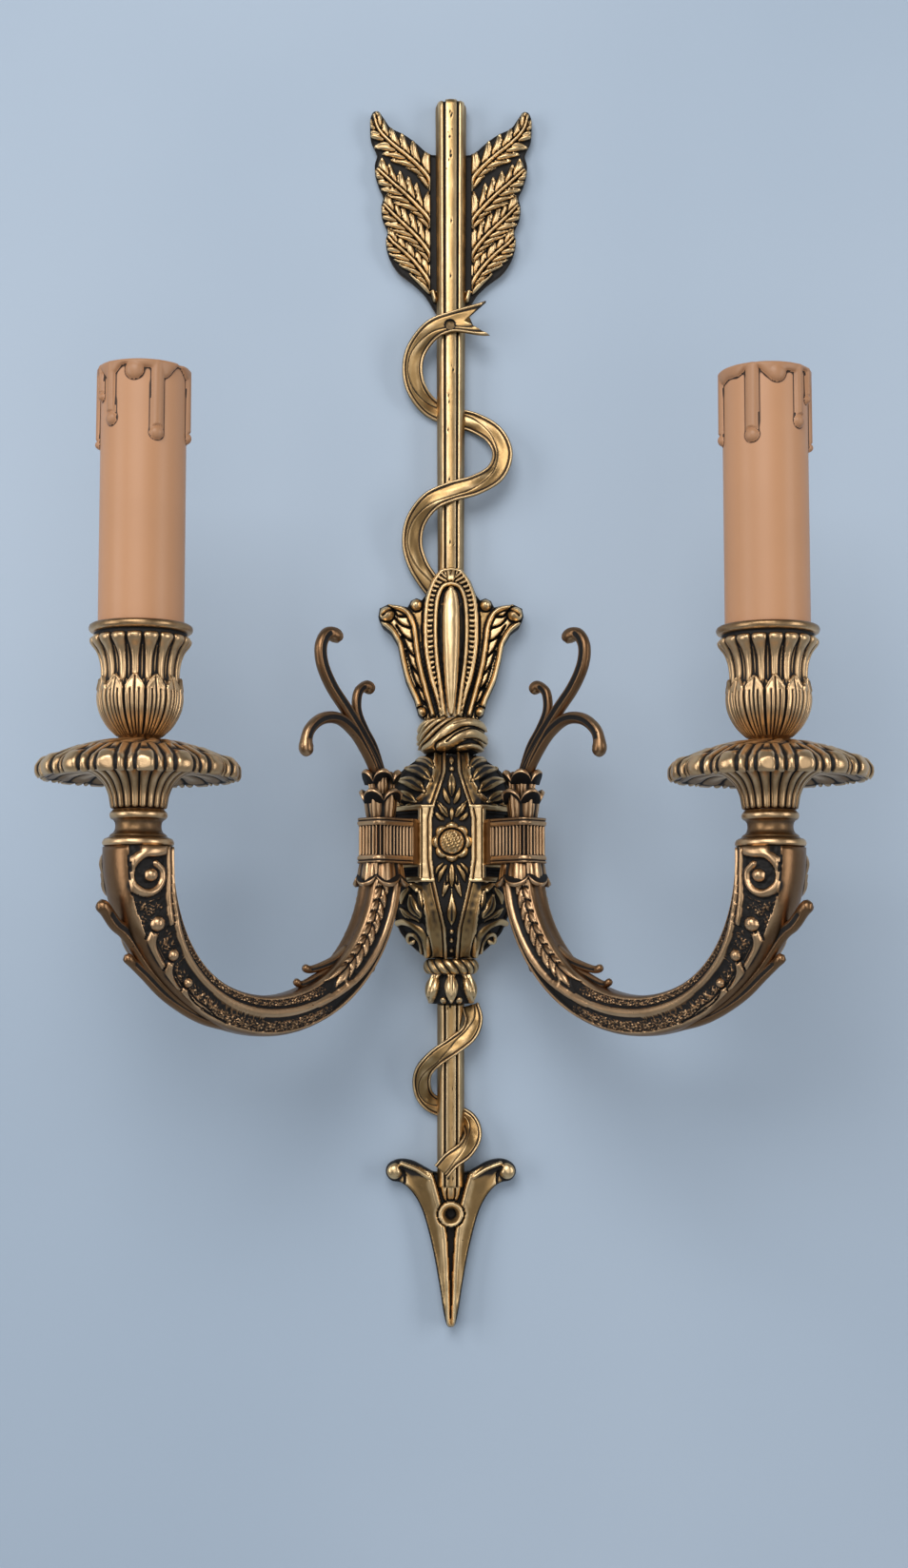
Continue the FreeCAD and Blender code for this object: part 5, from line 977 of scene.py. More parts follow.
def carve_body(carving):
    """Relief of the body, drawn as it is seen from the front."""
    x, z = carving.x, carving.z
    wide, strip, mould = np.abs(x), strip_half(z), moulding_half(z)
    smooth_part = (wide > strip) & (wide < mould)
    # mouldings: a thin ridge beside the strip, a hollow, and a ridge at the outer edge
    place = np.clip((wide - strip) / np.maximum(mould - strip, 0.5), 0, 1)
    bell = (z > SHOULDER) | (z < PRISM_FOOT)
    hollow = -0.9 * np.sin(math.pi * place) ** 1.2 * bell
    ridges = 0.55 * np.exp(-((wide - strip - 0.5) / 0.42) ** 2) + 0.5 * np.exp(-((wide - mould
            + 0.55) / 0.45) ** 2) * bell
    split = -0.75 * np.exp(-((wide - strip - 1.35) / 0.22) ** 2) * bell
    carving.height = np.where(smooth_part, hollow + ridges + split, -1.0)
    border = (z < SHOULDER + 0.5) & (z > PRISM_FOOT - 0.5) & smooth_part
    step = -0.8 * np.exp(-((wide - strip - 1.5) / 0.25) ** 2)
    carving.height = np.where(border, 0.35 + step, carving.height)
    carving.height = np.where(wide <= strip, -1.5, carving.height)
    carving.darken(0.6, wide <= strip)
    # strip ornaments, top to foot
    base = -1.5
    carving.leaf([(0, 1.6), (0, -0.6), (0, -1.9)], 0.9, 1.6, base=base, vein=0, moat=0.3, peak=0.6)
    carving.ball(0, -3.7, 0.95, 1.7, base=base, moat=0.3)
    carving.leaf([(0, -14.2), (0, -9.6), (0, -5.4)], 1.5, 2.1, base=base, vein=0.35, peak=0.45)
    for flip in (1, -1):
        carving.leaf([(flip * 0.7, -16.8), (flip * 2.0, -14.2), (flip * 2.9, -10.8)], 0.95, 1.7, base=base,
                     vein=0.25)
        carving.leaf([(flip * 1.0, -21.4), (flip * 3.2, -18.6), (flip * 5.3, -15.6)], 1.45, 1.9, base=base,
                     vein=0.35,
                     lobes=3)
        carving.leaf([(flip * 2.6, -22.6), (flip * 4.8, -21.0), (flip * 6.0, -18.8)], 0.9, 1.6, base=base,
                     vein=0.2)
        # husks below the rosette
        carving.leaf([(flip * 1.6, -38.0), (flip * 3.6, -40.6), (flip * 4.7, -44.4)], 1.0, 1.7, base=base,
                     vein=0.25)
        carving.leaf([(flip * 3.0, -37.4), (flip * 5.2, -40.0), (flip * 5.6, -42.6)], 0.75, 1.5, base=base,
                     vein=0.0)
        carving.leaf([(flip * 0.6, -41.0), (flip * 2.0, -45.6), (flip * 3.3, -49.6)], 1.1, 1.9, base=base,
                     vein=0.3)
        carving.leaf([(flip * 0.5, -39.0), (flip * 1.3, -42.4), (flip * 1.9, -45.0)], 0.6, 1.5, base=base,
                     vein=0.0)
    carving.leaf([(0, -17.8), (0, -20.0), (0, -22.6)], 0.9, 1.7, base=base, vein=0.2)
    carving.leaf([(0, -37.6), (0, -41.6), (0, -46.6)], 1.1, 2.0, base=base, vein=0.3)
    carving.leaf([(0, -46.4), (0, -52.0), (0, -59.4)], 1.75, 2.2, base=base, vein=0.35, peak=0.68)
    carving.ball(0, -61.8, 0.95, 1.6, base=base, moat=0.3)
    carving.ball(0, -65.0, 0.85, 1.5, base=base, moat=0.3)
    carving.ball(0, -68.6, 0.85, 1.3, base=base, moat=0.3)
    # leaf panels on the shoulders and below
    panel = (wide >= mould) & bell
    carving.height = np.where(panel, -1.4, carving.height)
    carving.darken(0.5, panel)
    for flip in (1, -1):
        for points, half in (
                ([(6.6, -3.2), (9.4, -0.6), (13.6, 0.8)], 1.9),
                ([(7.6, -8.0), (11.6, -4.4), (17.2, -2.6)], 2.3),
                ([(9.8, -12.2), (14.2, -8.8), (19.8, -7.2)], 2.3),
                ([(13.2, -15.8), (17.0, -13.2), (21.2, -12.2)], 1.9),
                ([(16.8, -17.0), (19.4, -16.2), (21.4, -15.8)], 1.0)):
            carving.leaf([(flip * a, b) for a, b in points], half, 2.2, base=-1.3, vein=0.4, moat=0.35,
                         foot=0.3)
        # sprig and scroll under the prism
        carving.leaf([(flip * 11.0, -57.0), (flip * 13.6, -52.6), (flip * 14.8, -48.2)], 1.9, 2.3,
                     base=-1.3, vein=0.4)
        carving.leaf([(flip * 11.6, -58.4), (flip * 16.0, -55.4), (flip * 18.6, -53.0)], 1.3, 1.9,
                     base=-1.3, vein=0.25)
        carving.leaf([(flip * 10.4, -54.6), (flip * 11.2, -50.4), (flip * 11.9, -46.8)], 0.8, 1.7,
                     base=-1.3, vein=0.2)
        carving.leaf([(flip * 15.6, -46.0), (flip * 17.6, -49.0), (flip * 18.2, -52.0)], 1.0, 1.7,
                     base=-1.3, vein=0.2)
        carving.ridge([(flip * 8.6, -69.5), (flip * 9.8, -63.4), (flip * 13.0, -59.6), (flip * 17.0, -58.0),
                       (flip * 19.8, -58.6)], 1.35, 2.2, base=-1.2, moat=0.4)
        carving.ridge([(flip * 10.6, -68.6), (flip * 11.2, -65.0), (flip * 13.2, -62.6),
                       (flip * 15.4, -62.8),
                       (flip * 15.2, -65.0), (flip * 13.6, -65.2)], 0.8, 1.9, base=-1.2, moat=0.35)
    # stepped frames round the sockets
    for flip in (1, -1):
        for low, high in ((-23.4, -17.9), (-43.2, -37.8)):
            frame_zone = (flip * x > 10.9) & (z > low) & (z < high)
            inset = np.minimum(np.minimum(flip * x - 10.9, z - low), high - z)
            level = 0.2 - 1.5 * ease(inset, 0.8, 1.1) - 0.9 * ease(inset, 1.9, 2.2)
            carving.height = np.where(frame_zone, level, carving.height)
            carving.darken(0.5, frame_zone & (inset > 1.9))
    middle = (wide > 10.9) & (z <= -23.4 + 0.01) & (z >= -37.8 - 0.01)
    carving.height = np.where(middle, 0.0, carving.height)
    lip = np.minimum(np.abs(z - SHOULDER), np.abs(z - PRISM_FOOT))
    carving.height = np.where((lip < 0.55) & (wide > strip), 0.55 * dome(lip / 0.55), carving.height)
    carving.height += 0.07 * ripple(x, z, 4, 21)


def wall_body():
    """The half-octagon body with its relief."""
    rows = 250
    z = np.linspace(BODY_FOOT, BODY_TOP, rows)
    share = body_share(z)
    share = blur(np.repeat(share[:, None], 3, 1), 3, (False, False))[:, 1]
    half = BODY_SIZES["neck"] * (1 - share) + BODY_SIZES["prism"] * share
    front = BODY_SIZES["front_neck"] * (1 - share) + BODY_SIZES["front_prism"] * share
    deep = BODY_SIZES["deep_neck"] * (1 - share) + BODY_SIZES["deep"] * share
    side = deep - (half - front)
    facets = [((half, 0 * z), (half, side), 18), ((half, side), (front, deep), 62),
              ((front, deep), (-front, deep), 84),
              ((-front, deep), (-half, side), 62), ((-half, side), (-half, 0 * z), 18)]
    columns = []
    for (x0, y0), (x1, y1), count in facets:
        for step in np.linspace(0, 1, count, endpoint=False):
            columns.append(np.stack([x0 + (x1 - x0) * step, -(y0 + (y1 - y0) * step), z], -1))
    columns.append(np.stack([-half, 0 * z, z], -1))
    points = np.stack(columns, 1)
    carving = Carving(points[..., 0], points[..., 2])
    carve_body(carving)
    flank = ease(-points[..., 1], 2.0, 5.0)
    height = carving.height * flank
    side_wall = np.zeros(points.shape[1], bool)
    side_wall[:18] = True
    side_wall[-19:] = True
    height[:, side_wall] = np.clip(height[:, side_wall], -0.3, 0.3)
    moved = push_out(points, height, (False, False))
    moved[..., 1] = np.minimum(moved[..., 1], -0.0)
    depth = recess(height, 2, 7) + carving.patina_and_hole_shade * flank
    depth = np.where(height < -1.25, np.maximum(depth, 0.35), depth)
    return hollow_shell("body_casting", moved, depth, half, front, deep, z)


BODY_WALL = 2.6
OCTAGON_CORNER = 0.41


def hollow_shell(name, outer, depth, half, front, deep, z):
    """The body's carved skin with a plain hollow behind it, open at the wall; the hollow is painted dark as
    shade.
    """
    wall = BODY_WALL
    half, front, deep = half - wall, front - OCTAGON_CORNER * wall, deep - wall
    side = deep - (half - front)
    level = np.clip(z, BODY_FOOT + wall, BODY_TOP - wall)
    corners = ((half, 0 * z), (half, side), (front, deep), (-front, deep), (-half, side), (-half, 0 * z))
    inner = np.stack([np.stack([x, -y, level], -1) for x, y in corners], 1)
    rows, columns = outer.shape[:2]
    start, width = rows * columns, inner.shape[1]
    faces = grid_faces(rows, columns, False, False)
    faces += [face[::-1] for face in grid_faces(rows, width, False, False, start)]
    for row in range(rows - 1):
        for edge, inward in ((0, 0), (columns - 1, width - 1)):
            quad = [row * columns + edge, (row + 1) * columns + edge, start + (row + 1) * width + inward,
                    start + row * width + inward]
            faces.append(quad[::-1] if edge else quad)
    for row in (0, rows - 1):
        first, inward = row * columns, start + row * width
        faces.append([first, first + columns - 1, inward + width - 1, inward])
        faces.append(list(range(first, first + columns)))
        faces.append(list(range(inward, inward + width)))
    points = np.concatenate([outer.reshape(-1, 3), inner.reshape(-1, 3)])
    # painted shade: the hollow's inner skin gets a depth that turns it fully dark
    shell = make_object(name, points, faces, np.r_[depth.reshape(-1), np.full(rows * width, 0.3)])
    work = bmesh.new()
    work.from_mesh(shell.data)
    bmesh.ops.recalc_face_normals(work, faces=work.faces)
    work.to_mesh(shell.data)
    work.free()
    return shell


def rosette():
    """Round petals about a textured eye."""
    columns, rows = 168, 44
    angle = np.linspace(0, math.tau, columns, endpoint=False)[None, :]
    share = np.linspace(0.0, 1, rows)[:, None]
    petal = np.abs(np.cos(angle * 4)) ** 0.7
    reach = 5.9 + 1.3 * petal
    radius = reach * share
    dome_eye = 2.6 * dome(np.clip(radius / 4.4, 0, 1)) ** 0.7
    place = np.clip((radius - 4.7) / (reach - 4.7), 0, 1)
    petals = 2.0 * np.sin(math.pi * np.clip(place, 0, 1) ** 0.8) ** 0.6 * (0.45 + 0.55 * petal)
    height = np.where(radius < 4.5, 0.8 + dome_eye, 0.55 + petals)
    height = np.where(np.abs(radius - 4.6) < 0.35, 0.4, height)
    x, z = radius * np.sin(angle), radius * np.cos(angle)
    height += 0.28 * ripple(x + 0 * z, z + 0 * x, 1.6, 4) * (radius < 4.2)
    height = np.where(share + 0 * angle > 0.985, 0.3, height)
    depth = recess(height, 1, 4, (False, True))
    points = np.stack([x, -28.6 - height, z - 30.1], -1)
    back = points[-1:].copy()
    back[..., 1] = -28.2
    sheet = np.concatenate([points, back], 0)
    return tube("rosette_flower", sheet, np.concatenate([depth, depth[-1:]], 0))


# ---------------------------------------------------------------------------
# Arrowhead
# ---------------------------------------------------------------------------
HEAD_SIDE = [
    (0.0, -146.0), (5.4, -147.0), (8.6, -145.6), (13.6, -143.0), (18.6, -142.4), (22.4, -144.2),
    (23.2, -147.0),
    (21.4, -149.6), (17.4, -150.6), (13.8, -153.8), (10.6, -159.2), (8.2, -166.6), (6.0, -176.0),
    (4.0, -187.0),
    (2.6, -196.0), (1.4, -200.4), (0.0, -201.1),
]


def carve_head(carving, inside):
    """Two curling blades, cloth ends in the V between them and a countersunk screw boss."""
    x, z = carving.x, carving.z
    wide = np.abs(x)
    inner = np.interp(z, [-201, -192, -180, -170, -163, -158, -152, -148, -145],
                      [0.05, 0.25, 0.6, 1.2, 2.2, 3.4, 5.0, 6.2, 7.0])
    blade = wide > inner
    carving.height = np.where(blade, 6.8 - 1.4 * ease(wide - inner, 0.8, 9.0), 2.8)
    carving.height += np.where(blade, 1.2 * np.exp(-((wide - inner - 0.8) / 0.55) ** 2), 0)
    for flip in (1, -1):
        carving.ball(flip * 20.2, -146.2, 3.1, 2.7, base=5.2, moat=0.0)
        carving.groove([(flip * 16.4, -150.4), (flip * 16.6, -147.6), (flip * 18.2, -145.0)], 0.5, 1.0)
        carving.ridge([(flip * 17.6, -143.6), (flip * 12.4, -145.6), (flip * 8.0, -148.4)], 0.8, 1.2,
                      base=6.2)
    for lean in (-1, 1, 0):
        carving.leaf([(lean * 1.0, -157.6), (lean * 2.0, -152.6), (lean * 3.4, -146.6)], 1.5, 3.6, base=3.4,
                     vein=0.5, moat=0.3, foot=0.5, blunt=0.4)
    distance = np.hypot(x, z + SCREW_HEIGHT)
    level = np.where(distance > 3.3, 8.2, 8.2 - (3.3 - distance) * 1.7)
    level = np.where(distance < 1.7, 3.0, level)
    carving.height = np.where(distance < 5.0, np.minimum(carving.height, 4.6), carving.height)
    carving.height = np.where(distance < 4.4, level, carving.height)
    # painted shade: the bottom of the screw hole is darkened
    carving.darken(0.35, distance < 2.0)
    carving.height += 0.10 * ripple(x, z, 7, 33)


# ---------------------------------------------------------------------------
# Arms, drawn in their own plane: out from the root, across, up
# ---------------------------------------------------------------------------
ROOT_X, ROOT_Y, ARM_SPAN = 24.677, 33.177, 105.0
CANDLE_X = ROOT_X + ARM_SPAN * math.cos(math.pi / 4)
CANDLE_Y = ROOT_Y + ARM_SPAN * math.cos(math.pi / 4)
ARM_ROOT_Z, ARM_LOW_Z = -38.2, -89.8


def swing(points, side):
    """From an arm's plane to the wall's frame: side 1 is the right arm."""
    out, across, up = points[..., 0], points[..., 1], points[..., 2]
    run = math.cos(math.pi / 4)
    x = side * (ROOT_X + run * out + run * across)
    y = -(ROOT_Y + run * out) + run * across
    return np.stack([x, y, up], -1)


def arm_centre(share):
    """Centre line of the arm and its outward direction."""
    angle = math.pi * (1 + share)
    radius_x, radius_z = ARM_SPAN / 2, ARM_ROOT_Z - ARM_LOW_Z
    centre = np.stack([radius_x + radius_x * np.cos(angle), ARM_ROOT_Z + radius_z * np.sin(angle)], -1)
    return centre, np.stack([np.cos(angle), np.sin(angle)], -1)


def carve_arm(carving, place, share):
    """Relief on both flanks, drawn in the arm's plane; place is -1 inside the bow, 1 outside."""
    s, z = carving.x, carving.z
    carving.height[:] = -1.1
    edge = np.abs(place)
    carving.height = np.where(edge > 0.80, 0.0, carving.height)
    root = 1 - ease(share, 0.30, 0.40)
    # stippled bands of the lower bow
    stipple = np.sin(s * 5.1 + np.sin(z * 4.3) * 1.3) * np.sin(z * 5.7 + np.sin(s * 3.9) * 1.5)
    bow = ease(share, 0.30, 0.40) * (1 - ease(share, 0.80, 0.86))
    carving.height += np.where(edge < 0.80, bow * (0.62 + 0.42 * stipple), 0)
    high = ease(share, 0.80, 0.86)
    carving.height += np.where(edge < 0.80, high * (0.35 + 0.45 * stipple), 0)
    # acanthus chain near the root
    chain = spline([(3.0, -39.6), (4.6, -46.5), (7.6, -56.0), (13.2, -65.8), (20.6, -73.4), (27.0, -78.6)],
                   60)
    for step in range(9):
        index = 3 + int(step * 5.6)
        x0, z0 = chain[index]
        dx, dz = chain[min(index + 3, 59)] - chain[max(index - 3, 0)]
        heading = math.atan2(dz, dx)
        for lean, length, half in ((-0.30, 10.5, 1.75), (0.36, 12.5, 2.0)):
            a = heading + lean
            b = heading + lean * 0.3
            middle = (x0 + 0.5 * length * math.cos(a), z0 + 0.5 * length * math.sin(a))
            tip = (middle[0] + 0.5 * length * math.cos(b), middle[1] + 0.5 * length * math.sin(b))
            carving.leaf([(x0, z0), middle, tip], half, 2.1, base=-1.2, peak=0.5, vein=0.45, moat=0.3)
    # long rib from the outer edge at the root to the inner edge under the candle
    rib = [(-3.0, -39.0), (-2.4, -46.0), (-0.6, -54.6), (3.0, -62.4), (8.6, -70.8), (15.9, -77.6),
           (26.9, -83.6),
           (39.6, -87.6), (53.8, -88.8), (66.8, -86.6), (77.7, -81.8), (86.6, -74.9), (92.8, -67.2),
           (96.5, -58.4),
           (98.6, -48.0), (99.0, -37.0)]
    carving.ridge(rib, 1.5, 1.9, base=-1.0, moat=0.75, count=70)
    # tongues that end in balls, and the blades outside them
    for points, half, knob in (
            ([(96.0, -77.6), (101.4, -72.0), (104.6, -66.4), (103.6, -60.6)], 1.5, 2.5),
            ([(87.0, -85.4), (93.6, -80.6), (97.2, -75.4), (96.6, -70.2)], 1.35, 2.0),
            ([(79.6, -89.6), (86.4, -86.0), (90.2, -81.8), (89.6, -78.8)], 1.1, 1.6)):
        carving.leaf([(points[0][0] - 9.0, points[0][1] - 5.2)] + points, 2.0, 1.6, base=-1.1, peak=0.62,
                     vein=-0.3,
                     moat=0.45)
        carving.ridge(points, half, 1.9, base=-1.0, moat=0.3)
        carving.ball(points[-1][0], points[-1][1], knob, 2.6, base=-0.9, moat=0.5)
    carving.ridge([(74.0, -93.4), (90.6, -86.4), (99.6, -79.4), (107.0, -70.6), (112.4, -62.4)], 2.1, 1.6,
                  base=-0.8,
                  moat=0.5)
    carving.ridge([(84.0, -92.6), (96.0, -86.2), (104.0, -78.4), (109.4, -70.4)], 1.5, 1.2, base=-0.9,
                  moat=0.4)
    # volute and lobe under the candle
    scroll = [(101.2, -37.2), (105.0, -38.4), (110.4, -39.2), (113.4, -43.2), (112.8, -48.4), (108.6, -51.2),
              (104.4, -49.0), (103.6, -44.6), (106.2, -42.0)]
    carving.ridge(scroll, 1.75, 2.5, base=-0.9, tip=0.7, moat=0.45, count=50)
    carving.ball(107.6, -45.6, 2.2, 2.7, base=-0.9, moat=0.4)
    carving.ridge([(101.2, -37.0), (100.8, -44.0), (100.4, -52.0), (98.6, -60.0)], 1.25, 1.7, base=-0.9,
                  moat=0.4)
    carving.leaf([(116.2, -56.0), (116.6, -47.0), (115.6, -38.4)], 3.4, 2.2, base=-0.8, vein=0.2, moat=0.4,
                 blunt=0.4)
    carving.darken(0.42, (carving.height < -0.7) & (edge < 0.80))
    carving.height = np.where(edge > 0.84, 0.35 * dome((edge - 0.92) / 0.1) * root + 0.0, carving.height)


def arm_casting(name, side):
    """The swept arm with its relief."""
    rows, columns = 360, 116
    share = np.linspace(0, 1, rows)
    centre, outward = arm_centre(share)
    swell = ease(share, 0.62, 1.0)
    radial = np.where(share < 0.5, 13.6 + (13.4 - 13.6) * 2 * share, 13.4 + 8.0 * swell)
    across = np.where(share < 0.5, 10.4 + 0.2 * 2 * share, 10.6 + 10.8 * swell)
    turn = np.linspace(0, math.tau, columns, endpoint=False)
    power = 2.0 / (3.4 - 1.2 * swell)[:, None]
    cos_part = np.sign(np.cos(turn)) * np.abs(np.cos(turn)) ** power
    sin_part = np.sign(np.sin(turn)) * np.abs(np.sin(turn)) ** power
    out = 0.5 * radial[:, None] * cos_part
    wide = 0.5 * across[:, None] * sin_part
    points = np.stack([centre[:, None, 0] + outward[:, None, 0] * out, wide,
                       centre[:, None, 1] + outward[:, None, 1] * out], -1)
    carving = Carving(points[..., 0], points[..., 2])
    place = out / (0.5 * radial[:, None])
    carve_arm(carving, place, share[:, None] + 0 * out)
    flank = ease(np.abs(np.sin(turn)), 0.10, 0.42)[None, :]
    height = carving.height * flank
    direction = np.stack([outward[:, None, 0] * cos_part * 0.35, np.sign(sin_part) * np.abs(sin_part) ** 0.5,
                          outward[:, None, 1] * cos_part * 0.35], -1)
    direction /= np.maximum(np.linalg.norm(direction, axis=2, keepdims=True), 1e-6)
    moved = points + direction * height[..., None]
    groove = np.exp(-((turn - math.pi)[None, :] / 0.10) ** 2) * (np.cos(turn)[None, :] < 0)
    moved[..., 0] += 0.5 * outward[:, None, 0] * groove
    depth = recess(height, 2, 6, (False, True)) + carving.patina_and_hole_shade * flank
    top = moved[-1:].copy()
    top[..., 2] = -36.6
    foot = moved[:1].copy()
    foot[..., 2] = -35.2
    moved = np.concatenate([foot, moved, top], 0)
    depth = np.concatenate([depth[:1], depth, depth[-1:]], 0)
    return tube(name, swing(moved, side), depth)


def rod(line, radii, columns=20):
    """Points and angles of a round bar along a line in the arm's plane."""
    ahead = np.gradient(line, axis=0)
    ahead /= np.linalg.norm(ahead, axis=1, keepdims=True)
    up = np.stack([-ahead[:, 1], ahead[:, 0]], -1)
    turn = np.linspace(0, math.tau, columns, endpoint=False)
    lift = radii[:, None] * np.cos(turn)[None, :]
    wide = radii[:, None] * np.sin(turn)[None, :]
    points = np.stack([line[:, None, 0] + up[:, None, 0] * lift, wide + 0 * lift,
                       line[:, None, 1] + up[:, None, 1] * lift], -1)
    return points, turn


def curl(name, side, points, radius, tip, knob, columns=24, rows=90):
    """A curling stem that swells into a ball at its end."""
    line = spline(points, rows)
    share = np.linspace(0, 1, rows)
    radii = radius + (tip - radius) * share
    reach = (1 - share) * np.linalg.norm(np.diff(line, axis=0), axis=1).sum()
    radii = np.where(reach < knob, knob * dome(np.clip((knob - reach) / knob, 0, 1) * 0.995), radii)
    bulge = np.exp(-((reach - knob) / (0.9 * knob)) ** 2)
    radii = np.maximum(radii, np.where(reach > knob, radii * (1 - bulge) + knob * bulge, 0))
    sheet, turn = rod(line, np.maximum(radii, 0.05), columns)
    groove = np.exp(-((np.abs(np.sin(turn)) - 1) / 0.055) ** 2)[None, :] * (reach > 2.2 * knob)[:, None]
    facet = np.cos(turn * 2)[None, :] * 0.05
    sheet[..., 1] -= np.sign(np.sin(turn))[None, :] * groove * 0.5
    depth = groove * 0.55 - 0.12 * (np.cos(turn)[None, :] > 0.5) + facet
    depth = depth + 0.25 * (1 - ease(share, 0.0, 0.06))[:, None]
    return tube(name, swing(sheet, side), depth + 0 * sheet[..., 0])


TENDRIL_FOOT = -5.2
TENDRILS = [
    ([(1.4, -1.6), (4.2, 4.2), (9.4, 11.4), (16.6, 19.6), (23.6, 27.0), (27.9, 34.2), (28.7, 40.6),
      (26.0, 45.0),
      (22.2, 44.9), (20.9, 42.4)], 2.3, 2.15, 2.7),
    ([(0.2, -1.0), (4.0, 7.6), (8.6, 13.8), (11.8, 20.0), (11.2, 26.2), (7.4, 28.7), (4.4, 26.8)], 1.7, 1.7,
     2.3),
    ([(2.0, -1.4), (6.6, 5.4), (12.6, 12.0), (20.2, 16.2), (28.0, 15.6), (33.8, 11.2), (35.2, 5.4),
      (33.0, 3.4)],
     2.2, 2.0, 2.6),
]


def joined(name, pieces):
    """Several meshes as one object."""
    points, faces, depth = [], [], []
    for piece in pieces:
        mesh = piece.data
        start = len(points)
        points += [tuple(vertex.co / MM) for vertex in mesh.vertices]
        faces += [[start + index for index in polygon.vertices] for polygon in mesh.polygons]
        values = np.zeros(len(mesh.vertices), np.float32)
        mesh.attributes["depth"].data.foreach_get("value", values)
        depth += values.tolist()
        bpy.data.objects.remove(piece)
        bpy.data.meshes.remove(mesh)
    return make_object(name, points, faces, depth)


def socket_casting(name, side):
    """The fluted block between body and arm, with plain rails and a plate against the body."""
    back, reach, half = -12.2, 6.7, 6.0
    foot, top = -38.0, -22.2
    corner = 3.0
    plan = []
    for x in np.linspace(back, reach - corner, 60, endpoint=False):
        plan.append((x, -half))
    for angle in np.linspace(-90, 90, 60, endpoint=False):
        a = math.radians(angle)
        centre_y = -(half - corner) if angle < 0 else half - corner
        if abs(angle) < 1e-9:
            for y in np.linspace(-(half - corner), half - corner, 24, endpoint=False):
                plan.append((reach, y))
        plan.append((reach - corner + corner * math.cos(a), centre_y + corner * math.sin(a)))
    for x in np.linspace(reach - corner, back, 61):
        plan.append((x, half))
    plan = np.asarray(plan)
    middle = np.array([-3.0, 0.0])
    rows = 74
    z = np.linspace(foot, top, rows)[:, None]
    run = np.r_[0, np.cumsum(np.linalg.norm(np.diff(plan, axis=0), axis=1))][None, :]
    rail = np.maximum(ease(z, top - 2.9, top - 2.5), 1 - ease(z, foot + 2.5, foot + 2.9))
    rail_round = 0.5 * dome(np.clip(np.abs(z - (top - 1.3)) / 1.4, 0, 1)) + 0.5 * dome(
        np.clip(np.abs(z - (foot + 1.3)) / 1.4, 0, 1))
    x_plan = plan[None, :, 0]
    plate_zone = 1 - ease(x_plan, back + 2.4, back + 2.9)
    flute = np.clip(np.cos(math.tau * run / 1.62), -0.4, 1)
    field = -0.9 + 0.9 * flute
    rail_round = rail_round - 0.5 * np.exp(-((np.abs(z - 0.5 * (top + foot)) - 6.9) / 0.25) ** 2)
    height = np.where(plate_zone > 0.5, 0.0 + 0 * z, np.where(rail > 0.5, 0.1 + rail_round, field))
    inset = plan[None, :, :] - middle
    length = np.linalg.norm(inset, axis=2, keepdims=True)
    normal = np.zeros_like(inset)
    normal[..., 0] = np.clip((x_plan - (reach - corner)) / corner, 0, 1)
    normal[..., 1] = np.sign(plan[None, :, 1]) * np.clip(1 - normal[..., 0] ** 2, 0, 1) ** 0.5
    normal = np.where(np.abs(normal).sum(2, keepdims=True) < 1e-6, inset / length, normal)
    spread = plan[None, :, :] + normal * height[..., None]
    points = np.stack([spread[..., 0], spread[..., 1], z + 0 * height], -1)
    depth = recess(height, 1, 3) * 1.3
    depth = np.where(height < -0.6, np.maximum(depth, 0.5), depth)
    return tube(name, swing(points, side), depth)


def leaf_cup(foot, tall, base, tip, count, phase, squash=0.92, hang=False, fill=0.0):
    """A cup of leaves whose tips curl outwards; hang turns it over."""
    rows, columns = 34, 24 * count
    angle = np.linspace(0, math.tau, columns, endpoint=False)[None, :]
    share = np.linspace(0, 1, rows)[:, None]
    wave = np.abs(np.cos((angle + phase) * count / 2))
    crest = wave ** 0.38
    top = tall * (0.50 + 0.50 * crest)
    rise = top * np.sin(np.clip(share / 0.86, 0, 1) * math.pi / 2)
    drop = np.clip((share - 0.86) / 0.14, 0, 1)
    rise = rise - drop * 1.7
    out = base + (tip - base) * share ** 3.2 + 0.8 * np.sin(math.pi * np.clip(share / 0.7, 0, 1)) - (1
            - crest) * 1.7
    out = out + drop * 0.7 - 1.4 * np.clip((share - 0.93) / 0.07, 0, 1)
    vein = 0.35 * np.exp(-((1 - wave) / 0.03) ** 2) * (share < 0.84)
    side_rib = 0.10 * np.cos(angle * count * 4)
    out = out + vein + side_rib * (share < 0.8)
    relief = out - (base + (tip - base) * share ** 3.2)
    z = foot + (rise if not hang else -rise)
    points = np.stack([out * np.cos(angle), out * np.sin(angle) * squash, z + 0 * out], -1)
    depth = recess(relief, 1, 5, (False, True)) * 1.2 + 0.5 * np.exp(-(wave / 0.22) ** 2) * (share < 0.9)
    return points, depth + fill


def stack_of_leaves(name, side):
    """Two tiers of leaves above the socket."""
    lower = leaf_cup(-22.4, 10.4, 5.0, 8.6, 5, 0.35)
    upper = leaf_cup(-15.6, 10.4, 3.8, 8.0, 5, 0.35 + math.pi / 5)
    pieces = [tube("tier", swing(points, side), depth) for points, depth in (lower, upper)]
    return joined(name, pieces)


def hanging_leaves(name, side):
    """Leaves that hang from the socket round the arm's root."""
    points, depth = leaf_cup(-37.9, 8.4, 8.0, 11.2, 6, 0.2, squash=0.80, hang=True)
    return tube(name, swing(points, side), depth)


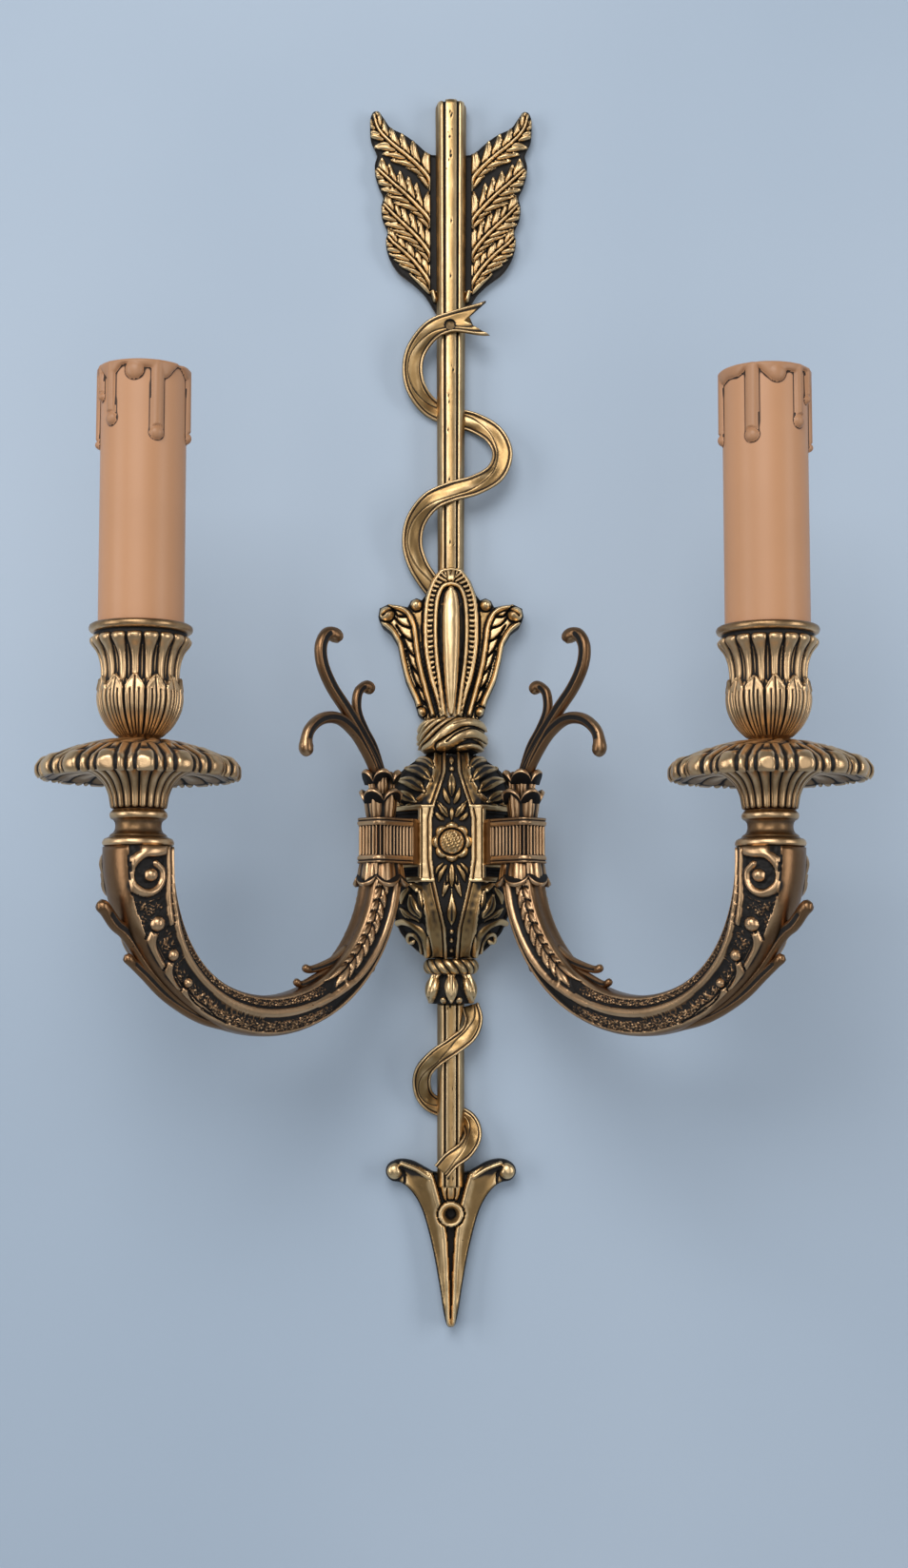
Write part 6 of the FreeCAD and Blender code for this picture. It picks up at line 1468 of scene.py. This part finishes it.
def arm_sprigs(name, side):
    """Loose leaf tips on the arm: two on the inner curve, a hook at the root and two outer blades."""
    def beside(share, offset):
        centre, outward = arm_centre(share)
        return tuple(centre + outward * offset)
    tips = [
        curl("tip", side, [beside(0.22, -5.0), beside(0.27, -6.8), (32.0, -74.6), (36.0, -73.8)], 1.9, 1.2,
             1.4, 16, 40),
        curl("tip", side, [beside(0.28, -4.6), beside(0.33, -6.6), (36.4, -79.6), (39.8, -78.2)], 1.7, 1.1,
             1.3, 16, 40),
        curl("tip", side, [beside(0.10, 4.6), beside(0.14, 6.2), beside(0.19, 7.4), beside(0.215, 8.2)],
             1.5, 1.0,
             1.3, 16, 40),
        curl("tip", side, [beside(0.60, 3.6), beside(0.69, 5.4), beside(0.78, 7.2), beside(0.86, 9.4),
                           (113.4, -60.6),
                           (117.4, -56.0), (120.2, -54.2)], 2.9, 2.0, 2.2, 20, 70),
        curl("tip", side, [beside(0.56, 4.2), beside(0.65, 6.2), beside(0.73, 8.4), beside(0.79, 10.2),
                           (109.6, -70.2)], 2.5, 1.5, 1.7, 20, 60),
    ]
    return joined(name, tips)


# ---------------------------------------------------------------------------
# Candle sets
# ---------------------------------------------------------------------------
def turned_sheet(profile, rows, columns):
    """Angles, radii and heights of a smooth turned piece; profile points are (radius, height)."""
    line = spline(profile, rows)
    angle = np.linspace(0, math.tau, columns, endpoint=False)[None, :]
    return line[:, :1] + 0 * angle, line[:, 1:] + 0 * angle, angle + 0 * line[:, :1]


def stand(radius, z, angle, side):
    """Points of a turned piece on a candle's axis."""
    return np.stack([side * CANDLE_X + radius * np.sin(angle), -CANDLE_Y - radius * np.cos(angle), z], -1)


def collar_turning(name, side):
    """Two beads with a waist between them."""
    profile = [(5.1, -36.45), (9.8, -36.45), (11.0, -35.9), (11.1, -35.0), (10.6, -34.1), (9.4, -33.6),
               (9.0, -33.3),
               (8.8, -32.8), (7.6, -31.8), (7.2, -30.4), (7.3, -29.0), (7.9, -28.1), (8.6, -27.7),
               (9.0, -26.9),
               (8.9, -26.0), (8.3, -25.3), (7.8, -24.8), (5.1, -24.75)]
    radius, z, angle = turned_sheet(profile, 90, 120)
    bend = recess(radius, 2, 5, (False, True)) * 0.7
    return tube(name, stand(radius, z, angle, side), bend + 0.02 * np.sin(angle * 3), caps=True)


DISH_SCALLOPS = 16
DISH_REACH = 31.38


def dish_casting(name, side):
    """A drooping scalloped dish: leaf relief on top, flutes below and on its stem."""
    under = [(5.2, -24.55), (8.4, -24.5), (8.9, -23.6), (9.6, -20.0), (11.4, -16.4), (15.0, -13.6),
             (20.0, -12.9),
             (26.0, -13.6), (29.6, -15.0)]
    over = [(31.0, -14.8), (31.8, -13.2), (31.2, -11.2), (27.6, -8.6), (20.0, -5.9), (13.0, -4.1),
            (8.0, -3.5),
            (5.2, -3.45)]
    line = np.vstack([spline(under, 74), spline(over, 62)])
    columns = 352
    angle = np.linspace(0, math.tau, columns, endpoint=False)[None, :] + 0 * line[:, :1]
    radius = line[:, :1] + 0 * angle
    z = line[:, 1:] + 0 * angle
    is_top = (np.arange(len(line)) >= 74)[:, None] & (radius > 0)
    count = DISH_SCALLOPS
    wave = np.abs(np.sin(angle * count / 2))
    scallop = ease(radius, 17.0, 31.0)
    radius = radius - 1.5 * scallop * (1 - wave)
    droop = 0.8 * scallop * (1 - wave) * np.where(is_top, -0.4, 0.6)
    height = np.zeros_like(radius)
    # under side: flutes that fade out towards the rim
    flute = np.abs(np.cos(angle * 11))
    stem = (~is_top) & (radius > 7.5)
    height = np.where(stem, -1.0 * (1 - flute ** 0.45) * (1 - 0.7 * ease(radius, 22, 30)), height)
    # top: one rounded leaf to each scallop, with a sunk eye and veins
    turn = (angle * count / math.tau) % 1.0 - 0.5
    across = np.abs(turn)
    lobe = dome(across / 0.47) ** 0.5 * ease(radius, 17.0, 21.0)
    lobe_top = -0.9 + 1.5 * lobe - 1.0 * np.exp(-((across - 0.20 - 0.012
                                                   * (radius - 26)) / 0.05) ** 2) * (radius > 20)
    hollow = np.exp(-((radius - 25.0) / 2.4) ** 2) * np.exp(-(across / 0.16) ** 2)
    lobe_top = lobe_top - 1.3 * hollow + 0.4 * np.exp(-((radius - 29.6) / 1.1) ** 2)
    swirl = np.abs(np.sin(angle * count / 2 + 0.25 * (radius - 9)))
    tongue = -0.8 + 1.3 * np.clip(swirl, 0, 1) ** 0.6
    mix = ease(radius, 18.0, 20.5)
    top_relief = tongue * (1 - mix) + lobe_top * mix
    inner = Carving(radius, z, 0.0)
    inner.height = np.where(is_top, top_relief, 0.0)
    height = np.where(is_top, inner.height, height)
    depth = recess(height, 2, 6, (False, True)) * 1.15
    slope = np.gradient(line, axis=0)
    slope /= np.maximum(np.linalg.norm(slope, axis=1, keepdims=True), 1e-6)
    radius = radius + height * slope[:, 1:]
    radius = np.minimum(radius, DISH_REACH / np.maximum(np.abs(np.sin(angle)), np.abs(np.cos(angle))))
    z = z + droop - height * slope[:, :1]
    return tube(name, stand(radius, z, angle, side), depth, wrap_rows=False, caps=True)


def cup_casting(name, side):
    """Fluted cup: leafy belly, fluted waist, a ring of rounded tops and a plain rim."""
    outside = [(5.1, -3.35), (5.9, -3.3), (6.3, -2.6), (8.0, -0.8), (10.6, 2.4), (12.4, 6.0), (13.1, 9.6),
               (12.9, 12.4), (12.4, 14.9), (12.3, 18.0), (12.7, 21.4), (13.8, 24.6), (15.3, 27.0),
               (15.7, 28.4),
               (15.2, 29.7), (14.6, 30.4)]
    rim = [(15.0, 30.6), (16.0, 31.2), (16.3, 32.2), (15.9, 33.1), (15.0, 33.4), (14.2, 33.3), (14.05, 32.4),
           (14.0, 30.2), (11.8, 30.0), (11.4, 20.0), (10.6, 8.0), (8.2, 2.5), (5.1, 2.3)]
    line = np.vstack([spline(outside, 104), spline(rim, 70)])
    columns = 320
    angle = np.linspace(0, math.tau, columns, endpoint=False)[None, :] + 0 * line[:, :1]
    radius = line[:, :1] + 0 * angle
    z = line[:, 1:] + 0 * angle
    outer = (np.arange(len(line)) < 104)[:, None] & (radius > 0)
    run = np.r_[0, np.cumsum(np.linalg.norm(np.diff(line, axis=0), axis=1))][:, None] + 0 * angle
    count = 18
    turn = (angle * count / math.tau + 0.5) % 1.0 - 0.5
    # round ribs that widen and roll over under the rim, with a thin line between them
    waist = outer & (z > 12.8) & (z < 29.9)
    rib_half = 0.27 + 0.18 * ease(z, 21.0, 28.0)
    rib = dome(np.abs(turn) / rib_half) ** 0.6 * dome(np.clip((z - 28.0) / 1.9, 0, 1))
    height = np.where(waist, -1.15 + (1.15 + 0.3 * ease(z, 24.0, 28.2)) * rib, 0.0)
    height += np.where(waist & (z < 25), 0.55 * np.exp(-((np.abs(turn) - 0.5) / 0.06) ** 2), 0)
    # broad leaves on the belly, their tips over the waist, with others behind
    belly = outer & (z <= 16.8)
    broad = (angle * 12 / math.tau + 0.5) % 1.0 - 0.5
    behind = (angle * 12 / math.tau) % 1.0 - 0.5
    tip_height = 16.6 - 14.0 * np.abs(broad) ** 1.5
    tip_behind = 15.2 - 9.0 * np.abs(behind) ** 1.5
    front_leaf = belly & (z < tip_height)
    back_leaf = belly & (z < tip_behind) & ~front_leaf
    strokes = np.exp(-(broad / 0.030) ** 2) + 0.8 * np.exp(-((np.abs(broad) - 0.20) / 0.030) ** 2) * (z < 12)
    front_height = 0.45 - 0.9 * strokes - 1.4 * ease(np.abs(broad), 0.40, 0.5)
    height = np.where(back_leaf, -0.2 - 0.6 * np.exp(-(behind / 0.04) ** 2), height)
    height = np.where(front_leaf, front_height, height)
    edge = np.abs(z - tip_height)
    height = np.where(belly & (edge < 0.8) & (z > 9) & (z < tip_height + 0.1), height + 0.4
                      * dome(edge / 0.8), height)
    foot = outer & (z < -1.8)
    height = np.where(foot, 0, height)
    height *= np.where(outer, 1 - 0.75 * (1 - ease(z, -2.6, 1.0)), 1)
    ring_line = outer & (z > 29.9)
    height = np.where(ring_line, -0.6, height)
    depth = recess(height, 2, 5, (False, True)) * 1.15
    depth = np.where(ring_line, 0.5, depth)
    # painted shade: the inside of the cup below the rim is painted dark
    depth = np.where(~outer & (z < 31) & (radius < 14.2), 0.3, depth)
    slope = np.gradient(line, axis=0)
    slope /= np.maximum(np.linalg.norm(slope, axis=1, keepdims=True), 1e-6)
    radius = radius + height * slope[:, 1:]
    z = z - height * slope[:, :1]
    return tube(name, stand(radius, z, angle, side), depth + 0 * run, caps=True)


# Drips: share of a turn from the front, length in mm, half width in mm, end bead.
DRIPS = [
    (-0.245, 24.0, 1.7, 1.9), (-0.072, 25.5, 2.1, 2.3), (0.016, 6.5, 2.2, 3.0), (0.112, 20.5, 1.7, 2.2),
    (0.175, 12.0, 1.2, 1.5), (0.245, 26.0, 1.2, 1.5), (0.35, 21.0, 1.9, 2.2), (0.45, 15.0, 1.6, 1.9),
    (0.55, 24.0, 1.7, 2.0), (-0.34, 17.0, 1.6, 1.9),
]
SLEEVE_FOOT, SLEEVE_TOP = 30.4, 115.4
SLEEVE_RADIUS, SLEEVE_BORE = 13.5, 12.0


def wax_sleeve(name, side):
    """A tube with runs of wax down from its rim, with shade painted in the creases beside the runs."""
    outer, bore = SLEEVE_RADIUS, SLEEVE_BORE
    columns = 300
    settings = bpy.context.scene.wall_light_candle
    stand_off = settings.drip_height / MM
    z_line = np.concatenate([np.linspace(SLEEVE_FOOT, 84.0, 40, endpoint=False),
                             np.linspace(84.0, 114.6, 110)])
    angle = np.linspace(-math.pi, math.pi, columns, endpoint=False)[None, :] + 0 * z_line[:, None]
    z = z_line[:, None] + 0 * angle
    x = angle * outer
    carving = Carving(x, z)
    chance = np.random.default_rng(3 if side > 0 else 9)
    for turn, length, half, bead in DRIPS:
        centre = side * turn * math.tau * outer
        sway = chance.uniform(-0.5, 0.5)
        foot = SLEEVE_TOP - length
        for shift in (-math.tau * outer, 0, math.tau * outer):
            if abs(centre + shift) > math.pi * outer + 4:
                continue
            carving.ridge([(centre + shift, 116.6), (centre + shift + sway * 0.4, SLEEVE_TOP - 0.4 * length),
                           (centre + shift + sway, foot + bead)], half, stand_off, count=20)
            carving.ball(centre + shift + sway, foot + bead, bead, stand_off * 1.15)
    # the melted collar at the rim sags between the runs
    sag = 3.2 + 1.6 * np.sin(angle * 5 + side) + 1.0 * np.sin(angle * 9 + 2)
    rim_zone = SLEEVE_TOP - z
    collar_rise = stand_off * 0.9 * dome(np.clip(rim_zone / np.maximum(sag, 0.8), 0,
                                                 1) ** 1.5) * (rim_zone < sag)
    carving.height = np.maximum(carving.height, collar_rise)
    soft = blur(carving.height, 1, (False, True))
    level = 0.5 * soft + 0.5 * carving.height
    # painted shade: a dark line is painted in the crease round each run of wax
    around = blur(blur((carving.height > 0.15).astype(float), 2, (False, True)), 2, (False, True))
    crease_shade = np.clip(around * 2.2, 0, 1) * (carving.height < 0.35)
    depth = np.where(carving.height > 0.35, -0.5, 0) + crease_shade * 0.55 * (around > 0.05)
    radius = outer + level
    outside = stand(radius, z, angle, side)
    lip_radius = radius[-1:, :]
    lip = [stand(lip_radius - 0.3, z[-1:] + 0.55, angle[:1], side),
           stand(lip_radius * 0 + 12.9, z[-1:] + 0.8, angle[:1], side),
           stand(lip_radius * 0 + bore, z[-1:] + 0.3, angle[:1], side)]
    inner_z = np.linspace(113.5, SLEEVE_FOOT, 8)[:, None] + 0 * angle[:8]
    inside = stand(bore + 0 * inner_z, inner_z, angle[:8], side)
    points = np.concatenate([outside] + lip + [inside], 0)
    extra = np.zeros((len(lip) + len(inside), columns))
    extra[:2] = -0.3
    # painted shade: the inside of the bore is painted partly dark with the crease colour
    extra[3:] = 0.25
    depth = np.concatenate([depth, extra], 0)
    return tube(name, points, depth, wrap_rows=True, caps=False)


# ---------------------------------------------------------------------------
# Operators
# ---------------------------------------------------------------------------
SIDES = (("right", 1), ("left", -1))


class WALLLIGHT_OT_arrow(Operator):
    """Build the arrow: shaft, feather vanes, lower shaft and head"""

    bl_idname = "wall_light.arrow"
    bl_label = "Arrow"

    def execute(self, context):
        upper = reeded_bar("arrow_shaft", SHAFT_FOOT, NOCK, SHAFT_FOOT_HALF, NOCK_HALF, 8.4, True, 2)
        settle(upper, "golden", "upper_shaft")
        lower = reeded_bar("arrow_foot", -152.0, -87.0, 4.9, 4.9, 8.4, False, 6)
        settle(lower, "golden", "lower_shaft")
        ring = np.asarray(VANE_OUTLINE, float)
        ring = np.vstack([spline(VANE_OUTLINE, 150), ring[:1]])[:-1]
        for word, side in SIDES:
            vane = plate(word + "_vane", ring, 0.32, carve_vane, 0.8, 3.2)
            if side < 0:
                flip_piece(vane)
            settle(vane, "golden", "fletching_" + word)
        half = spline(HEAD_SIDE, 90)
        outline = np.vstack([half, (half * [-1, 1])[::-1][1:-1]])
        outline[:, 1] = np.maximum(outline[:, 1], HEAD_SIDE[-1][1])
        head = plate("arrow_head", outline, 0.34, carve_head, 0.2, 4.6, 1.0)
        settle(head, "golden", "arrowhead")
        return {"FINISHED"}


def flip_piece(piece):
    """Mirror a piece to the other side of the centre line."""
    mesh = piece.data
    for vertex in mesh.vertices:
        vertex.co.x = -vertex.co.x
    mesh.flip_normals()
    mesh.update()


class WALLLIGHT_OT_ribbons(Operator):
    """Build the two ribbons wound about the arrow"""

    bl_idname = "wall_light.ribbons"
    bl_label = "Ribbons"

    def execute(self, context):
        settle(ribbon_strip("ribbon_upper", UPPER_TRAIL, 7.6, True, 4), "golden", "upper_ribbon")
        settle(ribbon_strip("ribbon_lower", LOWER_TRAIL, 6.6, False, 5), "golden", "lower_ribbon")
        return {"FINISHED"}


class WALLLIGHT_OT_column(Operator):
    """Build the tulip finial, the knot, the body with its rosette, the rope and the leaf collar"""

    bl_idname = "wall_light.column"
    bl_label = "Column"

    def execute(self, context):
        tulip = plate("tulip_casting", tulip_outline(), 0.3, carve_tulip, 0.2, 5.6, 1.3)
        settle(tulip, "golden", "tulip_finial")
        knot = column_ring("knot_cloth", 2.7, 15.5, lambda t: 8.8 + 3.2 * dome(np.abs(2 * t - 1) ** 1.5),
                           carve_knot,
                           260, 64)
        settle(knot, "golden", "knot_collar")
        settle(wall_body(), "golden", "wall_body")
        settle(rosette(), "golden", "rosette")
        rope = column_ring("rope_twist", -76.4, -70.9, lambda t: 7.6 + 2.0 * dome(np.abs(2 * t - 1)),
                           carve_rope, 260, 40)
        settle(rope, "golden", "rope_ring")
        collar = column_ring("leaf_drops", -86.9, -76.5, lambda t: 8.0 + 1.6
                             * np.sin(math.pi * np.clip(t, 0, 1) ** 0.8),
                             carve_leaf_collar, 240, 60)
        settle(collar, "golden", "leaf_collar")
        return {"FINISHED"}


class WALLLIGHT_OT_arms(Operator):
    """Build the scroll arms with their sockets, leaves and tendrils"""

    bl_idname = "wall_light.arms"
    bl_label = "Arms"

    def execute(self, context):
        for word, side in SIDES:
            settle(arm_casting(word + "_arm_casting", side), "brown", word + "_arm")
            settle(arm_sprigs(word + "_arm_sprigs", side), "brown", None)
            settle(socket_casting(word + "_socket_block", side), "brown", word + "_arm_socket")
            settle(stack_of_leaves(word + "_leaf_stack", side), "brown", word + "_upper_leaves")
            settle(hanging_leaves(word + "_leaf_skirt", side), "brown", word + "_lower_leaves")
            stems = [curl("stem", side, [(x, TENDRIL_FOOT + z) for x, z in points], root, tip, knob)
                     for points, root, tip, knob in TENDRILS]
            settle(joined(word + "_tendrils", stems), "brown", word + "_tendril_spray")
        return {"FINISHED"}


class WALLLIGHT_OT_candles(Operator):
    """Build the collars, drip dishes, cups and wax sleeves"""

    bl_idname = "wall_light.candles"
    bl_label = "Candles"

    def execute(self, context):
        for word, side in SIDES:
            settle(collar_turning(word + "_collar_turning", side), "cup", word + "_collar")
            settle(dish_casting(word + "_dish_casting", side), "cup", word + "_drip_dish")
            settle(cup_casting(word + "_cup_casting", side), "cup", word + "_candle_cup")
            sleeve = wax_sleeve(word + "_wax_sleeve", side)
            settle(sleeve, "wax", word + "_candle_sleeve", word + "_candle_sleeve")
        return {"FINISHED"}


class WALLLIGHT_OT_inner(Operator):
    """Finish the frame's own inner pieces: holders, contacts, nipples, rod, nuts, tag, screws and block"""

    bl_idname = "wall_light.inner"
    bl_label = "Inner pieces"

    def execute(self, context):
        kinds = {"lampholder": "holder", "lamp_contact": "contact", "nipple": "steel"}
        names = {"tie_rod": "steel", "tie_nuts": "steel", "arm_screws": "steel", "earth_tag": "contact",
                 "terminal_block": "block"}
        for word, finish in kinds.items():
            for side, _ in SIDES:
                names[side + "_" + word] = finish
        for node, finish in names.items():
            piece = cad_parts[node]
            for slot in piece.material_slots:
                slot.material = finishes()[finish]
        return {"FINISHED"}


# Half width of the room, its floor, ceiling and open front, and the wall just behind the castings' backs.
ROOM_HALF, ROOM_FLOOR, ROOM_TOP, ROOM_FRONT, WALL_PLANE = 3, -1.6, 2.4, -4, 0.0006
# Lamps: name, place, aim, width, height, and which power with what share of it.
LAMPS = [
    ("key_softbox", (-0.35, -1.6, 0.95), (0.0, 0.0, 0.0), 1.1, 1.1, "key_power", 1.0),
    ("left_strip", (-1.35, -0.85, 0.15), (0.0, 0.0, 0.0), 0.55, 1.5, "fill_power", 1.0),
    ("right_strip", (1.4, -0.95, 0.1), (0.0, 0.0, 0.0), 0.5, 1.5, "fill_power", 1.0),
    ("front_fill", (0.2, -2.4, -0.3), (0.0, 0.0, -0.02), 1.4, 1.4, "fill_power", 0.8),
]
ROOM_LIGHT, ROOM_STRENGTH = (0.80, 0.86, 0.94, 1), 0.13
CAMERA_PLACE = (-0.0097, -0.7615, -0.07387)
CAMERA_TILT, CAMERA_PAN, SENSOR_HEIGHT = 95.0, -0.82, 36.0


class WALLLIGHT_OT_stage(Operator):
    """Set up the wall, the floor, the soft lamps and the camera"""

    bl_idname = "wall_light.stage"
    bl_label = "Stage"

    def execute(self, context):
        scene = context.scene
        settings = scene.wall_light_stage
        left, right = -ROOM_HALF, ROOM_HALF
        wall = make_sheet("wall", [(left, WALL_PLANE, ROOM_FLOOR), (right, WALL_PLANE, ROOM_FLOOR),
                                   (right, WALL_PLANE, ROOM_TOP), (left, WALL_PLANE, ROOM_TOP)])
        wall.data.materials.append(painted_wall("wall_paint", list(settings.wall),
                                                list(settings.wall_shade)))
        floor = make_sheet("floor", [(left, ROOM_FRONT, ROOM_FLOOR), (right, ROOM_FRONT, ROOM_FLOOR),
                                     (right, WALL_PLANE, ROOM_FLOOR), (left, WALL_PLANE, ROOM_FLOOR)])
        floor.data.materials.append(painted_wall("floor_paint", list(settings.floor),
                                                 shade(settings.floor, 0.93)))
        for name, spot, aim, width, tall, power, portion in LAMPS:
            lamp(name, spot, aim, width, tall, getattr(settings, power) * portion)
        world = bpy.data.worlds.new("room")
        scene.world = world
        world.use_nodes = True
        background = world.node_tree.nodes["Background"]
        background.inputs["Color"].default_value = ROOM_LIGHT
        background.inputs["Strength"].default_value = ROOM_STRENGTH
        place_camera(scene, settings.lens)
        scene.view_settings.view_transform = "Standard"
        return {"FINISHED"}


def make_sheet(name, corners):
    """A flat four-sided sheet in metres."""
    mesh = bpy.data.meshes.new(name)
    mesh.from_pydata(corners, [], [(0, 1, 2, 3)])
    mesh.update()
    piece = bpy.data.objects.new(name, mesh)
    bpy.context.scene.collection.objects.link(piece)
    return piece


def lamp(name, spot, aim, width, tall, power):
    """A soft rectangular lamp that looks at a point."""
    data = bpy.data.lights.new(name, "AREA")
    data.shape = "RECTANGLE"
    data.size = width
    data.size_y = tall
    data.energy = power
    piece = bpy.data.objects.new(name, data)
    bpy.context.scene.collection.objects.link(piece)
    piece.location = spot
    piece.rotation_euler = (Vector(aim) - Vector(spot)).to_track_quat("-Z", "Y").to_euler()


def place_camera(scene, lens):
    """The photograph's viewpoint: 0.76 m from the wall, a little below and tilted up."""
    data = bpy.data.cameras.new("viewpoint")
    data.sensor_fit = "VERTICAL"
    data.sensor_height = SENSOR_HEIGHT
    data.lens = lens
    camera = bpy.data.objects.new("viewpoint", data)
    scene.collection.objects.link(camera)
    camera.location = CAMERA_PLACE
    camera.rotation_euler = (math.radians(CAMERA_TILT), 0.0, math.radians(CAMERA_PAN))
    scene.camera = camera


class WALLLIGHT_PT_panel(Panel):
    """Lists the pieces of the wall light"""

    bl_idname = "WALLLIGHT_PT_panel"
    bl_label = "Wall Light"
    bl_space_type = "VIEW_3D"
    bl_region_type = "UI"
    bl_category = "Wall Light"

    def draw(self, context):
        for step in STEPS:
            self.layout.operator("wall_light." + step)
        for group in (context.scene.wall_light_brass, context.scene.wall_light_candle,
                      context.scene.wall_light_stage):
            box = self.layout.box()
            for key in group.__annotations__:
                box.prop(group, key)


STEPS = ["arrow", "ribbons", "column", "arms", "candles", "inner", "stage"]
CLASSES = [BrassSettings, CandleSettings, StageSettings, WALLLIGHT_OT_arrow, WALLLIGHT_OT_ribbons,
           WALLLIGHT_OT_column, WALLLIGHT_OT_arms, WALLLIGHT_OT_candles, WALLLIGHT_OT_inner,
           WALLLIGHT_OT_stage,
           WALLLIGHT_PT_panel]


def register():
    for kind in CLASSES:
        bpy.utils.register_class(kind)
    bpy.types.Scene.wall_light_brass = PointerProperty(type=BrassSettings)
    bpy.types.Scene.wall_light_candle = PointerProperty(type=CandleSettings)
    bpy.types.Scene.wall_light_stage = PointerProperty(type=StageSettings)


def unregister():
    del bpy.types.Scene.wall_light_brass
    del bpy.types.Scene.wall_light_candle
    del bpy.types.Scene.wall_light_stage
    for kind in reversed(CLASSES):
        bpy.utils.unregister_class(kind)


def main():
    register()
    for step in STEPS:
        getattr(bpy.ops.wall_light, step)()


if __name__ == "__main__":
    main()
